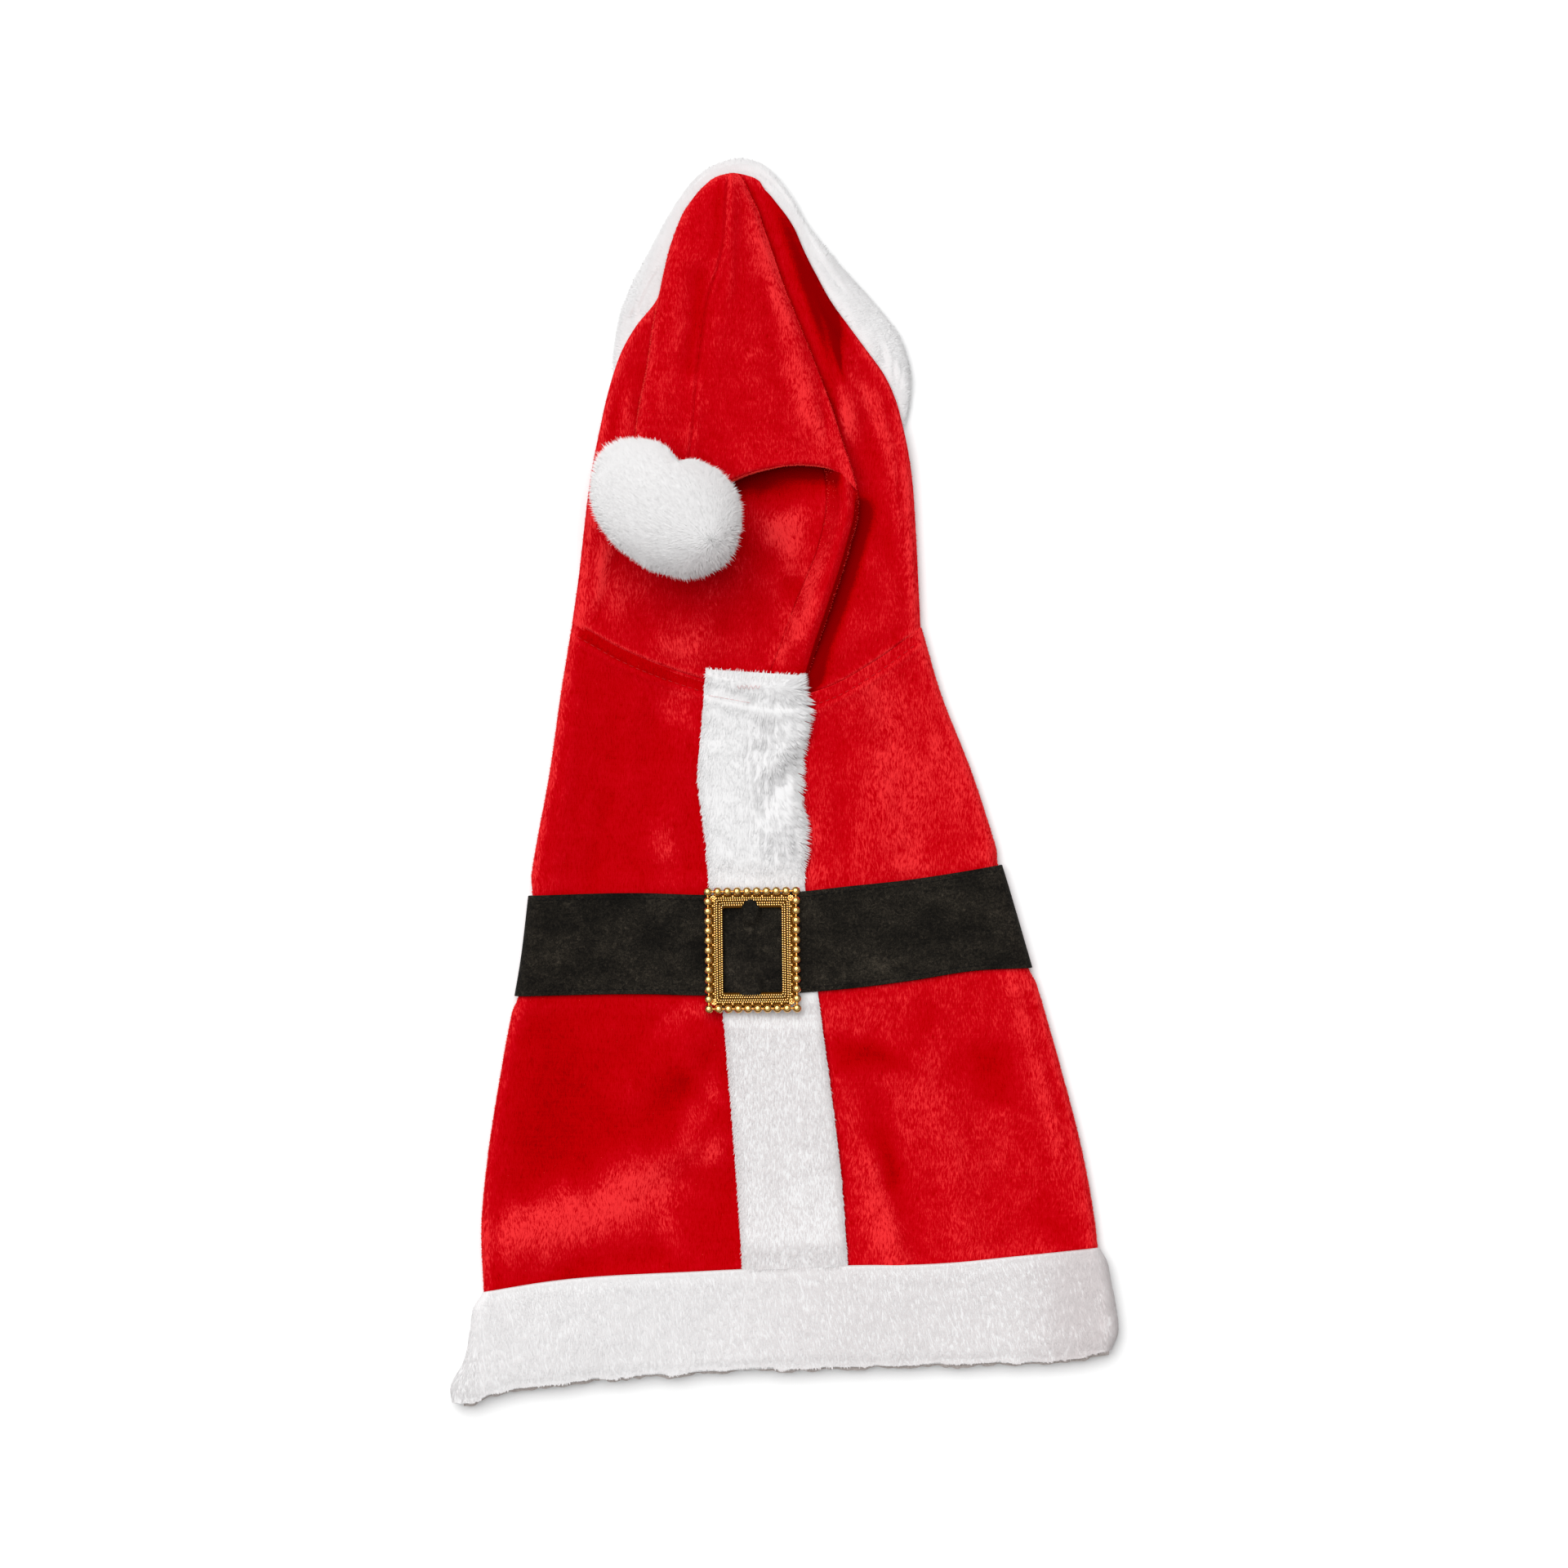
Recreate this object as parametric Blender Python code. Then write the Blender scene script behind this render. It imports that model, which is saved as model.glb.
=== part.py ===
"""Hooded plush coat for a small dog, laid flat with its back up.

The coat is a flattened tube of a back panel and a belly panel with two leg openings. A two-piece hood
lies on its face opening, and its long crown is folded down over the back and ends in a pompom. White fur
trims the hood, the hem and the centre of the back, and a felt belt with a beaded buckle crosses the back.

Lengths are in millimetres until a mesh is made. X runs to the right and Y towards the hood, seen from
above, and the floor is z = 0. The origin is the middle of the floor that the coat covers.
"""

import math
from collections import namedtuple

import bmesh
import bpy
import numpy as np
from mathutils import Vector

MM = 0.001

# Cloth
CLOTH = 1.9          # velour with its pile
FELT = 1.5           # belt
SEAM_GAP = 0.3       # between two pieces sewn edge to edge
BELT_PINCH = 1.5     # how far the belt draws each side fold in
LAY_GAP = 0.35       # between a piece and what it lies on
CROWN_GAP = 0.9      # under the folded crown, which bridges the hood's soft folds

# Heights of the flattened coat above the floor
BODY_LOW = 4.8       # back panel away from its edges
BODY_EDGE = 6.8      # roll of cloth along the side folds
NECK_TOP = 7.2
HOOD_TOP = 7.75      # hood back, over the fur ring
HEM_TOP = 7.5        # back panel where it meets the hem band
EDGE_ROLL = 16.0     # how far in the roll along a side fold reaches
FLAT_LEVEL = 5.2     # back panel under the buckle
FLAT_REACH = 34.0

# Fur
STRIP_PILE = 5.0     # centre strip
STRIP_PRESSED = 2.0  # centre strip under the belt
STRIP_HELD = 3.3     # centre strip under the ends of the buckle
STRIP_HELD_REACH = 6.5
STRIP_AT_HEM = 3.0
BAND_WALL = 4.5      # hem band
BAND_TOP = 10.8
RING_TOP = 5.2       # fur ring round the face opening
RING_FREE = 2.4      # how much higher its pile stands past the hood
RING_PRESSED = 3.5   # how far past the hood's edge its pile is still pressed

# Buckle
BEAD_PITCH = 4.06
BEADS_ACROSS = 10
BEADS_ALONG = 13
BEAD_RADIUS = 1.78
BUCKLE_AT = (-13.1, -70.3)
BUCKLE_TURN = math.radians(0.6)
PLATE_THICK = 1.5
WINDOW = (24.4, 35.2)
RAIL_WIDTH = 3.2
RAIL_THICK = 1.2
RAIL_INSET = 0.4

# Pompom
POMPOM_AT = (-49.3, 112.5)
POMPOM_HALF = (34.0, 26.5, 24.4)
POMPOM_TURN = math.radians(-40)
POMPOM_FOOT = 14.0
POMPOM_GAP = 0.6
POMPOM_DENT = 0.05
POMPOM_DENT_AT = 2.15
# Its locks: how many along each side of the cube that the ball is rounded from, and their sizes as
# shares of its half width
LOCKS_PER_SIDE = 6
LOCK_LENGTH = 0.13
LOCK_SHOULDER = 0.72
LOCK_GROOVE = 0.02
LOCK_TAPER = 0.16
LOCK_COMB = Vector((0.1, -0.12, 0.0))
LOCK_STRAY = 0.14

# Leg openings in the belly panel
LEG_CENTRE_X = -12.0
LEG_APART = 84.0
LEG_Y = 16.0
LEG_HALF = (19.0, 24.0)

# Face opening inside the fur ring
FACE_AT = (-14.5, 152.0)
FACE_HALF = (33.0, 66.0)
THROAT_X = -15.3

Rise = namedtuple("Rise", "start over")
Outline = namedtuple("Outline", "y left right")
Across = namedtuple("Across", "x y")
Pleat = namedtuple("Pleat", "y valley edge height")
Fold = namedtuple("Fold", "x0 y0 x1 y1 height left right")

# Where the height changes along Y, and over how far
HEM_RISE = Rise(-164, 40)
NECK_RISE = Rise(12, 46)
HOOD_RISE = Rise(38, 24)

BODY = [
    Outline(65, -88.1, 56.8),
    Outline(36, -92.8, 65.3),
    Outline(5, -97.2, 77.5),
    Outline(-35, -104.4, 90.4),
    Outline(-76, -109.5, 102.5),
    Outline(-117, -117.0, 114.4),
    Outline(-158, -123.4, 124.8),
    Outline(-185, -125.8, 129.4),
    Outline(-213, -124.8, 132.0),
]
HOOD = [
    Outline(66, -88.1, 56.8),
    Outline(87, -85.3, 55.8),
    Outline(107, -83.0, 54.7),
    Outline(128, -80.2, 53.0),
    Outline(148, -76.2, 49.3),
    Outline(159, -73.8, 46.2),
    Outline(169, -71.0, 41.5),
    Outline(179, -67.3, 34.3),
    Outline(189, -61.5, 26.9),
    Outline(199, -53.5, 19.7),
    Outline(210, -48.8, 13.6),
    Outline(220, -46.4, 8.5),
    Outline(230, -43.4, 4.1),
    Outline(240, -37.3, -2.4),
    Outline(246, -33.2, -6.8),
    Outline(250, -29.0, -11.0),
]
STRIP = [
    Outline(46, -32.3, 7.5),
    Outline(26, -33.7, 8.2),
    Outline(2, -35.5, 5.4),
    Outline(-24, -32.3, 7.8),
    Outline(-44, -30.9, 8.5),
    Outline(-68, -28.2, 11.6),
    Outline(-92, -25.5, 14.3),
    Outline(-127, -22.4, 19.0),
    Outline(-165, -19.4, 23.5),
    Outline(-202, -17.0, 26.2),
]
CROWN = [
    Outline(252, -30.5, -18.5),
    Outline(247, -37.0, -15.5),
    Outline(237, -41.8, -11.0),
    Outline(223, -46.9, -6.1),
    Outline(206, -51.0, -0.3),
    Outline(189, -54.4, 6.5),
    Outline(172, -56.8, 13.3),
    Outline(155, -60.2, 19.7),
    Outline(138, -61.9, 25.0),
    Outline(120, -62.0, 30.3),
]
HEM_SIDES = [
    Outline(0.0, -126.2, 132.3),
    Outline(0.1, -128.9, 134.2),
    Outline(0.33, -130.9, 136.3),
    Outline(0.6, -133.3, 138.4),
    Outline(0.85, -138.9, 139.2),
    Outline(1.0, -139.3, 137.6),
]
NECK_SEAM = [
    Across(-88.1, 66.0),
    Across(-68.0, 54.7),
    Across(-33.3, 41.8),
    Across(-11.9, 36.0),
    Across(15.3, 37.4),
    Across(40.8, 51.3),
    Across(56.8, 63.2),
]
THROAT_SEAM = [
    Across(-88.1, 66.0),
    Across(-52.0, 57.0),
    Across(-15.3, 53.5),
    Across(21.0, 56.5),
    Across(56.8, 63.2),
]
BELT_TOP = [
    Across(-105.1, -47.9),
    Across(-59.2, -46.9),
    Across(-33.7, -47.6),
    Across(7.5, -46.2),
    Across(25.5, -44.2),
    Across(52.4, -41.3),
    Across(72.8, -38.2),
    Across(90.8, -35.0),
]
BELT_BOTTOM = [
    Across(-110.2, -89.4),
    Across(-55.1, -88.6),
    Across(-33.7, -89.1),
    Across(8.2, -87.8),
    Across(25.5, -86.4),
    Across(52.5, -83.0),
    Across(79.4, -78.8),
    Across(102.7, -77.6),
]
HEM_SEAM = [
    Across(-124.8, -212.8),
    Across(-99.3, -208.6),
    Across(-34.3, -204.2),
    Across(26.5, -201.8),
    Across(61.5, -201.2),
    Across(97.9, -197.9),
    Across(130.6, -194.5),
]
HEM_EDGE = [
    Across(-137.2, -258.2),
    Across(-128.0, -257.6),
    Across(-122.4, -255.0),
    Across(-99.3, -250.6),
    Across(-67.0, -247.4),
    Across(8.8, -243.6),
    Across(76.2, -241.6),
    Across(115.9, -240.2),
    Across(138.0, -235.6),
]
ARCH = [
    Across(-62.0, 121.0),
    Across(-57.8, 111.5),
    Across(-49.3, 107.4),
    Across(-39.1, 110.5),
    Across(-30.6, 117.8),
    Across(-21.4, 123.8),
    Across(-6.1, 129.2),
    Across(8.8, 130.8),
    Across(22.8, 127.4),
    Across(30.3, 120.4),
]
CROWN_SEAM = [
    Across(-23.0, 252),
    Across(-24.1, 237),
    Across(-25.0, 223),
    Across(-27.6, 212),
    Across(-32.0, 199),
    Across(-34.7, 182),
    Across(-36.7, 162),
    Across(-38.4, 141),
    Across(-42.0, 124),
    Across(-46.5, 106),
]
# The rolled pleat beside the centre seam: its left crease, its right edge and its height, up the hood.
PLEAT = [
    Pleat(36, -9.5, 7.5, 0.0),
    Pleat(52, -3.0, 12.0, 3.2),
    Pleat(74, 5.0, 19.5, 6.4),
    Pleat(98, 14.5, 27.0, 8.6),
    Pleat(112, 17.5, 30.2, 9.2),
    Pleat(124, 17.5, 29.0, 8.4),
    Pleat(140, 13.0, 24.0, 5.0),
    Pleat(160, 6.0, 17.0, 2.4),
    Pleat(189, -5.0, 6.0, 1.2),
    Pleat(223, -17.0, -6.6, 0.8),
    Pleat(250, -22.5, -17.8, 0.5),
]
PLEAT_DROP = 3.4
# Soft folds that stand up from the lie of the cloth, each with how far it spreads to its left and right.
BODY_FOLDS = [
    Fold(-112, -192, -30, -148, 2.2, 15, 17),
    Fold(-66, -132, -26, -98, 1.4, 9, 12),
    Fold(-98, 10, -104, -40, 1.2, 8, 14),
    Fold(-40, 20, -50, -30, 1.0, 10, 9),
    Fold(30, 40, 44, -30, 1.7, 9, 12),
    Fold(62, 34, 84, -20, 1.3, 10, 9),
    Fold(34, -158, 48, -204, 1.6, 6, 7),
    Fold(60, -120, 78, -200, 1.3, 10, 12),
    Fold(98, -84, 116, -150, 1.2, 8, 9),
    Fold(20, -100, 60, -112, 1.1, 9, 9),
]
HOOD_FOLDS = [
    Fold(13, 207, 27, 150, 2.0, 7, 2.6),
    Fold(40, 172, 50, 100, 1.3, 9, 4),
    Fold(-70, 168, -60, 128, 1.4, 5, 8),
    Fold(-73, 98, -82, 72, 1.6, 3, 8),
    Fold(-34, 62, -20, 92, 1.5, 10, 12),
    Fold(-2, 108, 4, 86, 1.6, 9, 6),
]
RING = [
    Across(-20.4, 258.7),
    Across(-8.0, 256.0),
    Across(1.7, 245.0),
    Across(9.5, 231.5),
    Across(20.5, 217.5),
    Across(37.0, 199.5),
    Across(47.6, 185.5),
    Across(52.4, 169.0),
    Across(50.6, 149.0),
    Across(43.0, 122.0),
    Across(29.5, 92.0),
    Across(7.0, 68.5),
    Across(-15.3, 62.0),
    Across(-37.0, 68.0),
    Across(-57.5, 92.0),
    Across(-67.0, 122.0),
    Across(-71.2, 150.0),
    Across(-70.9, 176.0),
    Across(-68.0, 194.0),
    Across(-62.5, 208.0),
    Across(-55.5, 221.0),
    Across(-46.0, 238.5),
    Across(-34.5, 253.0),
]


def smooth(t):
    """Eases from 0 to 1 while t goes from 0 to 1."""
    t = np.clip(t, 0.0, 1.0)
    return t * t * (3 - 2 * t)


def mix(a, b, t):
    return a + (b - a) * t


def curve(table, along, value):
    """A smooth curve through a table's rows, in cubic spans, that runs on straight past its ends."""
    rows = sorted(table, key=lambda row: getattr(row, along))
    knots = np.array([getattr(row, along) for row in rows], float)
    values = np.array([getattr(row, value) for row in rows], float)
    slopes = np.gradient(values, knots)

    def at(place):
        place = np.asarray(place, float)
        inside = np.clip(place, knots[0], knots[-1])
        k = np.clip(np.searchsorted(knots, inside) - 1, 0, len(knots) - 2)
        span = knots[k + 1] - knots[k]
        t = (inside - knots[k]) / span
        start = values[k] * (1 + 2 * t) * (1 - t) ** 2 + slopes[k] * span * t * (1 - t) ** 2
        end = values[k + 1] * t * t * (3 - 2 * t) + slopes[k + 1] * span * t * t * (t - 1)
        end_slope = np.where(place < knots[0], slopes[0], slopes[-1])
        return start + end + (place - inside) * end_slope

    return at


body_left, body_right = curve(BODY, "y", "left"), curve(BODY, "y", "right")
hood_left_edge, hood_right_edge = curve(HOOD, "y", "left"), curve(HOOD, "y", "right")
strip_left, strip_right = curve(STRIP, "y", "left"), curve(STRIP, "y", "right")
crown_left_edge, crown_right_edge = curve(CROWN, "y", "left"), curve(CROWN, "y", "right")
hem_left, hem_right = curve(HEM_SIDES, "y", "left"), curve(HEM_SIDES, "y", "right")
neck_y, throat_y = curve(NECK_SEAM, "x", "y"), curve(THROAT_SEAM, "x", "y")
belt_top_y, belt_bottom_y = curve(BELT_TOP, "x", "y"), curve(BELT_BOTTOM, "x", "y")
hem_seam_y, hem_edge_y = curve(HEM_SEAM, "x", "y"), curve(HEM_EDGE, "x", "y")
arch_y, crown_seam_x = curve(ARCH, "x", "y"), curve(CROWN_SEAM, "y", "x")
pleat_valley, pleat_edge = curve(PLEAT, "y", "valley"), curve(PLEAT, "y", "edge")
pleat_height = curve(PLEAT, "y", "height")


def fold_height(x, y, folds):
    """Height that straight soft folds add at (x, y). Each fades at its ends and to its two sides."""
    total = 0.0
    for fold in folds:
        along_x, along_y = fold.x1 - fold.x0, fold.y1 - fold.y0
        length = math.hypot(along_x, along_y)
        t = ((x - fold.x0) * along_x + (y - fold.y0) * along_y) / length**2
        aside = ((x - fold.x0) * along_y - (y - fold.y0) * along_x) / length
        spread = np.where(aside * -math.copysign(1, along_y) > 0, fold.right, fold.left)
        ends = smooth(t * 3 + 0.75) * smooth((1 - t) * 3 + 0.75)
        total = total + fold.height * ends * np.exp(-((aside / spread) ** 2))
    return total


def level(y, low):
    """Height at y of what lies low over the body. It rises to the hem, to the neck and onto the hood."""
    height = mix(low, HEM_TOP, smooth((HEM_RISE.start - y) / HEM_RISE.over))
    height = mix(height, NECK_TOP, smooth((y - NECK_RISE.start) / NECK_RISE.over))
    return mix(height, HOOD_TOP, smooth((y - HOOD_RISE.start) / HOOD_RISE.over))


def edge_height(y):
    """Height of the roll of cloth along the side folds."""
    return level(y, BODY_EDGE)


def lie_height(x, y, left, right):
    """Top of the cloth that lies between two side folds, before its own folds are added."""
    inward = np.minimum(x - left, right - x) - edge_height(y) / 2
    roll = np.exp(-((np.maximum(inward, 0) / EDGE_ROLL) ** 2))
    return mix(level(y, BODY_LOW), edge_height(y), roll)


def back_height(x, y):
    """Top of the back panel."""
    left, right = body_left(y), body_right(y)
    inward = np.minimum(x - left, right - x) - edge_height(y) / 2
    height = lie_height(x, y, left, right) + fold_height(x, y, BODY_FOLDS) * smooth(inward / 8)
    away = np.hypot((x - BUCKLE_AT[0]) / 1.25, y - BUCKLE_AT[1]) / FLAT_REACH
    return mix(FLAT_LEVEL, height, smooth(away * 2.4 - 1.4))


def pleat_climb(x, y):
    """Height of the rolled pleat up to its crest, and on past it as if it never dropped off."""
    valley, edge = pleat_valley(y), pleat_edge(y)
    return pleat_height(y) * np.sin(np.clip((x - valley) / (edge - valley - 1), 0, 1) * math.pi / 2) ** 0.8


def pleat_rise(x, y):
    """Height of the rolled pleat: it climbs from its crease to a crest and drops off at its right edge."""
    drop = 1 - smooth((x - pleat_edge(y) + PLEAT_DROP / 2) / PLEAT_DROP)
    return pleat_climb(x, y) * drop


def hood_lie(x, y):
    """Top of the hood back without its pleat, which is also where its plain inner side is taken from."""
    left, right = hood_left_edge(y), hood_right_edge(y)
    return lie_height(x, y, left, right)


def hood_folds(x, y):
    """Height that the soft folds add to the hood back. They fade out before its side folds."""
    left, right = hood_left_edge(y), hood_right_edge(y)
    inward = np.minimum(x - left, right - x) - edge_height(y) / 2
    return fold_height(x, y, HOOD_FOLDS) * smooth(inward / 6)


def hood_height(x, y):
    """Top of the hood back with its pleat and soft folds."""
    return hood_lie(x, y) + hood_folds(x, y) + pleat_rise(x, y)


def hood_cover(x, y):
    """Height that clears the hood back, level past the pleat's crest, for what lies on it."""
    return hood_lie(x, y) + hood_folds(x, y) + pleat_climb(x, y) + CROWN_GAP


def material(name, colour, roughness, metallic=0.0):
    made = bpy.data.materials.new(name)
    made.use_nodes = True
    shader = made.node_tree.nodes["Principled BSDF"]
    shader.inputs["Base Color"].default_value = (*colour, 1.0)
    shader.inputs["Roughness"].default_value = roughness
    shader.inputs["Metallic"].default_value = metallic
    return made


def solid_from(name, points, faces, finish):
    """One closed mesh from points in millimetres, with its faces turned outwards."""
    mesh = bpy.data.meshes.new(name)
    mesh.from_pydata([tuple(float(c) * MM for c in p) for p in points], [], faces)
    shape = bmesh.new()
    shape.from_mesh(mesh)
    bmesh.ops.recalc_face_normals(shape, faces=shape.faces)
    shape.to_mesh(mesh)
    shape.free()
    mesh.materials.append(finish)
    mesh.shade_smooth()
    mesh.set_sharp_from_angle(angle=math.radians(40))
    made = bpy.data.objects.new(name, mesh)
    bpy.context.scene.collection.objects.link(made)
    return made


def wall(name, outer, inner, finish, around=False):
    """A sheet of cloth between two grids of points of the same size. Rows run along the first axis, and a
    sheet that goes all the way round joins its last column to its first."""
    outer, inner = np.asarray(outer, float), np.asarray(inner, float)
    rows, columns = outer.shape[:2]
    points = np.concatenate([outer.reshape(-1, 3), inner.reshape(-1, 3)])
    under = rows * columns

    def corner(i, j, side):
        return side * under + i * columns + j % columns

    faces = []
    for i in range(rows - 1):
        for j in range(columns if around else columns - 1):
            for side in (0, 1):
                a, b = corner(i, j, side), corner(i, j + 1, side)
                c, d = corner(i + 1, j + 1, side), corner(i + 1, j, side)
                faces += [(a, b, c), (a, c, d)] if side == 0 else [(c, b, a), (d, c, a)]
    for j in range(columns if around else columns - 1):
        for i in (0, rows - 1):
            faces.append((corner(i, j, 0), corner(i, j + 1, 0), corner(i, j + 1, 1), corner(i, j, 1)))
    if not around:
        for i in range(rows - 1):
            for j in (0, columns - 1):
                faces.append((corner(i, j, 0), corner(i + 1, j, 0), corner(i + 1, j, 1), corner(i, j, 1)))
    return solid_from(name, points, faces, finish)


def steps(start, end, count):
    """count values from start up to, but not including, end."""
    return list(np.linspace(start, end, count, endpoint=False))


# Rows of the body run from the neck seam, at stage 0, past the belt's edges at 1 and 2, to the hem seam at 3.
BY_BELT_ABOVE = 0.93
BY_BELT_BELOW = 2.06
ABOVE_BELT = [0, 0.05] + steps(0.18, 0.92, 5) + [BY_BELT_ABOVE]
UNDER_BELT = [1, 1.25, 1.5, 1.75, 2]
BELOW_BELT = [BY_BELT_BELOW, 2.16] + steps(2.28, 2.93, 5) + [2.93, 3]
BODY_STAGES = ABOVE_BELT + UNDER_BELT + BELOW_BELT
BELT_ROWS = [i for i, stage in enumerate(BODY_STAGES) if 1 <= stage <= 2]
BELLY_STAGES = [0, 0.18, 0.5, BY_BELT_ABOVE, 1, 1.5, 2, BY_BELT_BELOW, 2.3, 2.6, 2.93, 3]


def stage_y(stage, x, top=neck_y):
    """Y of a body row at x."""
    marks = [top(x) - SEAM_GAP / 2, belt_top_y(x), belt_bottom_y(x), hem_seam_y(x) + SEAM_GAP]
    k = min(int(stage), 2)
    return mix(marks[k], marks[k + 1], stage - k)


def meet(stage, edge, top=neck_y):
    """X where a body row meets an outline that is given as x for each y."""
    x = edge(0.0)
    for _ in range(8):
        x = edge(stage_y(stage, x, top))
    return float(x)


def side_folds(stage, top=neck_y):
    """X of a body row's left and right side folds, drawn in where the belt goes round them."""
    above = (stage - BY_BELT_ABOVE) / (1 - BY_BELT_ABOVE)
    below = (BY_BELT_BELOW - stage) / (BY_BELT_BELOW - 2)
    drawn_in = BELT_PINCH * float(smooth(above) * smooth(below))
    return meet(stage, body_left, top) + drawn_in, meet(stage, body_right, top) - drawn_in


def arc(centre_x, centre_z, radius, start, end, count):
    """Points (x, z) along part of a circle, by angle in degrees from +X."""
    return [
        (centre_x + radius * math.cos(math.radians(a)), centre_z + radius * math.sin(math.radians(a)))
        for a in np.linspace(start, end, count)
    ]


def part_ends(section, lift):
    """A section whose two ends are moved up by lift, so that the panels stay apart along their side seams."""
    first, last = section[0], section[-1]
    return [(first[0], first[1] + lift)] + section[1:-1] + [(last[0], last[1] + lift)]


SIDE_ARC = 4
OUTER_COLUMNS = 6
STRIP_COLUMNS = 6
BESIDE_STRIP = 4.5
BELLY_COLUMNS = 12


def back_row_xs(stage):
    """X of the back panel's flat columns in one row, with columns on the centre strip's two edges."""
    left, right = side_folds(stage)
    strip_from, strip_to = meet(stage, strip_left), meet(stage, strip_right)
    radius_left = float(edge_height(stage_y(stage, left))) / 2
    radius_right = float(edge_height(stage_y(stage, right))) / 2
    xs = steps(left + radius_left, strip_from - BESIDE_STRIP, OUTER_COLUMNS)
    xs += [strip_from - BESIDE_STRIP]
    xs += list(np.linspace(strip_from, strip_to, STRIP_COLUMNS))
    xs += list(np.linspace(strip_to + BESIDE_STRIP, right - radius_right, OUTER_COLUMNS + 1))
    return xs, left, right, radius_left, radius_right


def back_section(stage, out):
    """One row of the back panel, out millimetres outside its outer side (inside when out is negative)."""
    xs, left, right, radius_left, radius_right = back_row_xs(stage)
    section = arc(left + radius_left, radius_left, radius_left + out, 180, 90, SIDE_ARC + 1)[:-1]
    section += [(x, float(back_height(x, stage_y(stage, x))) + out) for x in xs]
    section += arc(right - radius_right, radius_right, radius_right + out, 90, 0, SIDE_ARC + 1)[1:]
    return [(x, float(stage_y(stage, x)), z) for x, z in part_ends(section, SEAM_GAP / 2)]


def build_back_panel(finish):
    outer = [back_section(stage, 0) for stage in BODY_STAGES]
    inner = [back_section(stage, -CLOTH) for stage in BODY_STAGES]
    return wall("back_panel", outer, inner, finish)


def belly_section(stage, inset):
    """One row of the belly panel: up from the right side seam, along the floor and up to the left one."""
    left, right = side_folds(stage, throat_y)
    radius_left = float(edge_height(stage_y(stage, left, throat_y))) / 2
    radius_right = float(edge_height(stage_y(stage, right, throat_y))) / 2
    section = arc(left + radius_left, radius_left, radius_left - inset, 180, 270, SIDE_ARC + 1)
    for x in np.linspace(left + radius_left, right - radius_right, BELLY_COLUMNS)[1:-1]:
        section.append((x, inset))
    section += arc(right - radius_right, radius_right, radius_right - inset, 270, 360, SIDE_ARC + 1)
    return [(x, float(stage_y(stage, x, throat_y)), z) for x, z in part_ends(section, -SEAM_GAP / 2)]


def leg_cutter(name, x):
    """An oval post that cuts a leg opening. It isn't part of the coat."""
    place = (x * MM, LEG_Y * MM, 0)
    bpy.ops.mesh.primitive_cylinder_add(vertices=28, radius=1.0, depth=12 * MM, location=place)
    cutter = bpy.context.object
    cutter.name = name
    cutter.scale = (LEG_HALF[0] * MM, LEG_HALF[1] * MM, 1.0)
    bpy.ops.object.transform_apply(location=False, rotation=False, scale=True)
    cutter.hide_render = True
    cutter.display_type = "WIRE"
    return cutter


def build_belly_panel(finish):
    outer = [belly_section(stage, 0) for stage in BELLY_STAGES]
    inner = [belly_section(stage, CLOTH) for stage in BELLY_STAGES]
    panel = wall("belly_panel", outer, inner, finish)
    for side, name in ((-1, "leg_cutter_left"), (1, "leg_cutter_right")):
        cut = panel.modifiers.new(name, "BOOLEAN")
        cut.operation = "DIFFERENCE"
        cut.object = leg_cutter(name, LEG_CENTRE_X + side * LEG_APART / 2)
    return panel


def ring_loop(count):
    """Points (x, y) evenly spaced round the fur ring's outer edge, from its top, turning clockwise."""
    knots = np.array([(p.x, p.y) for p in RING])
    dense = []
    for k in range(len(knots)):
        a, b, c, d = (knots[(k + n) % len(knots)] for n in (-1, 0, 1, 2))
        for t in np.linspace(0, 1, 12, endpoint=False):
            bend = (c - a) * t + (2 * a - 5 * b + 4 * c - d) * t**2 + (3 * b - a - 3 * c + d) * t**3
            dense.append(b + bend / 2)
    dense = np.array(dense + dense[:1])
    run = np.concatenate([[0], np.cumsum(np.hypot(*np.diff(dense, axis=0).T))])
    places = np.linspace(0, run[-1], count, endpoint=False)
    return np.array([[np.interp(p, run, dense[:, n]) for n in range(2)] for p in places])


RING_STEPS = 52
# Section of the fur ring, from the face opening at 0 to its outer edge at 1: height as a share of the
# pile, and how much of the extra height each point takes where the hood doesn't press on it.
RING_SECTION = [
    (0.00, 0.45, 0.0),
    (0.05, 0.10, 0.0),
    (0.12, 0.00, 0.0),
    (0.88, 0.00, 0.0),
    (0.95, 0.08, 0.0),
    (1.00, 0.45, 0.2),
    (0.96, 0.82, 0.7),
    (0.88, 1.00, 1.0),
    (0.74, 1.00, 0.7),
    (0.56, 0.99, 0.0),
    (0.07, 0.80, 0.0),
]


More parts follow.
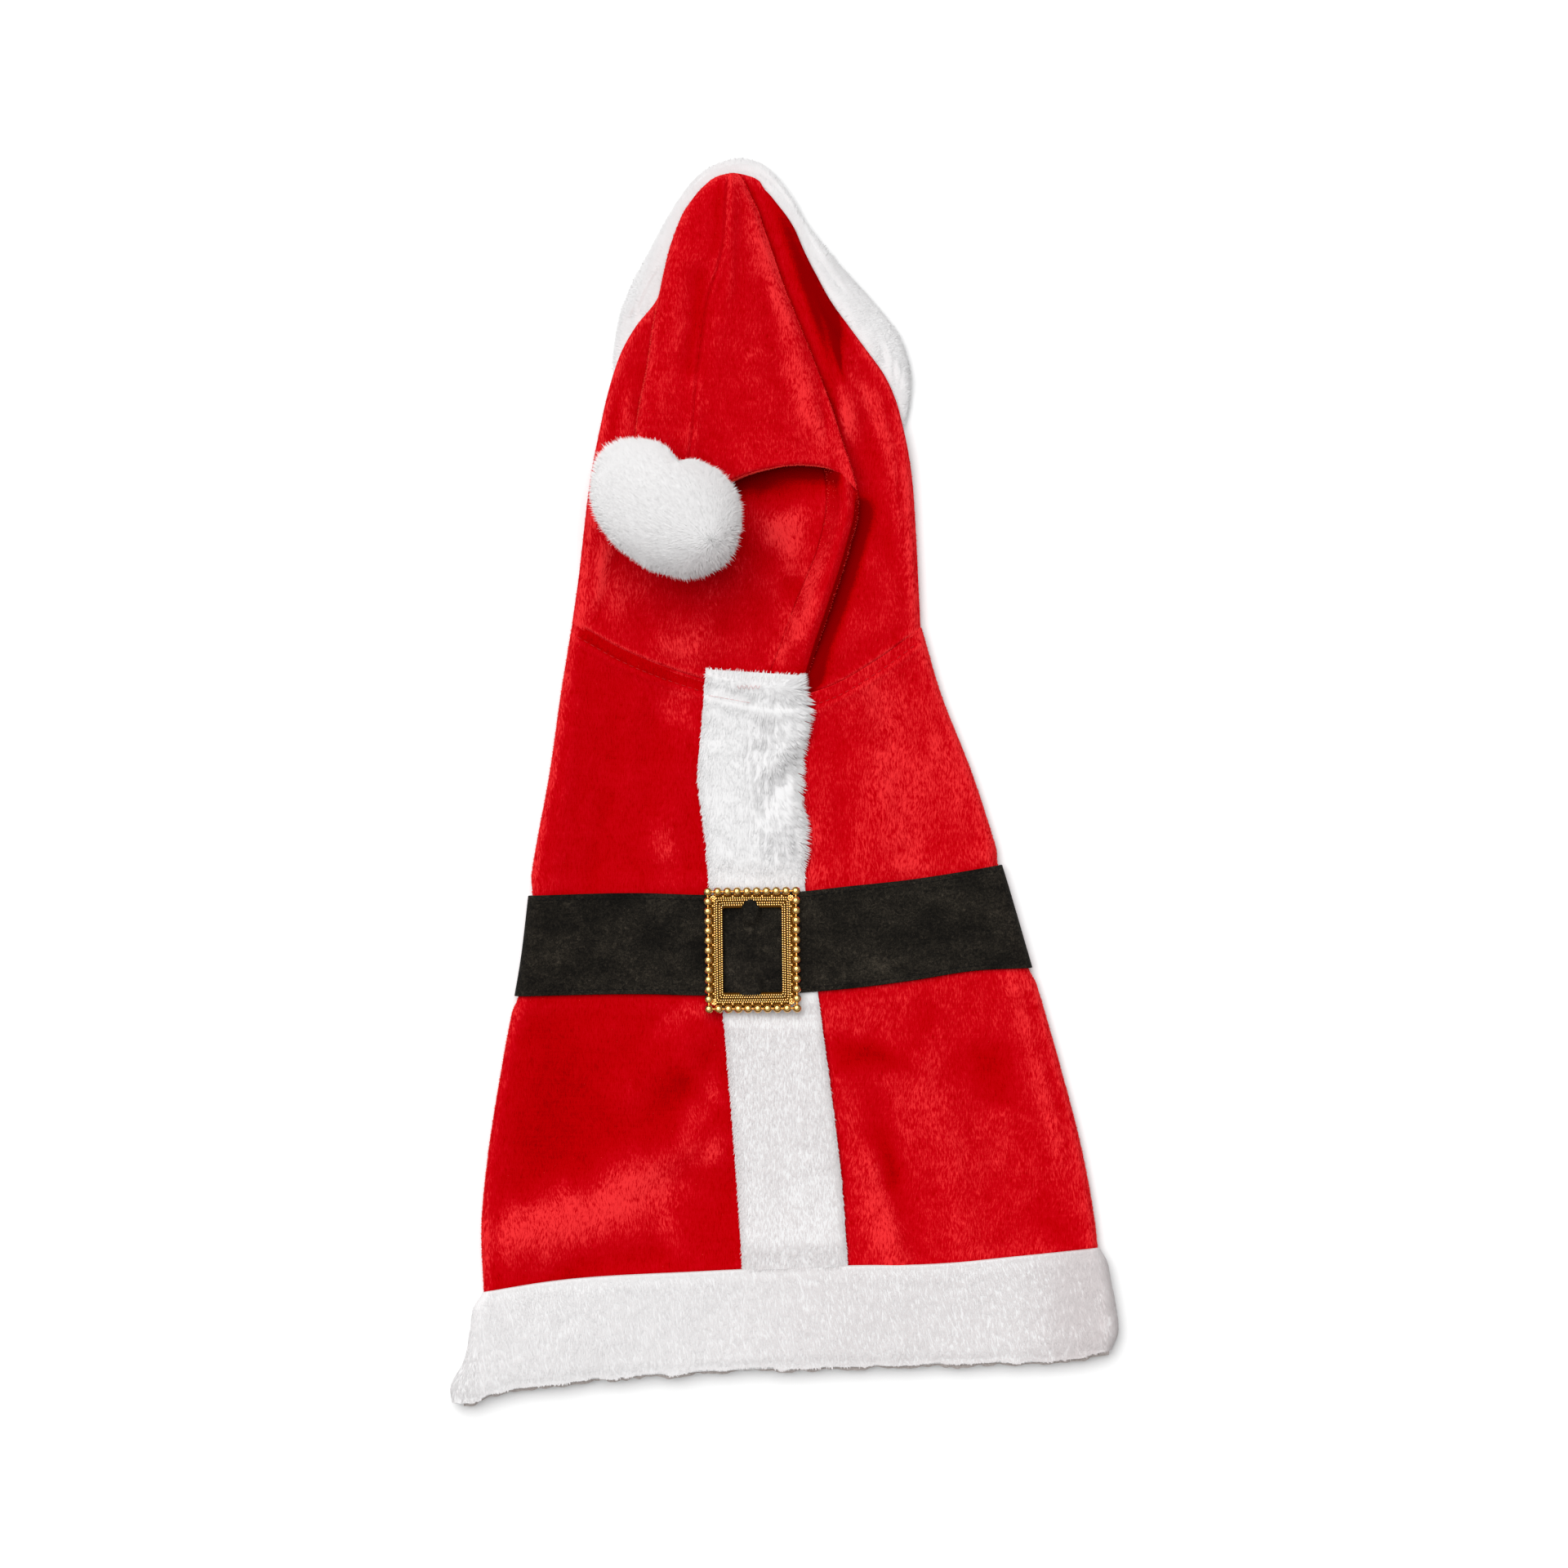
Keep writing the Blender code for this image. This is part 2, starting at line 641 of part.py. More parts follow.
def build_hood_trim(finish):
    """Fur ring round the face opening. It lies on the floor, and its outer edge shows past the hood."""
    loop = ring_loop(RING_STEPS)
    from_x, from_y = loop[:, 0] - FACE_AT[0], loop[:, 1] - FACE_AT[1]
    angle = np.arctan2(from_y / FACE_HALF[1], from_x / FACE_HALF[0])
    inner_x = FACE_AT[0] + FACE_HALF[0] * np.cos(angle)
    inner_y = FACE_AT[1] + FACE_HALF[1] * np.sin(angle)
    rows = []
    for share, height, free in RING_SECTION:
        x, y = mix(inner_x, loop[:, 0], share), mix(inner_y, loop[:, 1], share)
        past_hood = np.maximum(hood_left_edge(y) - x, x - hood_right_edge(y))
        z = RING_TOP * height + RING_FREE * free * smooth((past_hood - RING_PRESSED) / 5)
        rows.append(np.stack([x, y, z], axis=1))
    rows = np.array(rows)
    sides, count = rows.shape[:2]
    faces = []
    for i in range(sides):
        for j in range(count):
            following, beside = (i + 1) % sides, (j + 1) % count
            near, far = i * count, following * count
            faces.append((near + j, near + beside, far + beside, far + j))
    return solid_from("hood_trim", rows.reshape(-1, 3), faces, finish)


RING_EDGE = ring_loop(240)


def ring_edge_x(y, side):
    """X of the fur ring's outer edge at y, on the left (-1) or right (1), or the throat below the ring."""
    points = RING_EDGE[(RING_EDGE[:, 0] - THROAT_X) * side >= 0]
    points = points[np.argsort(points[:, 1])]
    if y < points[0, 1] - SEAM_GAP:
        return THROAT_X
    return float(np.interp(y, points[:, 1], points[:, 0]))


HOOD_ROWS = [66, 69.5, 75, 83, 92, 102, 112, 122, 131, 140, 149]
HOOD_ROWS += [158, 168, 178, 188, 199, 210, 221, 232, 242, 249]
HOOD_ARC = 5
LIP_COLUMNS = 4
LIP_GAP = 0.8
LIP_GAP_LOW = 3.4
LIP_GAP_REACH = 26.0
OPEN_EDGE_RADIUS = 2.05
OPEN_EDGE_ANGLE = 72.0
HOOD_SEAM_FADE = 62
WRAP_FROM, WRAP_OVER = 2.0, 10.0
WRAP_TOP_ROW = 165


def hood_y(row, x, under=0.0):
    """Y of a hood row at x. The lowest rows follow the neck seam, and the throat seam where under is 1."""
    base = HOOD_ROWS[0]
    seam = mix(neck_y(x) + SEAM_GAP * 0.7, throat_y(x) + SEAM_GAP, under)
    return row - (base - seam) * (1 - smooth((row - base) / HOOD_SEAM_FADE))


def lip_meet(row, side):
    """X where a hood row's lip on the floor meets the fur ring, or the throat seam below the ring."""
    x = ring_edge_x(row, side)
    for _ in range(5):
        x = ring_edge_x(float(hood_y(row, x, 1.0)), side)
    return x


def hood_side(row, side, inset):
    """Side fold of a hood row from its top, as (x, z, under) points: the arc, then the lip on the floor."""
    edge = float((hood_left_edge if side < 0 else hood_right_edge)(row))
    ring = lip_meet(row, side)
    wrap = float(smooth(((edge - ring) * side - WRAP_FROM) / WRAP_OVER)) if row < WRAP_TOP_ROW else 0.0
    top = float(edge_height(row))
    radius = mix(OPEN_EDGE_RADIUS, top / 2, wrap)
    turn = mix(OPEN_EDGE_ANGLE, 180.0, wrap)
    centre = edge - side * radius
    points = []
    for angle in np.linspace(0, turn, HOOD_ARC + 1):
        a = math.radians(angle)
        out = (radius - inset) * math.sin(a)
        z = top - radius + (radius - inset) * math.cos(a)
        points.append((centre + side * out, z, 1.0 if angle > 91 else 0.0))
    end_x, end_z, _ = points[-1]
    up_the_ring = float(smooth((row - HOOD_ROWS[0]) / LIP_GAP_REACH))
    clear = SEAM_GAP / 2 if ring == THROAT_X else mix(LIP_GAP_LOW, LIP_GAP, up_the_ring)
    lip_end = ring + side * clear
    reach = max((end_x - lip_end) * side, 0.0) if wrap > 0.98 else 0.0
    short = 0.2 * (1 - smooth(reach / 2.0))
    for k in range(1, LIP_COLUMNS + 1):
        along = mix(short, reach, 1.0 if reach > 0.2 else 0.0) * k / LIP_COLUMNS
        points.append((end_x - side * along, end_z, points[HOOD_ARC][2]))
    return points, centre


def hood_row(row, side, inset):
    """One row of a hood half, from the centre seam over the side fold to the lip's end."""
    fold, centre = hood_side(row, side, inset)
    seam = float(pleat_valley(row)) + side * SEAM_GAP / 2
    if side < 0:
        xs = list(np.linspace(seam, centre, 8))[:-1]
    else:
        room = max(centre - seam, 3.0)
        edge = min(float(pleat_edge(row)), seam + room * 0.62)
        drop = min(PLEAT_DROP / 2, room * 0.12)
        xs = list(np.linspace(seam, edge - drop, 4)) + [edge + drop]
        xs += list(np.linspace(edge + drop, centre, 5))[1:-1]
    top = hood_height if inset == 0 else (lambda x, y: hood_lie(x, y) - inset)
    points = []
    for x in xs:
        y = float(hood_y(row, x))
        points.append((x, y, float(top(x, y))))
    for x, z, under in fold:
        points.append((x, float(hood_y(row, x, under)), z))
    return points


def build_hood_half(name, side, finish):
    outer = [hood_row(row, side, 0) for row in HOOD_ROWS]
    inner = [hood_row(row, side, CLOTH) for row in HOOD_ROWS]
    return wall(name, outer, inner, finish)


CROWN_ROWS = [251.6, 248, 242, 234, 224, 212, 199, 186, 173, 160, 149, 138]
CROWN_HEM_ROWS = [0.3, 0.6, 0.85, 1.0]
CROWN_COLUMNS = 8
ARCH_LEVEL = 120.0
# The pocket that opens under the arch
POCKET_DEPTH = 26.0
POCKET_LIFT = 6.2
POCKET_LEFT = -26.0
POCKET_WIDTH = 48.0
# How far the crown stands over the hood: at the forehead and at the arch, and its thinnest walls
CROWN_STANDS = (3.4, 12.0)
CROWN_SIDES = 0.42
CROWN_WALL = 1.7
CROWN_PRESSED = 1.0


def pompom_underside(x, y):
    """Height of the pompom's lower side over (x, y), or far above everything outside its outline."""
    c, s = math.cos(POMPOM_TURN), math.sin(POMPOM_TURN)
    dx, dy = x - POMPOM_AT[0], y - POMPOM_AT[1]
    along, across = (dx * c + dy * s) / POMPOM_HALF[0], (dy * c - dx * s) / POMPOM_HALF[1]
    reach = along**2 + across**2
    if reach >= 1:
        return 1000.0
    return POMPOM_FOOT + POMPOM_HALF[2] * (1 - math.sqrt(1 - reach))


def crown_levels(x, y, down, across):
    """Lower and upper side of the folded crown at (x, y). down goes from 0 at the forehead to 1 at the
    arch, and across from 0 to 1 between its side folds."""
    under = float(hood_cover(x, y))
    into = (y - float(arch_y(x))) / POCKET_DEPTH
    span = math.sin(math.pi * min(max((x - POCKET_LEFT) / POCKET_WIDTH, 0), 1))
    lower = under + POCKET_LIFT * float(1 - smooth(into)) * span
    middle = max(math.sin(math.pi * across), 0.0) ** 0.7
    hump = mix(*CROWN_STANDS, down**0.8) * mix(CROWN_SIDES, 1.0, middle)
    upper = max(float(hood_lie(x, y)) + hump, lower + CROWN_WALL)
    return lower, max(min(upper, pompom_underside(x, y) - POMPOM_GAP), lower + CROWN_PRESSED)


def build_crown_half(name, side, finish):
    """Left or right half of the crown's upper fold, sewn along the centre. Its two layers share one solid."""
    rows = [(row, 0.0) for row in CROWN_ROWS] + [(CROWN_ROWS[-1], hem) for hem in CROWN_HEM_ROWS]
    upper_grid, lower_grid = [], []
    for k, (row, hem) in enumerate(rows):
        place = mix(row, ARCH_LEVEL, hem)
        left, right = float(crown_left_edge(place)), float(crown_right_edge(place))
        seam = float(crown_seam_x(place)) + side * SEAM_GAP / 2
        start, end = (left, seam) if side < 0 else (seam, right)
        upper_row, lower_row = [], []
        for share in np.linspace(0, 1, CROWN_COLUMNS):
            x = mix(start, end, share)
            y = mix(row, float(arch_y(x)), hem)
            lower, upper = crown_levels(x, y, k / (len(rows) - 1), (x - left) / (right - left))
            upper_row.append((x, y, upper))
            lower_row.append((x, y, lower))
        upper_grid.append(upper_row)
        lower_grid.append(lower_row)
    return wall(name, upper_grid, lower_grid, finish)


STRIP_TOP = 46.0
STRIP_TOP_SLANT = 0.065
# Rows of the strip's end that lies over the neck seam: how far down each is, and how full its pile is.
STRIP_END_ROWS = [(0.0, 0.6), (0.4, 0.9), (0.8, 1.0)]
# How full the pile is across the strip, at its six columns.
STRIP_CROWN = [0.5, 0.94, 1.0, 1.0, 0.94, 0.5]


def strip_pile(y, stage):
    """Thickness of the centre strip's pile, pressed down by the belt and the buckle and thin at its ends."""
    if 1 <= stage <= 2:
        return STRIP_PRESSED
    beyond = max(belt_bottom_y(BUCKLE_AT[0]) - y, y - belt_top_y(BUCKLE_AT[0]))
    pile = mix(STRIP_HELD, STRIP_PILE, float(smooth((beyond - STRIP_HELD_REACH) / 8)))
    return pile if stage < 2.9 else mix(pile, STRIP_AT_HEM, smooth((stage - 2.9) / 0.1))


def strip_rows():
    """Rows of the centre strip as (xs, ys, stage, underside heights). The first rows lie on the hood."""
    rows = []
    xs = np.linspace(strip_left(STRIP_TOP), strip_right(STRIP_TOP), STRIP_COLUMNS)
    top_ys = STRIP_TOP - STRIP_TOP_SLANT * (xs - xs[0])
    for share, _ in STRIP_END_ROWS:
        ys = mix(top_ys, neck_y(xs), share)
        rows.append((xs, ys, 0.0, [float(hood_height(x, y)) + LAY_GAP + 0.2 for x, y in zip(xs, ys)]))
    for stage in BODY_STAGES:
        xs = np.linspace(meet(stage, strip_left), meet(stage, strip_right), STRIP_COLUMNS)
        ys = [float(stage_y(stage, x)) for x in xs]
        rows.append((xs, ys, stage, [float(back_height(x, y)) + LAY_GAP for x, y in zip(xs, ys)]))
    return rows


def build_centre_strip(finish):
    rows = strip_rows()
    upper, lower = [], []
    for k, (xs, ys, stage, feet) in enumerate(rows):
        end = STRIP_END_ROWS[k][1] if k < len(STRIP_END_ROWS) else 1.0
        pile = [strip_pile(y, stage) * end * share for y, share in zip(ys, STRIP_CROWN)]
        upper.append([(x, y, foot + depth) for x, y, foot, depth in zip(xs, ys, feet, pile)])
        lower.append(list(zip(xs, ys, feet)))
    return wall("centre_strip", upper, lower, finish)


def belt_grid(out):
    """The belt's rows: the back panel's points moved out, and lifted over the centre strip."""
    first_strip_column = SIDE_ARC + OUTER_COLUMNS + 1
    grid = []
    for i in BELT_ROWS:
        stage = BODY_STAGES[i]
        row = back_section(stage, out)
        for column, share in enumerate(STRIP_CROWN):
            x, y, z = row[first_strip_column + column]
            row[first_strip_column + column] = (x, y, z + LAY_GAP + STRIP_PRESSED * share)
        grid.append(row)
    return grid


def build_belt(finish):
    return wall("belt", belt_grid(LAY_GAP + FELT), belt_grid(LAY_GAP), finish)


BAND_ROWS = [0, 0.04, 0.14, 0.36, 0.62, 0.86, 0.96, 1.0]
BAND_COLUMNS = 17
BAND_ROUNDING = 0.14
BAND_THIN_AT_SEAM = 0.13
BAND_THIN_AT_CUT = 0.2
BAND_RIPPLE = 0.7
BAND_RIPPLE_PACE = 19.0
BAND_ARC = 7


def band_section(v, inner):
    """One ring of the hem band at v, from 0 at the hem seam to 1 at the cut edge."""
    left, right = float(hem_left(v)), float(hem_right(v))
    at_seam = 1 - float(smooth(v / BAND_ROUNDING))
    at_cut = float(smooth((v - 1 + BAND_ROUNDING) / BAND_ROUNDING))
    fullness = 1 - BAND_THIN_AT_SEAM * at_seam - BAND_THIN_AT_CUT * at_cut
    middle = BAND_TOP / 2
    slack = middle - BAND_WALL
    half = slack if inner else slack + BAND_WALL * fullness
    side = BAND_TOP / 2
    section = [(x, middle + half) for x in np.linspace(left + side, right - side, BAND_COLUMNS)]
    for angle in np.linspace(90, -90, BAND_ARC + 2)[1:-1]:
        a = math.radians(angle)
        section.append((right - side + half * math.cos(a), middle + half * math.sin(a)))
    section += [(x, middle - half) for x in np.linspace(right - side, left + side, BAND_COLUMNS)]
    for angle in np.linspace(270, 90, BAND_ARC + 2)[1:-1]:
        a = math.radians(angle)
        section.append((left + side + half * math.cos(a), middle + half * math.sin(a)))
    points = []
    for x, z in section:
        y = mix(float(hem_seam_y(x)), float(hem_edge_y(x)), v)
        lift = 0.0
        if z > middle:
            share = math.sin(math.pi * v) * min((z - middle) / half, 1)
            lift = BAND_RIPPLE * math.sin(x / BAND_RIPPLE_PACE) * share
        points.append((x, y, z + lift))
    return points


def build_hem_band(finish):
    outer = [band_section(v, False) for v in BAND_ROWS]
    inner = [band_section(v, True) for v in BAND_ROWS]
    return wall("hem_band", outer, inner, finish, around=True)


def buckle_level():
    """Height of the buckle's underside: just clear of the belt where it crosses the centre strip."""
    return FLAT_LEVEL + LAY_GAP + STRIP_PRESSED + LAY_GAP + FELT + LAY_GAP


def rounded_rectangle(half_x, half_y, radius, corner_steps):
    """Corner points of a rectangle with round corners, anticlockwise from the right."""
    points = []
    for quarter, (sx, sy) in enumerate(((1, 1), (-1, 1), (-1, -1), (1, -1))):
        for k in range(corner_steps + 1):
            a = math.pi / 2 * (quarter + k / corner_steps)
            points.append((
                sx * (half_x - radius) + radius * math.cos(a),
                sy * (half_y - radius) + radius * math.sin(a),
            ))
    return points


def plate_ring(name, half_x, half_y, outer_x, outer_y, low, high, radius, outer_radius, finish):
    """A flat frame between two heights, from the half sizes of its window and of its outside."""
    outer = rounded_rectangle(outer_x, outer_y, outer_radius, 4)
    inner = rounded_rectangle(half_x, half_y, radius, 4)
    count = len(outer)
    points = [(x, y, z) for loop in (outer, inner) for z in (low, high) for x, y in loop]
    faces = []
    for j in range(count):
        k = (j + 1) % count
        faces.append((j, k, count + k, count + j))
        faces.append((2 * count + k, 2 * count + j, 3 * count + j, 3 * count + k))
        faces.append((count + j, count + k, 3 * count + k, 3 * count + j))
        faces.append((k, j, 2 * count + j, 2 * count + k))
    return solid_from(name, points, faces, finish)


def bead_rail(name, level, finish):
    """The row of round beads along the buckle's edge, as one tube that swells at each bead."""
    half_x, half_y = BEAD_PITCH * (BEADS_ACROSS - 1) / 2, BEAD_PITCH * (BEADS_ALONG - 1) / 2
    corners = [(half_x, half_y), (-half_x, half_y), (-half_x, -half_y), (half_x, -half_y)]
    counts = [BEADS_ACROSS - 1, BEADS_ALONG - 1, BEADS_ACROSS - 1, BEADS_ALONG - 1]
    swell = ((0.0, 1.0), (0.5, 0.6))
    sides = 6
    points = []
    for k, count in enumerate(counts):
        (x0, y0), (x1, y1) = corners[k], corners[(k + 1) % 4]
        heading = math.atan2(y1 - y0, x1 - x0)
        for bead in range(count):
            for offset, size in swell:
                t = (bead + offset) / count
                across = heading - math.pi / 2 - (math.pi / 4 if bead == 0 and offset == 0 else 0)
                for side in range(sides):
                    a = 2 * math.pi * side / sides
                    reach = BEAD_RADIUS * size * math.cos(a)
                    points.append((
                        mix(x0, x1, t) + reach * math.cos(across),
                        mix(y0, y1, t) + reach * math.sin(across),
                        level + BEAD_RADIUS * size * math.sin(a),
                    ))
    rings = len(points) // sides
    faces = []
    for i in range(rings):
        for side in range(sides):
            j, k = (i + 1) % rings, (side + 1) % sides
            faces.append((i * sides + side, i * sides + k, j * sides + k, j * sides + side))
    return solid_from(name, points, faces, finish)


def build_buckle(finish):
    """Cast buckle: a flat frame with a bead rail round its edge and a raised rail round its window."""
    foot = buckle_level()
    half_x, half_y = WINDOW[0] / 2, WINDOW[1] / 2
    plate_x, plate_y = BEAD_PITCH * (BEADS_ACROSS - 1) / 2, BEAD_PITCH * (BEADS_ALONG - 1) / 2
    plate = plate_ring("buckle", half_x, half_y, plate_x, plate_y, foot, foot + PLATE_THICK, 0.8, 0.8, finish)
    edge_x, edge_y = half_x + RAIL_INSET, half_y + RAIL_INSET
    rail = plate_ring(
        "buckle_rail", edge_x, edge_y, edge_x + RAIL_WIDTH, edge_y + RAIL_WIDTH,
        foot + RAIL_INSET, foot + PLATE_THICK + RAIL_THICK, 1.0, 1.0 + RAIL_WIDTH, finish)
    beads = bead_rail("buckle_beads", foot + BEAD_RADIUS, finish)
    for piece in (rail, beads):
        join = plate.modifiers.new(piece.name, "BOOLEAN")
        join.operation = "UNION"
        join.object = piece
        piece.hide_render = True
        piece.display_type = "WIRE"
    for piece in (plate, rail, beads):
        piece.location = (BUCKLE_AT[0] * MM, BUCKLE_AT[1] * MM, 0)
        piece.rotation_euler = (0, 0, BUCKLE_TURN)
    return plate


def build_pompom(finish):
    """Fur ball of short four-sided locks that stand apart but for their roots. It is a little longer than
    wide, with a slight dent where the crown's tip is sewn in."""
    ball = bmesh.new()
    bmesh.ops.create_cube(ball, size=2.0)
    bmesh.ops.subdivide_edges(ball, edges=ball.edges, cuts=LOCKS_PER_SIDE - 1, use_grid_fill=True)
    for point in ball.verts:
        point.co = Vector([math.tan(c * math.pi / 4) for c in point.co]).normalized() * (1 - LOCK_LENGTH)
    cells = list(ball.faces)
    bmesh.ops.inset_individual(ball, faces=cells, thickness=LOCK_GROOVE, use_even_offset=True)
    for face in cells:
        outward = face.calc_center_median().normalized()
        swirl = Vector((math.sin(9 * outward.y), math.sin(8 * outward.z), math.sin(7 * outward.x)))
        combed = (outward + LOCK_COMB + swirl * LOCK_STRAY).normalized()
        for corner in face.verts:
            drawn_in = corner.co.lerp(face.calc_center_median(), LOCK_TAPER)
            corner.co = drawn_in + combed * LOCK_LENGTH * LOCK_SHOULDER
    tips = bmesh.ops.poke(ball, faces=cells)["verts"]
    for tip in tips:
        tip.co += tip.co.normalized() * LOCK_LENGTH * (1 - LOCK_SHOULDER)
    for point in ball.verts:
        turned = math.atan2(point.co.y, point.co.x)
        dent = 1 - POMPOM_DENT * math.exp(-(((turned - POMPOM_DENT_AT) / 0.35) ** 2))
        point.co.x *= POMPOM_HALF[0] * MM * dent
        point.co.y *= POMPOM_HALF[1] * MM * dent
        point.co.z *= POMPOM_HALF[2] * MM
    bmesh.ops.recalc_face_normals(ball, faces=ball.faces)
    mesh = bpy.data.meshes.new("pompom")
    ball.to_mesh(mesh)
    ball.free()
    mesh.materials.append(finish)
    made = bpy.data.objects.new("pompom", mesh)
    bpy.context.scene.collection.objects.link(made)
    made.rotation_euler = (0, 0, POMPOM_TURN)
    made.location = (POMPOM_AT[0] * MM, POMPOM_AT[1] * MM, (POMPOM_FOOT + POMPOM_HALF[2]) * MM)
    return made


def main():
    for old in list(bpy.data.objects):
        bpy.data.objects.remove(old)
    velour = material("red velour", (0.62, 0.004, 0.008), 0.85)
    lining = material("red velour underside", (0.55, 0.004, 0.008), 0.9)
    fur = material("white fur", (0.88, 0.88, 0.87), 0.95)
    felt = material("black felt", (0.008, 0.008, 0.008), 0.9)
    gold = material("gold plating", (0.78, 0.55, 0.16), 0.2, 1.0)
    build_back_panel(velour)
    build_belly_panel(lining)
    build_hood_half("hood_left", -1, velour)
    build_hood_half("hood_right", 1, velour)
    build_crown_half("crown_left", -1, velour)
    build_crown_half("crown_right", 1, velour)
    build_hood_trim(fur)
    build_centre_strip(fur)
    build_hem_band(fur)
    build_belt(felt)
    build_buckle(gold)
    build_pompom(fur)


main()
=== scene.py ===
"""Looks of a plush dog coat that lies flat with its back up.

Every piece is a surface worked out with numpy on the formulas that shape the coat's solids, at a finer step
and with more folds. Fur is a soft core with blades of hair rooted on it, and the velour's brushed pile is a
value kept on each point of the cloth, which also carries painted highlights on rims and crests and painted
shade in creases, seams and under overhangs. Lengths are in millimetres until a mesh is made. X runs to the
right and Y towards the hood, seen from above, and the floor is z = 0.
"""

import math
from collections import namedtuple
from itertools import product

import bmesh
import bpy
import numpy as np
from bpy.props import FloatProperty, FloatVectorProperty, IntProperty, PointerProperty
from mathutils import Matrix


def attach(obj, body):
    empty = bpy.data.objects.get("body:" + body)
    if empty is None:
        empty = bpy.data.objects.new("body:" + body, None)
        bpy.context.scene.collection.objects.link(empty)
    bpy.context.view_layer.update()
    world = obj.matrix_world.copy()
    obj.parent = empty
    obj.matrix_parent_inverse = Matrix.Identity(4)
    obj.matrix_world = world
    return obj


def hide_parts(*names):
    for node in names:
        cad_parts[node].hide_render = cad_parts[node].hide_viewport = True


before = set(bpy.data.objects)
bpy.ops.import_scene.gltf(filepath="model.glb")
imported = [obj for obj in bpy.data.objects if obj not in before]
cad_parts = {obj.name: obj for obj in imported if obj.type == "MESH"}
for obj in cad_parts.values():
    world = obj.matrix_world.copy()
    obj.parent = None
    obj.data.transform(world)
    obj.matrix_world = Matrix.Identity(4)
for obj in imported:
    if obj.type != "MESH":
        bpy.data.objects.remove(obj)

bl_info = {
    "name": "Plush dog coat",
    "version": (1, 0, 0),
    "blender": (4, 5, 0),
    "location": "3D View > Sidebar > Coat",
    "description": "Makes a hooded plush dog coat with fur trim, a felt belt and a beaded buckle",
    "category": "Add Mesh",
}

MM = 0.001
UP = np.array([0.0, 0.0, 1.0])
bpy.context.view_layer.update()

# The coat's form, in the sizes that its solids are made from
SEAM_GAP = 0.3
SEWN_GAP = 0.04
BELT_PINCH = 1.5
LAY_GAP = 0.35
CROWN_GAP = 0.9
BODY_LOW = 4.8
BODY_EDGE = 6.8
NECK_TOP = 7.2
HOOD_TOP = 7.75
HEM_TOP = 7.5
EDGE_ROLL = 16.0
FLAT_LEVEL = 5.2
FLAT_REACH = 34.0
STRIP_PILE = 5.0
STRIP_PRESSED = 2.0
STRIP_HELD = 3.3
STRIP_HELD_REACH = 6.5
STRIP_AT_HEM = 3.0
BAND_WALL = 4.5
BAND_TOP = 10.8
RING_TOP = 5.2
RING_FREE = 2.4
RING_PRESSED = 3.5
BUCKLE_AT = (-13.1, -70.3)
BUCKLE_TURN = math.radians(0.6)
POMPOM_AT = (-49.3, 112.5)
POMPOM_HALF = (34.0, 26.5, 24.4)
POMPOM_TURN = math.radians(-40)
POMPOM_FOOT = 14.0
POMPOM_GAP = 0.6
POMPOM_WHORL = (0.9, 0.1, 0.0)
LEG_CENTRE_X = -12.0
LEG_APART = 84.0
LEG_Y = 16.0
LEG_HALF = (19.0, 24.0)
FACE_AT = (-14.5, 152.0)
FACE_HALF = (33.0, 66.0)
THROAT_X = -15.3

Rise = namedtuple("Rise", "start over")
Outline = namedtuple("Outline", "y left right")
Across = namedtuple("Across", "x y")
Pleat = namedtuple("Pleat", "y valley edge height")
Fold = namedtuple("Fold", "x0 y0 x1 y1 height left right")
Patch = namedtuple("Patch", "x y half_x half_y turn nap")


def table(kind, *rows):
    return [kind(*row) for row in rows]


HEM_RISE = Rise(-164, 40)
NECK_RISE = Rise(12, 46)
HOOD_RISE = Rise(38, 24)

BODY = table(
    Outline,
    (65, -88.1, 56.8), (36, -92.8, 65.3), (5, -97.2, 77.5), (-35, -104.4, 90.4), (-76, -109.5, 102.5),
    (-117, -117, 114.4), (-158, -123.4, 124.8), (-185, -125.8, 129.4), (-213, -124.8, 132))
HOOD = table(
    Outline,
    (66, -88.1, 56.8), (87, -85.3, 55.8), (107, -83, 54.7), (128, -80.2, 53), (148, -76.2, 49.3),
    (159, -73.8, 46.2), (169, -71, 41.5), (179, -67.3, 34.3), (189, -61.5, 26.9), (199, -53.5, 19.7),
    (210, -48.8, 13.6), (220, -46.4, 8.5), (230, -43.4, 4.1), (240, -37.3, -2.4), (246, -33.2, -6.8),
    (250, -29, -11))
STRIP = table(
    Outline,
    (46, -32.3, 7.5), (26, -33.7, 8.2), (2, -35.5, 5.4), (-24, -32.3, 7.8), (-44, -30.9, 8.5),
    (-68, -28.2, 11.6), (-92, -25.5, 14.3), (-127, -22.4, 19), (-165, -19.4, 23.5), (-202, -17, 26.2))
CROWN = table(
    Outline,
    (252.2, -22.5, -19.2), (251.2, -26.9, -18.3), (250, -29.6, -17.4), (248, -32.1, -16.2),
    (246, -34.3, -15.2), (243, -36.9, -13.8), (240, -39.1, -12.4), (237, -41.2, -10.9), (230, -44.4, -8.6),
    (223, -46.9, -6.1), (206, -51, -0.3), (189, -54.4, 6.5), (172, -56.8, 13.3), (155, -60.2, 19.7),
    (138, -61.9, 25), (120, -62, 30.3))
HEM_SIDES = table(
    Outline,
    (0, -126.2, 132.3), (0.1, -128.9, 134.2), (0.33, -130.9, 136.3), (0.6, -133.3, 138.4),
    (0.85, -138.9, 139.2), (1, -139.3, 137.6))
NECK_SEAM = table(
    Across,
    (-88.1, 66), (-68, 54.7), (-33.3, 41.8), (-11.9, 36), (15.3, 37.4), (40.8, 51.3), (56.8, 63.2))
THROAT_SEAM = table(
    Across,
    (-88.1, 66), (-52, 57), (-15.3, 53.5), (21, 56.5), (56.8, 63.2))
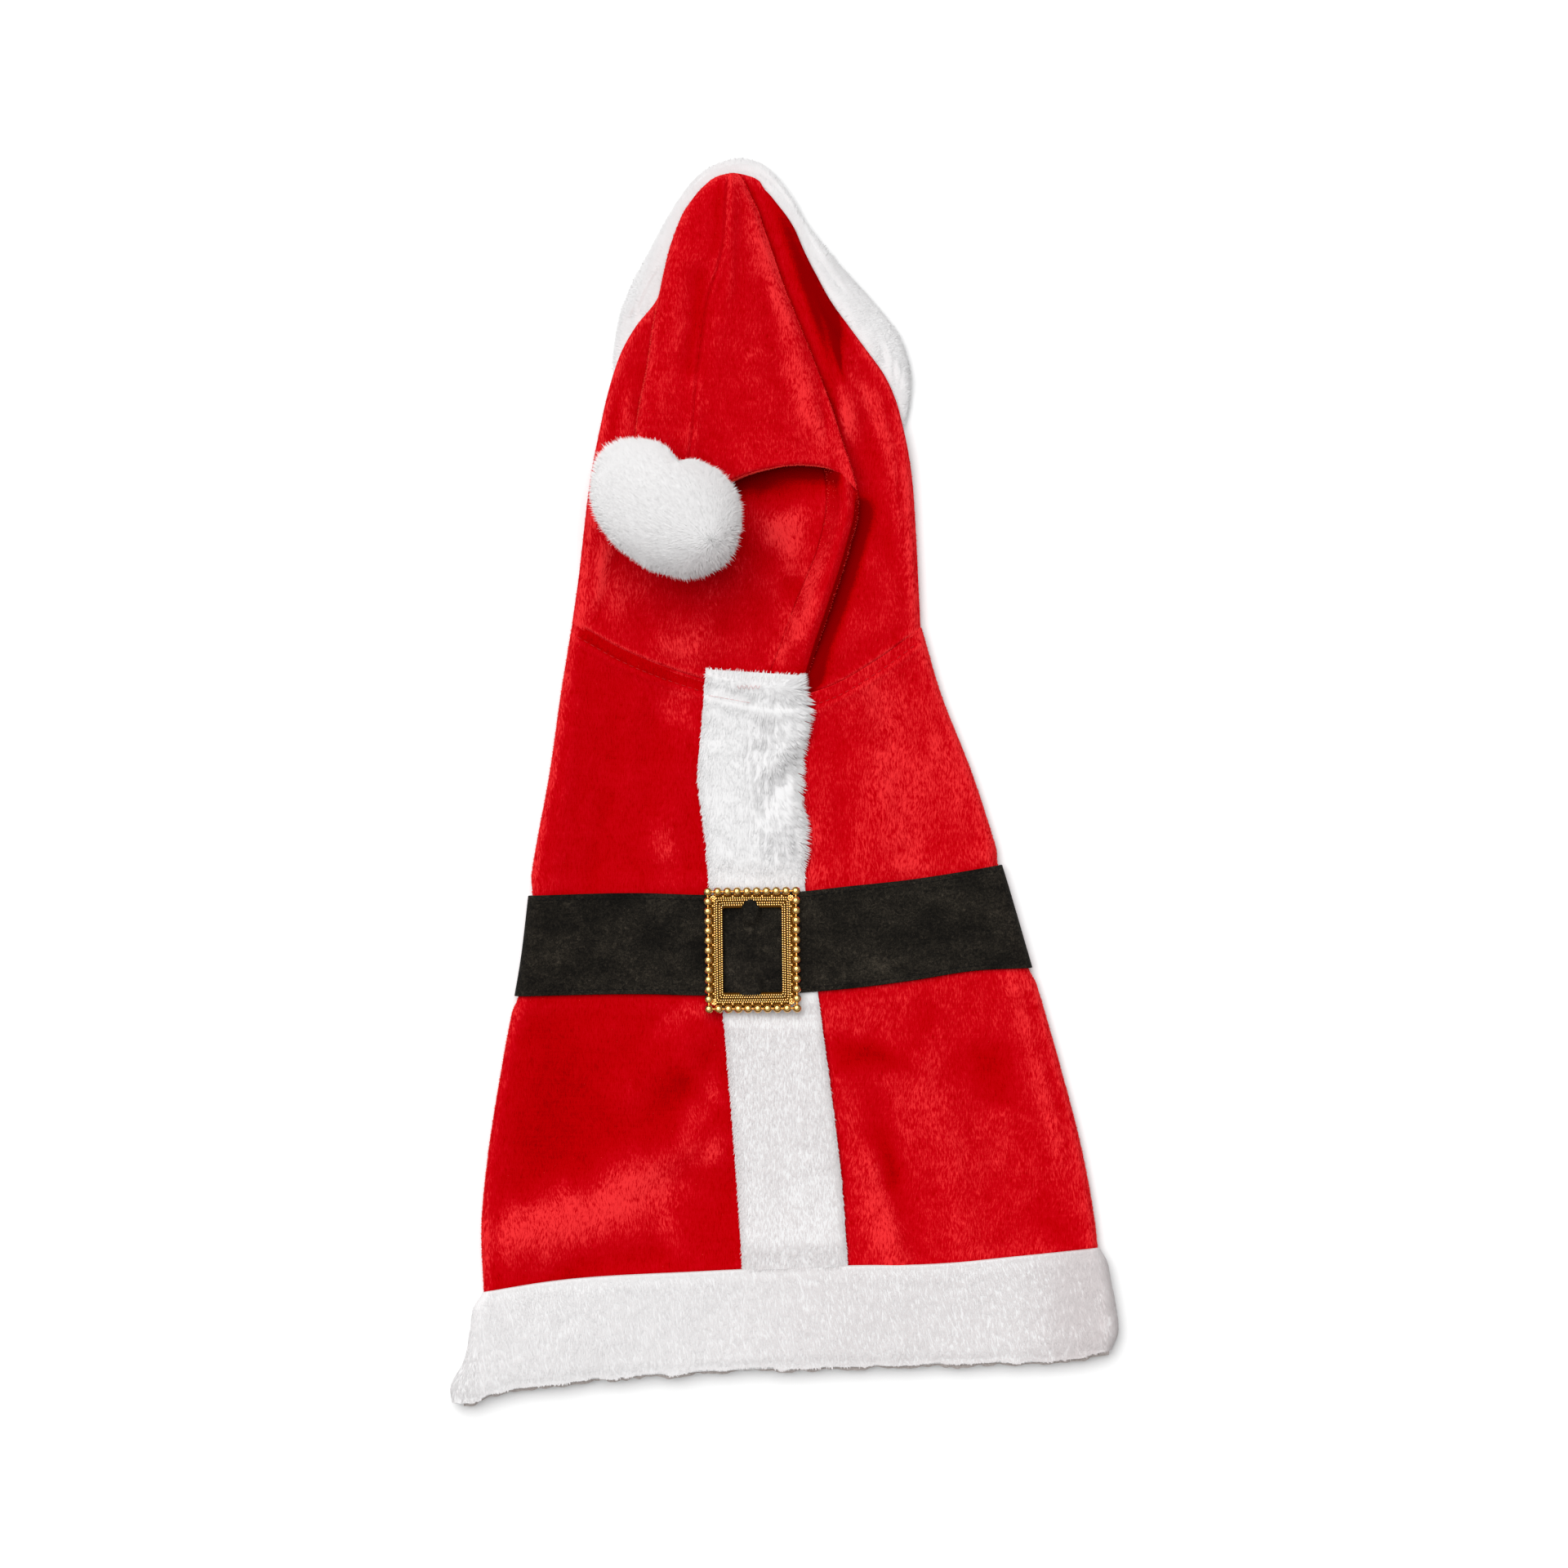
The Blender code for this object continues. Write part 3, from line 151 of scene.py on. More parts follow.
BELT_TOP = table(
    Across,
    (-105.1, -47.9), (-59.2, -46.9), (-33.7, -47.6), (7.5, -46.2), (25.5, -44.2), (52.4, -41.3),
    (72.8, -38.2), (90.8, -35))
BELT_BOTTOM = table(
    Across,
    (-110.2, -89.4), (-55.1, -88.6), (-33.7, -89.1), (8.2, -87.8), (25.5, -86.4), (52.5, -83),
    (79.4, -78.8), (102.7, -77.6))
HEM_SEAM = table(
    Across,
    (-124.8, -212.8), (-99.3, -208.6), (-34.3, -204.2), (26.5, -201.8), (61.5, -201.2), (97.9, -197.9),
    (130.6, -194.5))
HEM_EDGE = table(
    Across,
    (-137.2, -258.2), (-128, -257.6), (-122.4, -255), (-99.3, -250.6), (-67, -247.4), (8.8, -243.6),
    (76.2, -241.6), (115.9, -240.2), (138, -235.6))
ARCH = table(
    Across,
    (-62, 121), (-57.8, 111.5), (-49.3, 107.4), (-39.1, 110.5), (-30.6, 117.8), (-21.4, 123.8),
    (-6.1, 129.2), (8.8, 130.8), (22.8, 127.4), (30.3, 120.4))
CROWN_SEAM = table(
    Across,
    (-23, 252), (-24.1, 237), (-25, 223), (-27.6, 212), (-32, 199), (-34.7, 182), (-36.7, 162),
    (-38.4, 141), (-42, 124), (-46.5, 106))
PLEAT = table(
    Pleat,
    (36, -9.5, 7.5, 0), (52, -3, 12, 3.2), (74, 5, 19.5, 6.4), (98, 14.5, 27, 8.6),
    (112, 17.5, 30.2, 9.2), (124, 17.5, 29, 8.4), (140, 13, 24, 5), (160, 6, 17, 2.4),
    (189, -5, 6, 1.2), (223, -17, -6.6, 0.8), (250, -22.5, -17.8, 0.5))
PLEAT_DROP = 3.4
DOME = table(
    Across,
    (-30, 249.3), (-27, 251), (-24, 251.9), (-19.7, 252.2), (-15.6, 251.4), (-11, 249.7),
    (-8, 247.4))
BODY_FOLDS = table(
    Fold,
    (-112, -192, -30, -148, 2.2, 15, 17), (-66, -132, -26, -98, 1.4, 9, 12),
    (-98, 10, -104, -40, 1.2, 8, 14), (-40, 20, -50, -30, 1, 10, 9), (30, 40, 44, -30, 1.7, 9, 12),
    (62, 34, 84, -20, 1.3, 10, 9), (34, -158, 48, -204, 1.6, 6, 7), (60, -120, 78, -200, 1.3, 10, 12),
    (98, -84, 116, -150, 1.2, 8, 9), (20, -100, 60, -112, 1.1, 9, 9))
HOOD_FOLDS = table(
    Fold,
    (13, 207, 27, 150, 2, 7, 2.6), (40, 172, 50, 100, 1.3, 9, 4), (-70, 168, -60, 128, 1.4, 5, 8),
    (-73, 98, -82, 72, 1.6, 3, 8), (-34, 62, -20, 92, 1.5, 10, 12), (-2, 108, 4, 86, 1.6, 9, 6))
# Smaller folds and dents that only the fine cloth has
BODY_CREASES = table(
    Fold,
    (-40, -118, -24, -134, 0.7, 5, 4), (-58, -172, -34, -158, -0.8, 7, 6),
    (-92, -206, -50, -196, -0.9, 8, 7), (-88, 40, -96, -10, 0.5, 4, 7), (-60, 44, -66, -6, 0.45, 7, 6),
    (-74, -8, -80, -44, -0.4, 6, 5), (46, 44, 58, -4, 0.6, 4, 5), (22, 16, 26, -38, -0.6, 6, 5),
    (70, 6, 80, -34, -0.5, 5, 6), (36, -104, 60, -112, -0.6, 5, 4), (104, -86, 120, -150, -0.5, 3, 3),
    (84, -112, 90, -134, -0.5, 9, 8), (40, -130, 46, -166, -0.6, 5, 5), (104, -176, 124, -196, -0.5, 9, 8),
    (-116, -104, -122, -176, 0.5, 3, 8))
HOOD_CREASES = table(
    Fold,
    (34, 150, 43, 96, -0.8, 5, 5), (-10, 122, 12, 118, -0.8, 9, 7), (-6, 84, 4, 60, 0.8, 5, 5),
    (-52, 58, -30, 52, 0.7, 7, 6), (-20, 96, -26, 62, -0.6, 7, 6), (38, 92, 48, 66, 0.5, 6, 5),
    (-66, 96, -60, 62, -0.5, 6, 6), (30, 196, 40, 168, -0.5, 4, 4))
CROWN_FOLDS = table(
    Fold,
    (-13, 243, 14, 150, 1.1, 6, 4.5), (-35, 210, -37, 172, -1.5, 4, 5), (-21, 244, -23, 204, 0.9, 2.4, 2.2),
    (-44, 214, -50, 150, 0.8, 6, 6), (-26, 196, -40, 140, 0.5, 5, 5), (-4, 190, 4, 146, -0.5, 7, 7),
    (10, 152, 26, 128, 0.8, 5, 5), (-18, 138, 6, 140, 0.6, 7, 6))
BELLY_CREASES = table(
    Fold,
    (-96, -190, -40, -160, 0.9, 9, 12), (60, -40, 84, -110, 0.7, 8, 10), (-20, -60, 6, -130, 0.6, 12, 9),
    (-80, -40, -92, -100, 0.8, 8, 9), (36, -150, 70, -190, 0.8, 9, 8), (-10, 48, -16, -6, 0.6, 9, 9))
# Where the pile is brushed up so that it looks light, or down so that it looks dark, and patches of painted
# highlight on crests and painted shade in valleys beside folds. A turn is in degrees.
BODY_NAP_AND_SHADING = table(
    Patch,
    (-43, 33, 9, 8, 0, 0.4), (-49, -29, 6, 11, 12, 0.32), (-41, -97, 14, 5, 38, 0.36),
    (-36, -137, 5, 19, -26, 0.44), (-31, -156, 8, 5, 15, 0.5), (-87, -181, 40, 13, 17, 0.8),
    (-55, -170, 15, 14, 0, 0.4), (-47, -188, 6, 8, 20, 0.3), (-47, -126, 13, 11, 20, -0.14),
    (-97, -130, 24, 40, 0, -0.12), (-60, -200, 34, 6, 4, 0.06), (18, 17, 10, 20, -12, -0.06),
    (42, 27, 6, 21, 16, 0.34), (52, -4, 12, 22, 6, 0.26), (53, -28, 7, 11, 0, 0.24),
    (11, -29, 4, 18, 6, 0.3), (30, -30, 4, 13, 0, 0.14), (68, 2, 7, 16, 26, 0.2),
    (38, -115, 17, 6, -5, -0.5), (57, -99, 4, 11, -30, -0.26), (40, -152, 6, 30, 18, -0.3),
    (40, -181, 8, 16, 22, 0.28), (53, -134, 12, 16, 0, 0.12), (85, -152, 12, 18, 0, 0.1),
    (85, -119, 13, 12, 0, -0.34), (114, -185, 12, 8, 0, -0.2), (30, -142, 5, 12, 10, 0.16))
HOOD_NAP_AND_SHADING = table(
    Patch,
    (-44, 55, 9, 10, -20, 0.34), (34, 164, 4, 16, 18, 0.42), (43, 143, 5, 18, 10, 0.26),
    (27, 186, 3, 18, 20, -0.22), (0, 104, 9, 12, -34, 0.6), (-68, 80, 10, 14, 0, 0.34),
    (19.5, 186, 1.2, 22, 16, -0.4), (10.5, 78, 3.2, 24, -23, 0.5), (-2, 54, 4, 5, 0, 0.36),
    (-75, 85, 2.4, 13, -14, 0.36), (35, 65, 9, 8, 0, 0.16), (-20, 58, 14, 6, 0, 0.1),
    (50, 110, 5, 24, 4, 0.1))
CROWN_NAP_AND_SHADING = table(
    Patch,
    (-4, 208, 4, 24, 13, 0.28), (4, 162, 5, 19, 9, 0.46), (15, 139, 5, 8, 20, 0.28),
    (-35, 190, 4, 17, -6, -0.24), (-14, 176, 12, 2.4, -16, 0.1), (-45, 180, 4, 30, -8, 0.1),
    (-41, 143, 6, 6, 0, 0.14))
RING = table(
    Across,
    (-20.4, 258.7), (-8, 256), (1.7, 245), (9.5, 231.5), (20.5, 217.5), (37, 199.5), (47.6, 185.5),
    (52.4, 169), (50.6, 149), (43, 122), (29.5, 92), (7, 68.5), (-15.3, 62), (-37, 68),
    (-57.5, 92), (-67, 122), (-71.2, 150), (-70.9, 176), (-68, 194), (-62.5, 208),
    (-55.5, 221), (-46, 238.5), (-34.5, 253))


def smooth(t):
    """Eases from 0 to 1 while t goes from 0 to 1: 3t squared less 2t cubed."""
    t = np.clip(t, 0.0, 1.0)
    return t * t * (3 - 2 * t)


def mix(a, b, t):
    return a + (b - a) * t


def bell(distance, width):
    """1 at no distance, falling away over width as a bell curve."""
    return np.exp(-((distance / width) ** 2))


def curve(table, along, value):
    """A smooth curve through a table's rows, in cubic spans, that runs on straight past its ends."""
    rows = sorted(table, key=lambda row: getattr(row, along))
    knots = np.array([getattr(row, along) for row in rows], float)
    values = np.array([getattr(row, value) for row in rows], float)
    slopes = np.gradient(values, knots)

    def at(place):
        place = np.asarray(place, float)
        inside = np.clip(place, knots[0], knots[-1])
        k = np.clip(np.searchsorted(knots, inside) - 1, 0, len(knots) - 2)
        span = knots[k + 1] - knots[k]
        t = (inside - knots[k]) / span
        start = values[k] * (1 + 2 * t) * (1 - t) ** 2 + slopes[k] * span * t * (1 - t) ** 2
        end = values[k + 1] * t * t * (3 - 2 * t) + slopes[k + 1] * span * t * t * (t - 1)
        end_slope = np.where(place < knots[0], slopes[0], slopes[-1])
        return start + end + (place - inside) * end_slope

    return at


body_left, body_right = curve(BODY, "y", "left"), curve(BODY, "y", "right")
hood_left_edge, hood_right_edge = curve(HOOD, "y", "left"), curve(HOOD, "y", "right")
strip_left, strip_right = curve(STRIP, "y", "left"), curve(STRIP, "y", "right")
crown_left_edge, crown_right_edge = curve(CROWN, "y", "left"), curve(CROWN, "y", "right")
hem_left, hem_right = curve(HEM_SIDES, "y", "left"), curve(HEM_SIDES, "y", "right")
neck_y, throat_y = curve(NECK_SEAM, "x", "y"), curve(THROAT_SEAM, "x", "y")
belt_top_y, belt_bottom_y = curve(BELT_TOP, "x", "y"), curve(BELT_BOTTOM, "x", "y")
hem_seam_y, hem_edge_y = curve(HEM_SEAM, "x", "y"), curve(HEM_EDGE, "x", "y")
arch_y, crown_seam_x = curve(ARCH, "x", "y"), curve(CROWN_SEAM, "y", "x")
pleat_valley, pleat_edge = curve(PLEAT, "y", "valley"), curve(PLEAT, "y", "edge")
pleat_height = curve(PLEAT, "y", "height")
dome_y = curve(DOME, "x", "y")


def hashed(cell, seed):
    """A value from 0 to 1 for each cell of a lattice, that looks random and is always the same."""
    return np.modf(np.abs(np.sin(cell @ np.array([127.1, 311.7, 74.7]) + seed * 13.7) * 43758.5453))[0]


def noise(points, size, seed=0):
    """Soft random values from -1 to 1 that change over about size: values hashed at a lattice's corners,
    eased between them."""
    points = np.asarray(points, float) / size
    cell = np.floor(points)
    part = smooth(points - cell)
    total = 0.0
    for corner in product((0.0, 1.0), repeat=3):
        share = np.prod(np.where(np.array(corner) > 0, part, 1 - part), axis=-1)
        total = total + share * hashed(cell + corner, seed)
    return total * 2 - 1


def flat_noise(x, y, size, seed=0):
    """Soft noise over the plane."""
    x, y = np.broadcast_arrays(x, y)
    return noise(np.stack([x, y, np.zeros_like(x)], axis=-1), size, seed)


def fold_height(x, y, folds):
    """Height that straight soft folds add at (x, y): a bell across each fold, eased off past its two
    ends."""
    total = 0.0
    for fold in folds:
        along_x, along_y = fold.x1 - fold.x0, fold.y1 - fold.y0
        length = math.hypot(along_x, along_y)
        t = ((x - fold.x0) * along_x + (y - fold.y0) * along_y) / length**2
        aside = ((x - fold.x0) * along_y - (y - fold.y0) * along_x) / length
        spread = np.where(aside * -math.copysign(1, along_y) > 0, fold.right, fold.left)
        ends = smooth(t * 3 + 0.75) * smooth((1 - t) * 3 + 0.75)
        total = total + fold.height * ends * bell(aside, spread)
    return total


def brushed(x, y, patches, base):
    """How light the pile looks at (x, y): a base value and a bell-shaped hill or hollow for each patch, its
    rim broken up by noise."""
    wander_x = x + 2.6 * flat_noise(x, y, 10, 3) + 0.5 * flat_noise(x, y, 3.5, 4)
    wander_y = y + 4.0 * flat_noise(x, y, 12, 5) + 1.0 * flat_noise(x, y, 5, 6)
    total = base + 0.0 * x
    for patch in patches:
        c, s = math.cos(math.radians(patch.turn)), math.sin(math.radians(patch.turn))
        dx, dy = wander_x - patch.x, wander_y - patch.y
        reach = ((dx * c + dy * s) / patch.half_x) ** 2 + ((dy * c - dx * s) / patch.half_y) ** 2
        total = total + patch.nap * np.exp(-(reach**1.15))
    return total


def painted_relief_shading(grid, gain=0.5, most=0.3, passes=14):
    """Painted light on crests and painted shade in hollows, where the cloth faces up: how far its height
    stands over the same heights blurred, times a gain."""
    height = grid[..., 2]
    soft = height
    for _ in range(passes):
        near = np.pad(soft, 1, "edge")
        soft = (near[:-2, 1:-1] + near[2:, 1:-1] + near[1:-1, :-2] + near[1:-1, 2:] + 2 * soft) / 6
    return np.clip((height - soft) * gain, -most, most) * smooth((grid_normals(grid, 1)[..., 2] - 0.6) / 0.3)


def level(y, low):
    """Height at y of what lies low over the body. It rises to the hem, to the neck and onto the hood."""
    height = mix(low, HEM_TOP, smooth((HEM_RISE.start - y) / HEM_RISE.over))
    height = mix(height, NECK_TOP, smooth((y - NECK_RISE.start) / NECK_RISE.over))
    return mix(height, HOOD_TOP, smooth((y - HOOD_RISE.start) / HOOD_RISE.over))


def edge_height(y):
    return level(y, BODY_EDGE)


def from_edge(x, y, left, right):
    """How far (x, y) lies inside the top of the nearer side fold."""
    return np.minimum(x - left, right - x) - edge_height(y) / 2


def lie_height(x, y, left, right):
    """Top of the cloth that lies between two side folds, before its own folds are added."""
    roll = bell(np.maximum(from_edge(x, y, left, right), 0), EDGE_ROLL)
    return mix(level(y, BODY_LOW), edge_height(y), roll)


def back_height(x, y):
    """Top of the back panel: its lie and folds, the band along the neck seam that a row of stitches holds
    down, and a soft puff beside the belt."""
    left, right = body_left(y), body_right(y)
    inward = from_edge(x, y, left, right)
    inside = smooth(inward / 8)
    height = lie_height(x, y, left, right) + fold_height(x, y, BODY_FOLDS) * inside
    away = np.hypot((x - BUCKLE_AT[0]) / 1.25, y - BUCKLE_AT[1]) / FLAT_REACH
    height = mix(FLAT_LEVEL, height, smooth(away * 2.4 - 1.4))
    height = height + fold_height(x, y, BODY_CREASES) * smooth(inward / 5) * smooth(away * 2.4 - 1.4)
    below = neck_y(x) - y
    height = height - 0.5 * smooth((5.2 - below) / 1.6) - 0.4 * bell(below - 4.9, 0.7)
    height = height + 0.35 * bell(below - 7.2, 1.8)
    belt = np.maximum(y - belt_top_y(x), belt_bottom_y(x) - y)
    height = height + 0.55 * bell(belt - 5.5, 4.5) * (0.7 + 0.6 * flat_noise(x, y, 17, 8))
    uneven = 0.22 * flat_noise(x, y, 21, 1) + 0.1 * flat_noise(x, y, 8, 2)
    return height + uneven * inside * smooth(belt / 4)


def pleat_climb(x, y):
    """Height of the rolled pleat up to its crest, and on past it as if it never dropped off. Near the neck
    seam it stands a third higher than the plain solid."""
    valley, edge = pleat_valley(y), pleat_edge(y)
    share = np.clip((x - valley) / (edge - valley - 1), 0, 1)
    return pleat_height(y) * (1 + 0.35 * bell(y - 60, 24)) * np.sin(share * math.pi / 2) ** 0.8


def pleat_rise(x, y):
    """Height of the rolled pleat: it climbs from its crease to a crest and drops off at its right edge."""
    drop = 1 - smooth((x - pleat_edge(y) + PLEAT_DROP / 2) / PLEAT_DROP)
    return pleat_climb(x, y) * drop


def hood_lie(x, y):
    return lie_height(x, y, hood_left_edge(y), hood_right_edge(y))


def hood_folds(x, y):
    """Height that the main soft folds add to the hood back. They fade out before its side folds."""
    inward = from_edge(x, y, hood_left_edge(y), hood_right_edge(y))
    return fold_height(x, y, HOOD_FOLDS) * smooth(inward / 6)


def hood_height(x, y):
    """Top of the hood back with its pleat, folds and creases, pinched in at the neck seam and along the
    centre seam, where a narrow ridge stands on the seam's left."""
    inward = from_edge(x, y, hood_left_edge(y), hood_right_edge(y))
    above = y - neck_y(x)
    height = hood_lie(x, y) + hood_folds(x, y) + pleat_rise(x, y)
    height = height + fold_height(x, y, HOOD_CREASES) * smooth(inward / 5)
    height = height - 0.7 * bell(above, 0.8) + 0.3 * bell(above - 1.8, 1.4)
    beside = x - pleat_valley(y)
    height = height - 0.25 * bell(beside, 0.7)
    return height + (0.2 * flat_noise(x, y, 19, 11) + 0.1 * flat_noise(x, y, 8, 12)) * smooth(inward / 6)


def hood_cover(x, y):
    """Height that clears the hood back, level past the pleat's crest, for what lies on it."""
    return hood_lie(x, y) + hood_folds(x, y) + pleat_climb(x, y) + CROWN_GAP


# Meshes

PLAIN_NAP = 0.3
INSIDE_NAP = 0.12
# Painted rim highlight: how much lighter each sheet's rolled rim is painted than the sheet beside it
PAINTED_RIM_LIGHT = 0.25


def unit(vectors):
    return vectors / np.maximum(np.linalg.norm(vectors, axis=-1, keepdims=True), 1e-9)


def grid_normals(grid, up):
    """Unit normals of a grid of points: the cross product of its steps along and across. up, 1 or -1, is
    the side of the floor's plane that most of them face."""
    normal = np.cross(np.gradient(grid, axis=0), np.gradient(grid, axis=1))
    facing = np.sign(normal[..., 2].sum()) * up
    return unit(normal) * (facing if facing else 1)


def grid_quads(rows, columns, around=False, ring=False):
    """Quads of a grid of points. around joins its last column to its first one, and ring its last row to
    its first one."""
    i = np.arange(rows if ring else rows - 1)[:, None]
    j = np.arange(columns if around else columns - 1)[None, :]
    beside, below = (j + 1) % columns, (i + 1) % rows
    quads = [i * columns + j, i * columns + beside, below * columns + beside, below * columns + j]
    return np.stack(quads, axis=-1).reshape(-1, 4)


def cell_means(values):
    """One value for each cell of a grid: the mean of two opposite corners."""
    return (values[:-1, :-1] + values[1:, 1:]) / 2


def placed(name, data):
    """A new object in the scene."""
    made = bpy.data.objects.new(name, data)
    bpy.context.scene.collection.objects.link(made)
    return made


def mesh_piece(name, points, faces, finish, values=None, sharp=None, outward=True):
    """One object from points in millimetres. values are kept on the points for its material."""
    mesh = bpy.data.meshes.new(name)
    mesh.from_pydata((np.asarray(points) * MM).tolist(), [], faces)
    if outward:
        shape = bmesh.new()
        shape.from_mesh(mesh)
        bmesh.ops.recalc_face_normals(shape, faces=shape.faces)
        shape.to_mesh(mesh)
        shape.free()
    mesh.materials.append(finish)
    mesh.shade_smooth()
    if sharp is not None:
        mesh.set_sharp_from_angle(angle=math.radians(sharp))
    made = placed(name, mesh)
    for key, value in (values or {}).items():
        keep_value(made, key, value)
    return made


def points_of(piece):
    """Where a piece's points are, in millimetres: x and y."""
    spots = np.empty(len(piece.data.vertices) * 3, np.float32)
    piece.data.vertices.foreach_get("co", spots)
    return spots[::3] / MM, spots[1::3] / MM


def keep_value(piece, name, values):
    """Keeps a value on each point of a piece, for its material."""
    kept = piece.data.attributes.new(name, "FLOAT", "POINT")
    kept.data.foreach_set("value", np.asarray(values, np.float32).reshape(-1))


def lift_normals(piece):
    """Light comes through a pile where the cloth turns away: shades the piece as if its steep sides faced
    more upwards, the steeper the more."""
    mesh = piece.data
    normals = np.empty(len(mesh.vertices) * 3, np.float32)
    mesh.vertex_normals.foreach_get("vector", normals)
    normals = normals.reshape(-1, 3)
    lift = 2.2 * smooth((0.75 - normals[:, 2]) / 0.75) * (normals[:, 2] > -0.35)
    mesh.normals_split_custom_set_from_vertices(unit(normals + np.outer(lift, (0, 0, 1))).tolist())


def wall_piece(name, outer, inner, finish, nap=None, bulge=0.4, around=False, rim_steps=3, sharp=50):
    """A sheet of cloth between two grids. Its rims are half rounds from one side to the other that swell
    out by bulge, and a sheet that goes all the way round has only its two ends."""
    rows, columns = outer.shape[:2]
    count = rows * columns
    index = np.arange(count).reshape(rows, columns)
    if around:
        rims = [index[0], index[-1][::-1]]
        within = [index[1], index[-2][::-1]]
    else:
        loop = np.concatenate([index[0], index[1:, -1], index[-1, -2::-1], index[-2:0:-1, 0]])
        i, j = np.unravel_index(loop, (rows, columns))
        rims = [loop]
        inward = np.clip(i, 1, rows - 2), np.clip(j, 1, columns - 2)
        within = [np.ravel_multi_index(inward, (rows, columns))]
    flat_outer, flat_inner = outer.reshape(-1, 3), inner.reshape(-1, 3)
    points = [flat_outer, flat_inner]
    light = np.full(count, PLAIN_NAP) if nap is None else np.asarray(nap, float).reshape(-1)
    values = [light, np.full(count, INSIDE_NAP)]
    quads = grid_quads(rows, columns, around)
    faces = [quads, (quads + count)[:, ::-1]]
    total = 2 * count
    for rim, inside in zip(rims, within):
        away = unit(flat_outer[rim] - flat_outer[inside])
        loops = [rim]
        for step in range(1, rim_steps + 1):
            turn = math.pi * step / (rim_steps + 1)
            ring = mix(flat_outer[rim], flat_inner[rim], (1 - math.cos(turn)) / 2)
            points.append(ring + away * bulge * math.sin(turn))
            # Painted rim highlight on the rounded rim
            values.append(light[rim] + PAINTED_RIM_LIGHT)
            loops.append(np.arange(total, total + len(rim)))
            total += len(rim)
        loops.append(rim + count)
        for near, far in zip(loops[:-1], loops[1:]):
            faces.append(np.stack([near, far, np.roll(far, -1), np.roll(near, -1)], axis=-1))
    made = mesh_piece(name, np.concatenate(points), np.concatenate(faces).tolist(), finish,
                      {"nap": np.concatenate(values)}, sharp)
    if nap is not None:
        lift_normals(made)
    return made


def scatter(grid, count, rng, weight):
    """Random places on a grid of points, even over its area times a weight for each cell: a cell by its
    area, then a random share of it each way. Gives the places and the surface's normals there."""
    a, b, c, d = grid[:-1, :-1], grid[:-1, 1:], grid[1:, 1:], grid[1:, :-1]
    area = np.linalg.norm(np.cross(c - a, d - b), axis=-1) / 2 * weight
    share = area.reshape(-1) / area.sum()
    cell = np.searchsorted(np.cumsum(share), rng.random(count) * 0.999999)
    i, j = np.unravel_index(cell, area.shape)
    s, t = rng.random((2, count, 1))

    def inside(values):
        near, far = mix(values[i, j], values[i, j + 1], t), mix(values[i + 1, j], values[i + 1, j + 1], t)
        return mix(near, far, s)

    return inside(grid), unit(inside(grid_normals(grid, 1)))


def drift(points, size, seed):
    """Soft random vectors that change over about size."""
    return np.stack([noise(points, size, seed + n) for n in range(3)], axis=-1)


def laid(vectors, normals):
    """The part of each vector that lies in its surface."""
    return vectors - normals * (vectors * normals).sum(axis=-1, keepdims=True)


def tuft_pull(points, normals, size, seed):
    """Where the middle of each hair's tuft lies from its root, in the surface: tufts are cells of a lattice
    with their middles moved about at random."""
    cell = np.floor(points / size)
    middle = np.stack([hashed(cell, seed + n) for n in range(3)], axis=-1) * 0.7 + 0.15
    return laid((cell + middle) * size - points, normals)


def blades(name, roots, normals, reach, width, bend, finish, shade, upturn=0.5, lift=0.6, floor=0.05):
    """Hairs as tapered blades of three triangles: an edge at the root, one half way that bends aside, and a
    tip. Their flat sides face outwards and, by upturn, upwards. Each is lit as the surface that it grows
    on, turned up by lift because light goes through white fur, so that it looks soft."""
    side = unit(np.cross(unit(reach), normals + [0.0, 0.0, upturn]) + 1e-5)
    side = side * np.reshape(width, (-1, 1)) / 2
    middle, tip = roots + reach * 0.52 + bend, roots + reach
    points = np.stack([roots - side, roots + side, middle + side * 0.85, middle - side * 0.85, tip], axis=1)
    points[..., 2] = np.maximum(points[..., 2], floor)
    first = np.arange(len(roots))[:, None] * 5
    faces = (first + [0, 1, 2, 3]).tolist() + (first + [3, 2, 4]).tolist()
    # Painted shade: each hair is painted darker towards its root, for the shade deep in the fur, and by its
    # shade value.
    tone = np.outer(shade, (0.65, 0.65, 0.85, 0.85, 1.0))
    made = mesh_piece(name, points.reshape(-1, 3), faces, finish, {"tone": tone}, outward=False)
    soft = unit(normals + 0.16 * unit(reach) + np.multiply(lift, UP))
    made.data.normals_split_custom_set_from_vertices(np.repeat(soft, 5, axis=0).tolist())
    return made


def fuzz(name, grid, count, seed, finish):
    """The velour's own pile where the cloth turns away and its fibres stand against what lies behind it:
    short red hairs, more of them the steeper the cloth is."""
    steep = cell_means(grid_normals(grid, 1)[..., 2])
    rng = np.random.default_rng(seed)
    places, normals = scatter(grid, count, rng, 0.0005 + smooth((0.7 - steep) / 0.5))
    heading = unit(normals * 0.75 + [0.0, -0.5, 0.15] + rng.normal(size=places.shape) * 0.3)
    length = (0.45 + 0.4 * rng.random(count))[:, None]
    width = 0.2 + 0.1 * rng.random(count)
    shade = 0.2 + 0.8 * rng.random(count)
    roots = places - normals * 0.2
    hair = blades(name, roots, normals, heading * length, width, 0.0, finish, shade, lift=2.2)
    return sheathe(hair, None, "velour")


def stitch_row(x, y, height, stitch):
    """Starts and ends of stitches through the given places: each runs along the row for a share of the
    pitch. A place that isn't a number leaves a gap."""
    line = np.stack([x, y, height], axis=-1)
    starts, ends = line[:-1], mix(line[:-1], line[1:], stitch)
    keep = ~np.isnan(starts[:, 0] + ends[:, 0])
    return starts[keep], ends[keep]


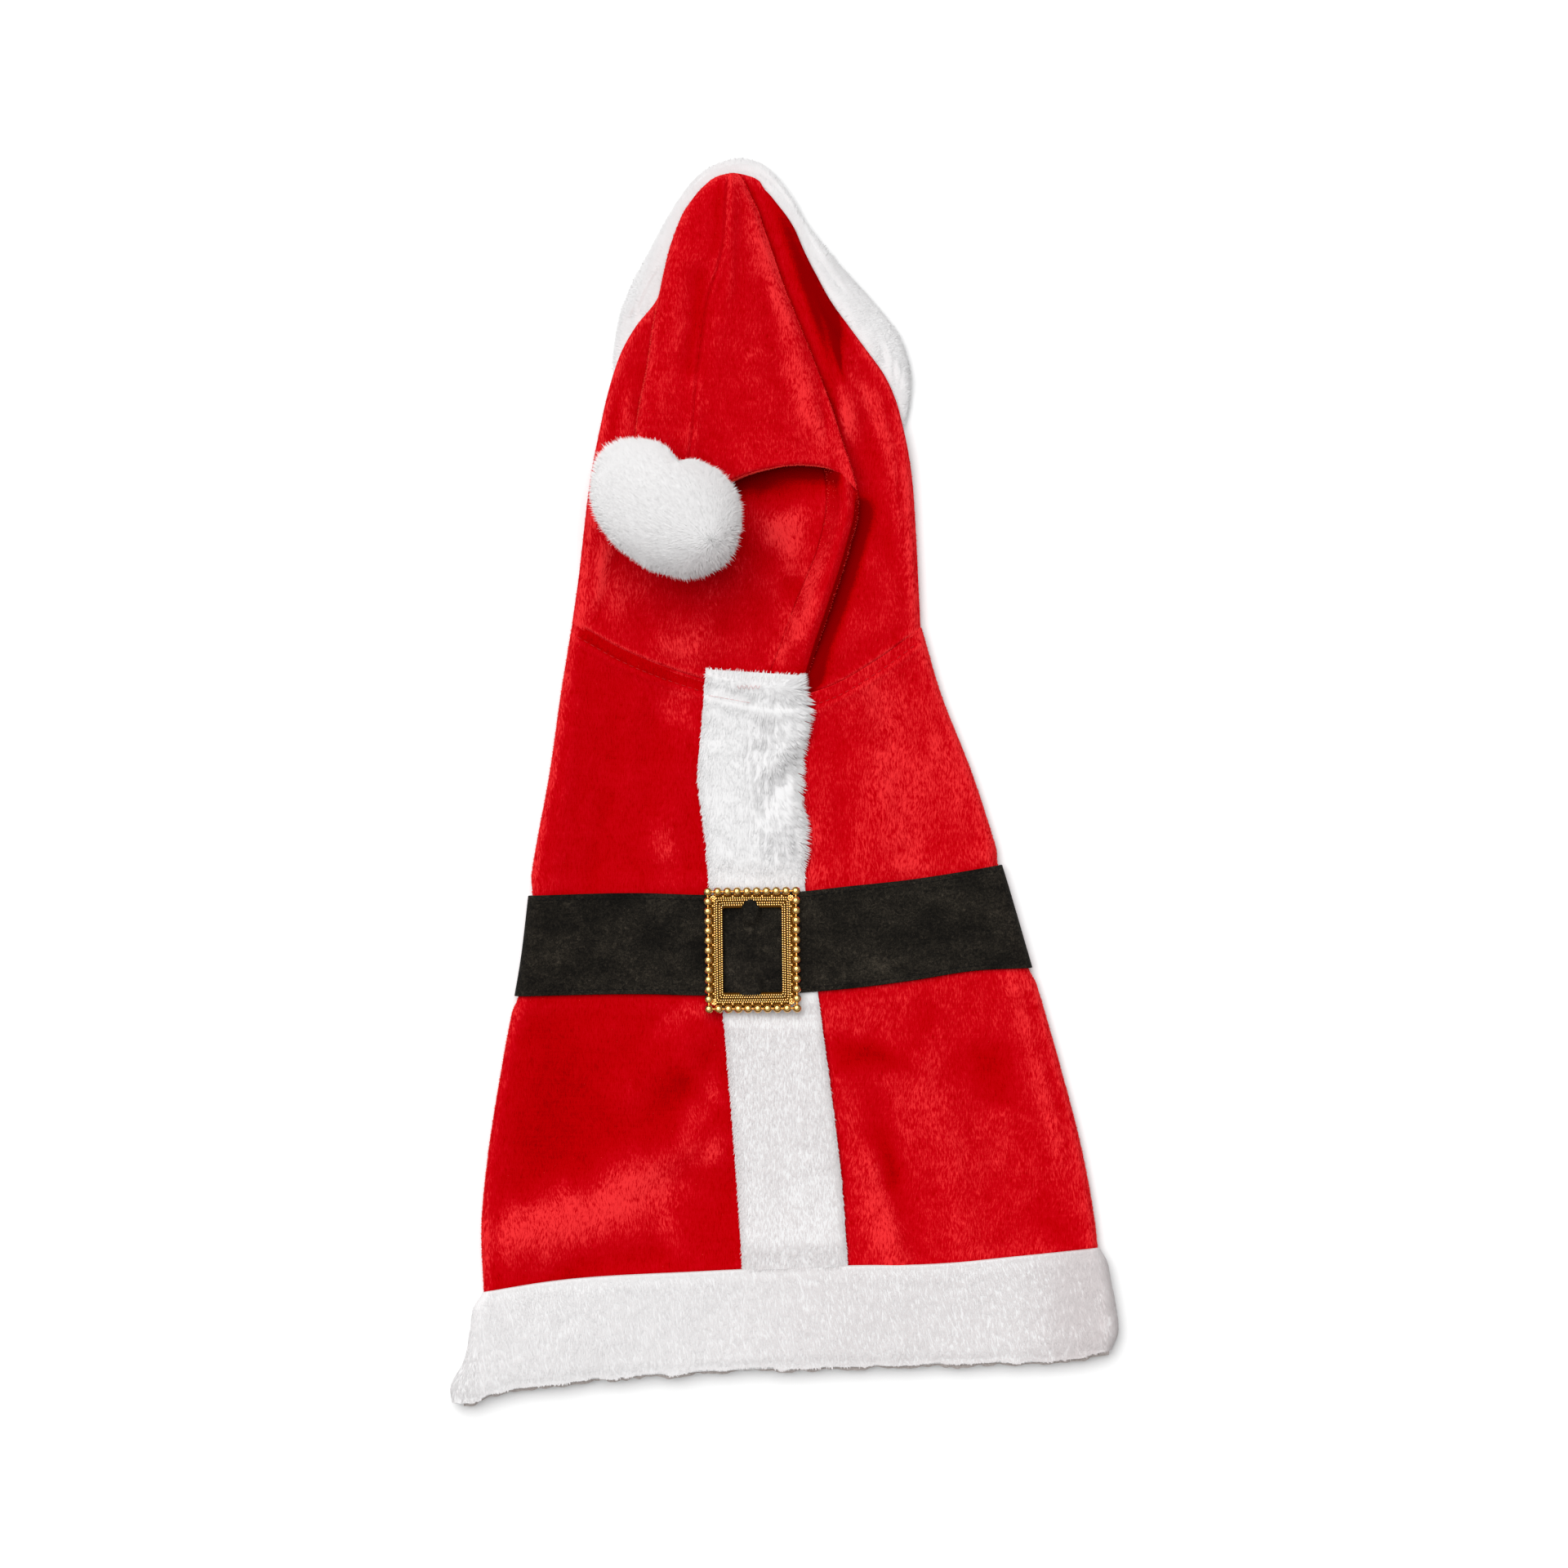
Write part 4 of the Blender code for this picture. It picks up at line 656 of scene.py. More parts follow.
def thread_piece(name, rows, width, finish):
    """Rows of stitches, each a short rounded bar that bows up between its two holes: five rings of five
    points on an arch from start to end."""
    rings, sides = 5, 5
    t = np.linspace(0, 1, rings)[None, :, None, None]
    turn = np.linspace(0, 2 * math.pi, sides, endpoint=False)[None, None, :, None]
    starts, ends = (np.concatenate(lot)[:, None, None, :] for lot in zip(*rows))
    aside = unit(np.cross(unit(ends - starts), UP))
    arch = np.sin(t * math.pi)
    size = width / 2 * (0.25 + 0.75 * arch**0.5)
    points = mix(starts, ends, t) + UP * (arch * width * 0.6)
    points = points + size * (aside * np.cos(turn) + UP * np.sin(turn))
    first = np.arange(len(points))[:, None, None] * rings * sides
    faces = (first + grid_quads(rings, sides, True)[None]).reshape(-1, 4).tolist()
    for end in (np.arange(sides), np.arange(sides)[::-1] + (rings - 1) * sides):
        faces += (first[:, 0] + end[None]).tolist()
    return mesh_piece(name, points.reshape(-1, 3), faces, finish)


# Finishes


class Finish:
    """A material being made: a Principled shader and the nodes that feed it."""

    def __init__(self, name, roughness, metallic=0.0, **fixed):
        self.material = bpy.data.materials.new(name)
        self.material.use_nodes = True
        self.tree = self.material.node_tree
        self.shader = self.tree.nodes["Principled BSDF"]
        for socket, value in {"Roughness": roughness, "Metallic": metallic, **fixed}.items():
            self.shader.inputs[socket].default_value = value

    def node(self, kind, inputs=None, **settings):
        made = self.tree.nodes.new(kind)
        for key, value in settings.items():
            setattr(made, key, value)
        for key, value in (inputs or {}).items():
            if hasattr(value, "is_output"):
                self.tree.links.new(value, made.inputs[key])
            else:
                made.inputs[key].default_value = value
        return made

    def math(self, operation, a, b, clamp=False):
        return self.node("ShaderNodeMath", {0: a, 1: b}, operation=operation, use_clamp=clamp).outputs[0]

    def total(self, *values):
        """The sum of several values."""
        first, *rest = values
        for value in rest:
            first = self.math("ADD", first, value)
        return first

    def blend(self, *weighted):
        """The sum of several values, each times its weight."""
        return self.total(*(self.math("MULTIPLY", value, weight) for value, weight in weighted))

    def coordinates(self):
        return self.node("ShaderNodeTexCoord").outputs["Object"]

    def noise(self, stretch, detail=2.0, roughness=0.5, distortion=0.0, at=None):
        """Noise at a place, or else on the object's own coordinates, stretched by a scale each way."""
        place = self.coordinates() if at is None else at
        vector = self.node("ShaderNodeMapping", {"Vector": place, "Scale": stretch}).outputs[0]
        inputs = {"Vector": vector, "Scale": 1.0, "Detail": detail, "Roughness": roughness}
        return self.node("ShaderNodeTexNoise", {**inputs, "Distortion": distortion}).outputs["Fac"]

    def colour(self, value, stops):
        """Base colour from a value, through stops that each give a place on its scale and a colour."""
        made = self.node("ShaderNodeValToRGB", {0: value})
        ramp = made.color_ramp
        while len(ramp.elements) < len(stops):
            ramp.elements.new(0.5)
        for element, (place, colour) in zip(ramp.elements, stops):
            element.position = place
            element.color = (*colour, 1.0)
        self.tree.links.new(made.outputs["Color"], self.shader.inputs["Base Color"])
        return self

    def bump(self, height, strength, distance):
        inputs = {"Height": height, "Strength": strength, "Distance": distance * MM}
        made = self.node("ShaderNodeBump", inputs)
        self.tree.links.new(made.outputs[0], self.shader.inputs["Normal"])
        return self

    def attribute(self, name):
        return self.node("ShaderNodeAttribute", attribute_name=name).outputs["Fac"]


def velour_finish(name, looks):
    """Short-pile velour: deep red where the pile lies down and lighter where it is brushed up, in fine
    streaks along the coat, over faint knit ribs. The kept value also paints highlights on rims and crests,
    and painted shade in creases, seams and under overhangs, down to the painted shade colour."""
    made = Finish(name, 0.9, **{
        "Sheen Weight": 0.6, "Sheen Roughness": 0.3, "Sheen Tint": (1.0, 0.07, 0.045, 1.0),
        "Specular IOR Level": 0.0})
    sway = made.math("MULTIPLY", made.noise((90, 60, 90), 1.0), 0.006)
    aside = made.node("ShaderNodeCombineXYZ", {"X": sway, "Y": 0.0, "Z": 0.0}).outputs[0]
    moved = made.node("ShaderNodeVectorMath", {0: made.coordinates(), 1: aside}).outputs[0]
    streak = made.noise((2300, 400, 2300), 2.0, 0.62, at=moved)
    mottle = made.noise((190, 130, 190), 3.0, 0.62)
    grain = made.noise((3200, 2000, 3200), 2.0, 0.6)
    rib = made.noise((60, 1064, 60), 1.0)
    nap = made.attribute("nap")
    lively = made.math("ADD", made.math("MULTIPLY", nap, 3.0), 0.6)

    def swing(value, gain):
        return made.math("MULTIPLY", made.math("SUBTRACT", value, 0.5), gain)

    fine = made.total(swing(mottle, made.math("MULTIPLY", lively, 0.32)), swing(grain, 0.4), swing(rib, 0.14))
    light = made.total(nap, swing(streak, lively), fine)
    light = made.math("ADD", made.math("MULTIPLY", light, 0.8), 0.2, clamp=True)
    made.colour(light, [(0.0, looks.painted_shade_colour), (0.2, looks.low_colour), (0.56, looks.middle_colour),
                        (0.96, looks.brushed_colour)])
    return made.bump(made.blend((streak, 0.7), (grain, 0.5)), 0.45, 0.5).material


def fur_core_finish(name, colour):
    """The fur's dense lower pile: white, with painted shade a little grey between tufts, and greyer and
    pinker where its points carry painted shade, for shade and light thrown back by the red cloth; with soft
    crimped bumps."""
    made = Finish(name, 0.9, **{"Sheen Weight": 0.2, "Sheen Roughness": 0.5, "Specular IOR Level": 0.1})
    crimp, tufts = made.noise((1100, 380, 700), 3.0, 0.6), made.noise((150, 110, 150), 3.0, 0.6)
    value = made.blend((crimp, 0.6), (tufts, 0.4))
    lit = made.math("SUBTRACT", value, made.math("MULTIPLY", made.attribute("shade"), 0.45))
    white = np.array(colour)
    made.colour(lit, [(0.0, white * (0.76, 0.7, 0.7)), (0.3, white * 0.97), (0.7, white)])
    return made.bump(value, 0.2, 0.5).material


def hair_finish(name, colour):
    """White hairs with painted shade: greyer and a little pink towards the root and where shade is painted
    on, standing in for shade and for light thrown back by the red cloth.
    """
    made = Finish(name, 0.75, **{"Specular IOR Level": 0.15})
    white = np.array(colour)
    return made.colour(made.attribute("tone"), [
        (0.0, white * (0.72, 0.66, 0.66)), (0.35, white * (0.95, 0.92, 0.92)), (0.6, white),
        (1.0, white * 1.05)]).material


def pile_finish(name, looks):
    """The velour's fibres seen from the side: as light as its brushed pile, some of them lighter, a painted
    highlight for the bright rim of the pile where the cloth turns away.
    """
    made = Finish(name, 0.9, **{"Specular IOR Level": 0.0})
    brushed_up = np.array(looks.brushed_colour)
    stops = [(0.0, brushed_up), (1.0, brushed_up * (1.15, 2.0, 1.2))]
    return made.colour(made.attribute("tone"), stops).material


def backing_finish():
    """Knitted backing of the fur, at its raw edge."""
    made = Finish("fur backing", 0.9)
    knit = made.noise((1500, 900, 1500), 3.0, 0.6)
    made.colour(knit, [(0.3, (0.34, 0.29, 0.27)), (0.7, (0.52, 0.47, 0.45))])
    return made.bump(knit, 0.6, 0.3).material


def felt_finish(looks):
    """Black felt: matted fibres, a few paler ones, and a soft bloom."""
    made = Finish("black felt", 0.9, **{"Specular IOR Level": 0.1})
    mat = made.noise((520, 640, 520), 5.0, 0.72, 1.4)
    fibre = made.noise((2400, 800, 2400), 3.0, 0.7, 1.8)
    cloud = made.noise((55, 70, 55), 2.0, 0.5)
    value = made.blend((mat, 0.42), (fibre, 0.33), (cloud, 0.25))
    black = np.array(looks.colour)
    made.colour(value, [(0.42, black * 0.25), (0.5, black), (0.56, black * 2.3), (0.63, black * 5.5)])
    return made.bump(value, 0.8, 0.6).material


def gold_finish(name, colour, roughness, coat=1.0):
    """Gold-plated plastic with a little uneven wear in its polish."""
    made = Finish(name, roughness, 1.0, **{"Coat Weight": coat, "Coat IOR": 1.9, "Coat Roughness": 0.05})
    wear = made.noise((420, 420, 420), 3.0, 0.6)
    gold = np.array(colour)
    made.colour(wear, [(0.3, gold * 0.82), (0.65, gold)])
    inputs = {"Value": wear, "To Min": roughness * 0.8, "To Max": roughness * 1.5}
    spread = made.node("ShaderNodeMapRange", inputs)
    made.tree.links.new(spread.outputs[0], made.shader.inputs["Roughness"])
    return made.material


def thread_finish(name, colour):
    """Sewing thread with its twist."""
    made = Finish(name, 0.8, **{"Specular IOR Level": 0.1})
    tint = np.array(colour)
    return made.colour(made.noise((2200, 2200, 2200), 1.0), [(0.3, tint * 0.7), (0.7, tint)]).material


# Body panels

BY_BELT_ABOVE = 0.93
BY_BELT_BELOW = 2.06
SIDE_ARC = 9


def stage_y(stage, x, top=neck_y):
    """Y of a body row at x: stage 0 is the neck seam, 1 and 2 are the belt's edges and 3 is the hem
    seam."""
    marks = [top(x) + 0.2, belt_top_y(x), belt_bottom_y(x), hem_seam_y(x)]
    spans = [mix(marks[k], marks[k + 1], stage - k) for k in range(3)]
    return np.where(stage < 1, spans[0], np.where(stage < 2, spans[1], spans[2]))


def meet(stage, edge, top=neck_y):
    """X where body rows meet an outline that is given as x for each y."""
    x = edge(0.0) + 0.0 * stage
    for _ in range(8):
        x = edge(stage_y(stage, x, top))
    return x


def side_folds(stage, top=neck_y):
    """X of the rows' left and right side folds, drawn in where the belt goes round them."""
    above = (stage - BY_BELT_ABOVE) / (1 - BY_BELT_ABOVE)
    below = (BY_BELT_BELOW - stage) / (BY_BELT_BELOW - 2)
    drawn_in = BELT_PINCH * smooth(above) * smooth(below)
    return meet(stage, body_left, top) + drawn_in, meet(stage, body_right, top) - drawn_in


def panel_grid(stage, columns, top, turned_to, middle_height, lift=0.0):
    """Rows of a panel at the given stages: a quarter round from the left side seam, the middle, and a
    quarter round to the right side seam. The left round ends turned_to degrees, 90 on top and 270 on the
    floor, and middle_height(x, y, left, right) gives the middle's height."""
    stage = np.asarray(stage, float)[:, None]
    left, right = side_folds(stage, top)
    radius_left, radius_right = (edge_height(stage_y(stage, x, top)) / 2 for x in (left, right))
    x_middle = mix(left + radius_left, right - radius_right, np.linspace(0, 1, columns)[None, :])
    y_middle = stage_y(stage, x_middle, top)
    z_middle = middle_height(x_middle, y_middle, left, right)
    turn = np.radians(np.linspace(180, turned_to, SIDE_ARC, endpoint=False))[None, :]
    x_left = left + radius_left + (radius_left + lift) * np.cos(turn)
    z_left = radius_left + (radius_left + lift) * np.sin(turn)
    x_right = (right - radius_right - (radius_right + lift) * np.cos(turn))[:, ::-1]
    z_right = (radius_right + (radius_right + lift) * np.sin(turn))[:, ::-1]
    on_top = turned_to < 180
    if on_top:
        near_top = bell(np.degrees(turn) - 90, 40)
        z_left = z_left + (z_middle[:, :1] - z_left[:, -1:]) * near_top * 0.5
        z_right = z_right + (z_middle[:, -1:] - z_right[:, :1]) * near_top[:, ::-1] * 0.5
    half_gap = SEAM_GAP / 2 if on_top else -SEAM_GAP / 2
    z_left[:, 0] += half_gap
    z_right[:, -1] += half_gap
    x = np.concatenate([x_left, x_middle, x_right], axis=1)
    y = np.concatenate([stage_y(stage, x_left, top), y_middle, stage_y(stage, x_right, top)], axis=1)
    return np.stack([x, y, np.concatenate([z_left, z_middle, z_right], axis=1)], axis=-1)


def back_grid(stage, columns, lift=0.0, over=None):
    """Rows of the back panel at the given stages. over(x, y) is height added on the top."""
    def height(x, y, *sides):
        lifted = back_height(x, y) + lift
        return lifted if over is None else lifted + over(x, y)

    return panel_grid(stage, columns, neck_y, 90, height, lift)


def painted_rim_highlight(x, left, right):
    """Painted rim highlight: the pile is painted lighter where it rolls over a side fold."""
    return 0.5 * bell(np.maximum(x - left, 0), 3.2) + 0.36 * bell(np.maximum(right - x, 0), 3.0)


def back_nap_and_shading(grid):
    """How light the back panel's pile looks: brushed down left of the strip and up right of it, with painted
    highlights on its side rolls and crests and painted shade in its hollows and along the neck seam's
    stitches.
    """
    x, y = grid[..., 0], grid[..., 1]
    base = mix(0.16, 0.42, smooth((x + 12) / 26)) - 0.05 * smooth((-y - 90) / 30) * (x < -12)
    rim = painted_rim_highlight(x, body_left(y), body_right(y)) * mix(0.55, 1.0, smooth((y + 140) / 60))
    nap = brushed(x, y, BODY_NAP_AND_SHADING, base) + rim + painted_relief_shading(grid)
    below = neck_y(x) - y
    # Painted shade in the band between the neck seam and its stitches on the left, and in the dent of the
    # stitch line.
    nap = nap + mix(-0.16, 0.0, smooth((x + 10) / 20)) * smooth((5.4 - below) / 1.4)
    return nap - 0.1 * bell(below - 4.9, 0.9)


def leg_distance(x, y):
    """How many millimetres (x, y) lies outside the rim of the nearer leg opening, about."""
    sides = []
    for side in (-1, 1):
        dx = (x - LEG_CENTRE_X - side * LEG_APART / 2) / LEG_HALF[0]
        dy = (y - LEG_Y) / LEG_HALF[1]
        sides.append((np.hypot(dx, dy) - 1) * min(LEG_HALF))
    return np.minimum(*sides)


def belly_grid(stage, columns):
    """Rows of the belly panel at the given stages. Shallow creases lift it a little off the floor."""
    def height(x, y, left, right):
        inward = np.minimum(x - left, right - x)
        lifted = np.maximum(fold_height(x, y, BELLY_CREASES), 0) * smooth((inward - 8) / 12)
        return lifted * smooth(leg_distance(x, y) / 8) + 0.35 * bell(leg_distance(x, y), 5)

    return panel_grid(stage, columns, throat_y, 270, height)


BACK_STAGES = np.concatenate([
    np.linspace(0, 0.1, 18, endpoint=False), np.linspace(0.1, 0.9, 34, endpoint=False),
    np.linspace(0.9, 1.1, 8, endpoint=False), np.linspace(1.1, 1.9, 10, endpoint=False),
    np.linspace(1.9, 2.1, 10, endpoint=False), np.linspace(2.1, 3, 52),
])
BACK_COLUMNS = 116
OVAL_STEPS = 64
CUTTER_REACH = 6


def sheathe(piece, node, slot, *more_nodes):
    """Rides a piece on the coat and hides the plain solids that it stands for. Its finish's name, slot, is
    not used.
    """
    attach(piece, "root")
    if node:
        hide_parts(node, *more_nodes)
    return piece


def make_back_panel(looks):
    outer = back_grid(BACK_STAGES, BACK_COLUMNS)
    inner = outer - grid_normals(outer, 1) * looks.cloth_thickness / MM
    panel = wall_piece("back_panel_velour", outer, inner, looks.velour(), back_nap_and_shading(outer), 0.25)
    sheathe(panel, "back_panel", "velour")
    pile = fuzz("back_panel_fuzz", outer, looks.panel_fuzz, 21, looks.velour_pile())
    return panel


def rim_ring(name, x, finish):
    """The turned hem round a leg opening: a flat rounded band, an oval of the opening's size given a thin
    oval section."""
    rows, columns = 96, 14
    turn = np.linspace(0, 2 * math.pi, rows, endpoint=False)[:, None]
    around = np.linspace(0, 2 * math.pi, columns, endpoint=False)[None, :]
    out = 3.2 * np.sign(np.cos(around)) * np.abs(np.cos(around)) ** 0.7 + 2.6
    z = 1.2 + 1.15 * np.sign(np.sin(around)) * np.abs(np.sin(around)) ** 0.7
    x = x + (LEG_HALF[0] + out) * np.cos(turn)
    y = LEG_Y + (LEG_HALF[1] + out) * np.sin(turn)
    grid = np.stack(np.broadcast_arrays(x, y, z), axis=-1)
    return mesh_piece(name, grid.reshape(-1, 3), grid_quads(rows, columns, True, True).tolist(), finish,
                      {"nap": np.full(rows * columns, PLAIN_NAP)})


def make_belly_panel(looks):
    stages = np.concatenate([np.linspace(0, 1, 60, endpoint=False), np.linspace(1, 3, 60)])
    outer = belly_grid(stages, 84)
    inner = outer - grid_normals(outer, -1) * looks.cloth_thickness / MM
    finish = looks.velour_underside()
    panel = wall_piece("belly_panel_velour", outer, inner, finish, 0.2 + 0.0 * outer[..., 0], 0.25)
    for side, name in ((-1, "left"), (1, "right")):
        x = LEG_CENTRE_X + side * LEG_APART / 2
        turn = np.linspace(0, 2 * math.pi, OVAL_STEPS, endpoint=False)
        oval = np.stack([x + LEG_HALF[0] * np.cos(turn), LEG_Y + LEG_HALF[1] * np.sin(turn)], axis=-1)
        points = np.concatenate([np.insert(oval, 2, z, axis=1) for z in (-CUTTER_REACH, CUTTER_REACH)])
        ends = [list(range(OVAL_STEPS))[::-1], list(range(OVAL_STEPS, 2 * OVAL_STEPS))]
        faces = grid_quads(2, OVAL_STEPS, True).tolist() + ends
        cutter = mesh_piece("leg_cutter_" + name, points, faces, finish)
        cut = panel.modifiers.new("leg opening", "BOOLEAN")
        cut.operation, cut.object, cut.solver = "DIFFERENCE", cutter, "EXACT"
        bpy.context.view_layer.objects.active = panel
        bpy.ops.object.modifier_apply(modifier=cut.name)
        bpy.data.objects.remove(cutter)
        sheathe(rim_ring("leg_hem_" + name, x, finish), None, "velour_underside")
    sheathe(panel, "belly_panel", "velour_underside")
    return panel


# Hood


def ring_loop(count):
    """Points evenly spaced round the fur ring's outer edge, from its top, turning clockwise: a smooth
    closed spline through the ring's named points."""
    knots = np.array([(p.x, p.y) for p in RING])
    a, b, c, d = (np.roll(knots, -n, axis=0)[:, None, :] for n in (-1, 0, 1, 2))
    t = np.linspace(0, 1, 16, endpoint=False)[None, :, None]
    bend = (c - a) * t + (2 * a - 5 * b + 4 * c - d) * t**2 + (3 * b - a - 3 * c + d) * t**3
    dense = (b + bend / 2).reshape(-1, 2)
    dense = np.concatenate([dense, dense[:1]])
    run = np.concatenate([[0], np.cumsum(np.hypot(*np.diff(dense, axis=0).T))])
    places = np.linspace(0, run[-1], count, endpoint=False)
    return np.stack([np.interp(places, run, dense[:, n]) for n in range(2)], axis=-1)


RING_EDGE = ring_loop(240)
HOOD_ARC = 9
LIP_COLUMNS = 5
LIP_GAP = 0.8
LIP_GAP_LOW = 3.4
LIP_GAP_REACH = 26.0
OPEN_EDGE_RADIUS = 2.05
OPEN_EDGE_ANGLE = 72.0
HOOD_SEAM_FADE = 62
WRAP_FROM, WRAP_OVER = 2.0, 10.0
WRAP_TOP_ROW = 165
HOOD_BASE = 66.0
HOOD_PEAK = 249.0


def ring_edge_x(y, side):
    """X of the fur ring's outer edge at y, on the left (-1) or right (1), or the throat below the ring."""
    points = RING_EDGE[(RING_EDGE[:, 0] - THROAT_X) * side >= 0]
    points = points[np.argsort(points[:, 1])]
    return np.where(y < points[0, 1] - SEAM_GAP, THROAT_X, np.interp(y, points[:, 1], points[:, 0]))


def hood_y(row, x, under=0.0):
    """Y of a hood row at x. The lowest rows follow the neck seam, and the throat seam where under is 1."""
    seam = mix(neck_y(x) - 0.5, throat_y(x) + SEAM_GAP, under)
    domed = smooth((row - 232) / (HOOD_PEAK - 232)) * (1 - under)
    rounded = (dome_y(np.clip(x, -30.0, -8.0)) - HOOD_PEAK) * domed
    return row - (HOOD_BASE - seam) * (1 - smooth((row - HOOD_BASE) / HOOD_SEAM_FADE)) + rounded


def on_rows(row, edge):
    """X where hood rows cross a line that is given as x for each y."""
    x = edge(row)
    for _ in range(6):
        x = edge(hood_y(row, x))
    return x


def hood_side(row, side):
    """Side fold of the hood rows: round the fold, then the lip on the floor, as x, z and how far under it
    is."""
    edge = (hood_left_edge if side < 0 else hood_right_edge)(row)
    ring = ring_edge_x(row, side)
    for _ in range(5):
        ring = ring_edge_x(hood_y(row, ring, 1.0), side)
    wrap = smooth(((edge - ring) * side - WRAP_FROM) / WRAP_OVER) * (row < WRAP_TOP_ROW)
    top = edge_height(row)
    radius = mix(OPEN_EDGE_RADIUS, top / 2, wrap)
    centre = edge - side * radius
    degrees = mix(OPEN_EDGE_ANGLE, 180.0, wrap) * np.linspace(0, 1, HOOD_ARC)[None, :]
    x = centre + side * radius * np.sin(np.radians(degrees))
    z = top - radius + radius * np.cos(np.radians(degrees))
    clear = mix(LIP_GAP_LOW, LIP_GAP, smooth((row - HOOD_BASE) / LIP_GAP_REACH))
    lip_end = ring + side * np.where(ring == THROAT_X, SEAM_GAP / 2, clear)
    end_x = x[:, -1:]
    reach = np.where(wrap > 0.98, np.maximum((end_x - lip_end) * side, 0.0), 0.0)
    reach = np.maximum(reach, 0.2 * (1 - smooth(reach / 2.0)))
    lip_turn, lip_share = np.radians(degrees[:, -1:]), reach * np.linspace(0, 1, LIP_COLUMNS + 1)[None, 1:]
    under = np.where(degrees > 91, 1.0, 0.0)
    x = np.concatenate([x, end_x + side * lip_share * np.cos(lip_turn)], axis=1)
    z = np.concatenate([z, z[:, -1:] - lip_share * np.sin(lip_turn)], axis=1)
    return x, z, np.concatenate([under, np.repeat(under[:, -1:], LIP_COLUMNS, axis=1)], axis=1), centre


def hood_grid(side, rows=112):
    """One half of the hood, from the centre seam over the side fold to the lip's end. On the right half the
    pleat's drop is a roll that hangs over its foot: its columns turn round a half circle."""
    row = np.concatenate([HOOD_BASE + np.linspace(0, 1, 14, endpoint=False) ** 1.3 * 6,
                          np.linspace(HOOD_BASE + 6, HOOD_PEAK, rows - 14)])[:, None]
    fold_x, fold_z, under, centre = hood_side(row, side)
    seam = on_rows(row, pleat_valley) + side * SEWN_GAP
    if side < 0:
        x = mix(seam, centre, np.linspace(0, 1, 56, endpoint=False)[None, :] ** 1.15)
        y = hood_y(row, x)
        z = hood_height(x, y)
        lean = 0.0 * x
    else:
        room = np.maximum(centre - seam, 3.0)
        edge = np.minimum(on_rows(row, pleat_edge), seam + room * 0.62)
        drop = np.minimum(PLEAT_DROP / 2, room * 0.12)
        climb = mix(seam, edge - drop, np.linspace(0, 1, 30, endpoint=False)[None, :])
        fall = mix(edge - drop, edge + drop, np.linspace(0, 1, 13, endpoint=False)[None, :])
        rest = mix(edge + drop, centre, np.linspace(0, 1, 30, endpoint=False)[None, :])
        x = np.concatenate([climb, fall, rest], axis=1)
        y = hood_y(row, x)
        z = hood_height(x, y)
        turned = np.clip((x - (edge - drop)) / (2 * drop), 0, 1)
        drawn = smooth((x - seam) / (edge - drop - seam)) * (1 - smooth((x - edge - drop) / 9))
        risen = smooth(pleat_climb(edge, hood_y(row, edge)) / 6)
        lean = risen * (3.0 * np.sin(turned * math.pi) ** 1.5 - 2.4 * drawn)
    x = np.concatenate([x + lean, fold_x], axis=1)
    y = np.concatenate([y, hood_y(row, fold_x, under)], axis=1)
    return np.stack([x, y, np.concatenate([z, fold_z], axis=1)], axis=-1)


def hood_nap_and_shading(grid):
    """How light the hood back's pile looks: painted highlights over its side folds, along the dome's top and
    at the neck seam's edge, painted light where the crown's shadow falls beside its right edge, and painted
    shade in its seams, under the arch and beside the pleat's right edge.
    """
    x, y = grid[..., 0], grid[..., 1]
    nap = brushed(x, y, HOOD_NAP_AND_SHADING, 0.28) + painted_relief_shading(grid)
    nap = nap + 0.8 * painted_rim_highlight(x, hood_left_edge(y), hood_right_edge(y))
    # Painted light that lifts the shadow the crown casts beside its right edge.
    nap = nap + 0.7 * bell(x - crown_right_edge(y) - 3.5, 5.0) * smooth((y - 136) / 16)
    # Painted rim highlight along the top of the dome.
    nap = nap + 0.3 * bell(dome_y(np.clip(x, -30, -8)) - y, 3.0)
    # Painted shadow in the pocket under the crown's arch.
    nap = nap - 0.75 * bell(np.maximum(arch_y(x) - y, 0), 8.0) * smooth((x + 30) / 8) * smooth((27 - x) / 6)
    # Painted shadow beside the pleat's right edge where it hangs over, and painted shade on its drop.
    past = x - pleat_edge(y)
    foot = smooth((124 - y) / 14)
    nap = nap - 0.95 * foot * smooth((past + 1.5) / 1.2) * (1 - smooth((past - 2) / 9))
    nap = nap - 0.2 * foot * bell(past + 2.8, 1.8)
    # Painted highlight along the hood's edge at the neck seam.
    return nap + 0.3 * bell(y - neck_y(x) - 0.9, 1.0)


def make_hood(looks):
    for side, name in ((-1, "left"), (1, "right")):
        outer = hood_grid(side)
        inner = outer - grid_normals(outer, 1) * looks.cloth_thickness / MM
        inner[..., 2] = np.maximum(inner[..., 2], 0.2)
        half = wall_piece("hood_" + name + "_velour", outer, inner, looks.velour(), hood_nap_and_shading(outer), 0.3)
        sheathe(half, "hood_" + name, "velour")
        pile = fuzz("hood_" + name + "_fuzz", outer, looks.hood_fuzz, 22, looks.velour_pile())


# Crown

CROWN_ROWS = [252.1, 250.6, 247.5, 242, 234, 224, 212, 199, 186, 173, 160, 149, 138]
CROWN_HEM_ROWS = [0.0, 0.3, 0.6, 0.85, 1.0]
ARCH_LEVEL = 120.0
POCKET_DEPTH = 26.0
POCKET_LIFT = 6.2
POCKET_LEFT = -26.0
POCKET_WIDTH = 48.0
CROWN_STANDS = (3.4, 12.0)
CROWN_SIDES = 0.42
CROWN_WALL = 1.7
CROWN_PRESSED = 1.0


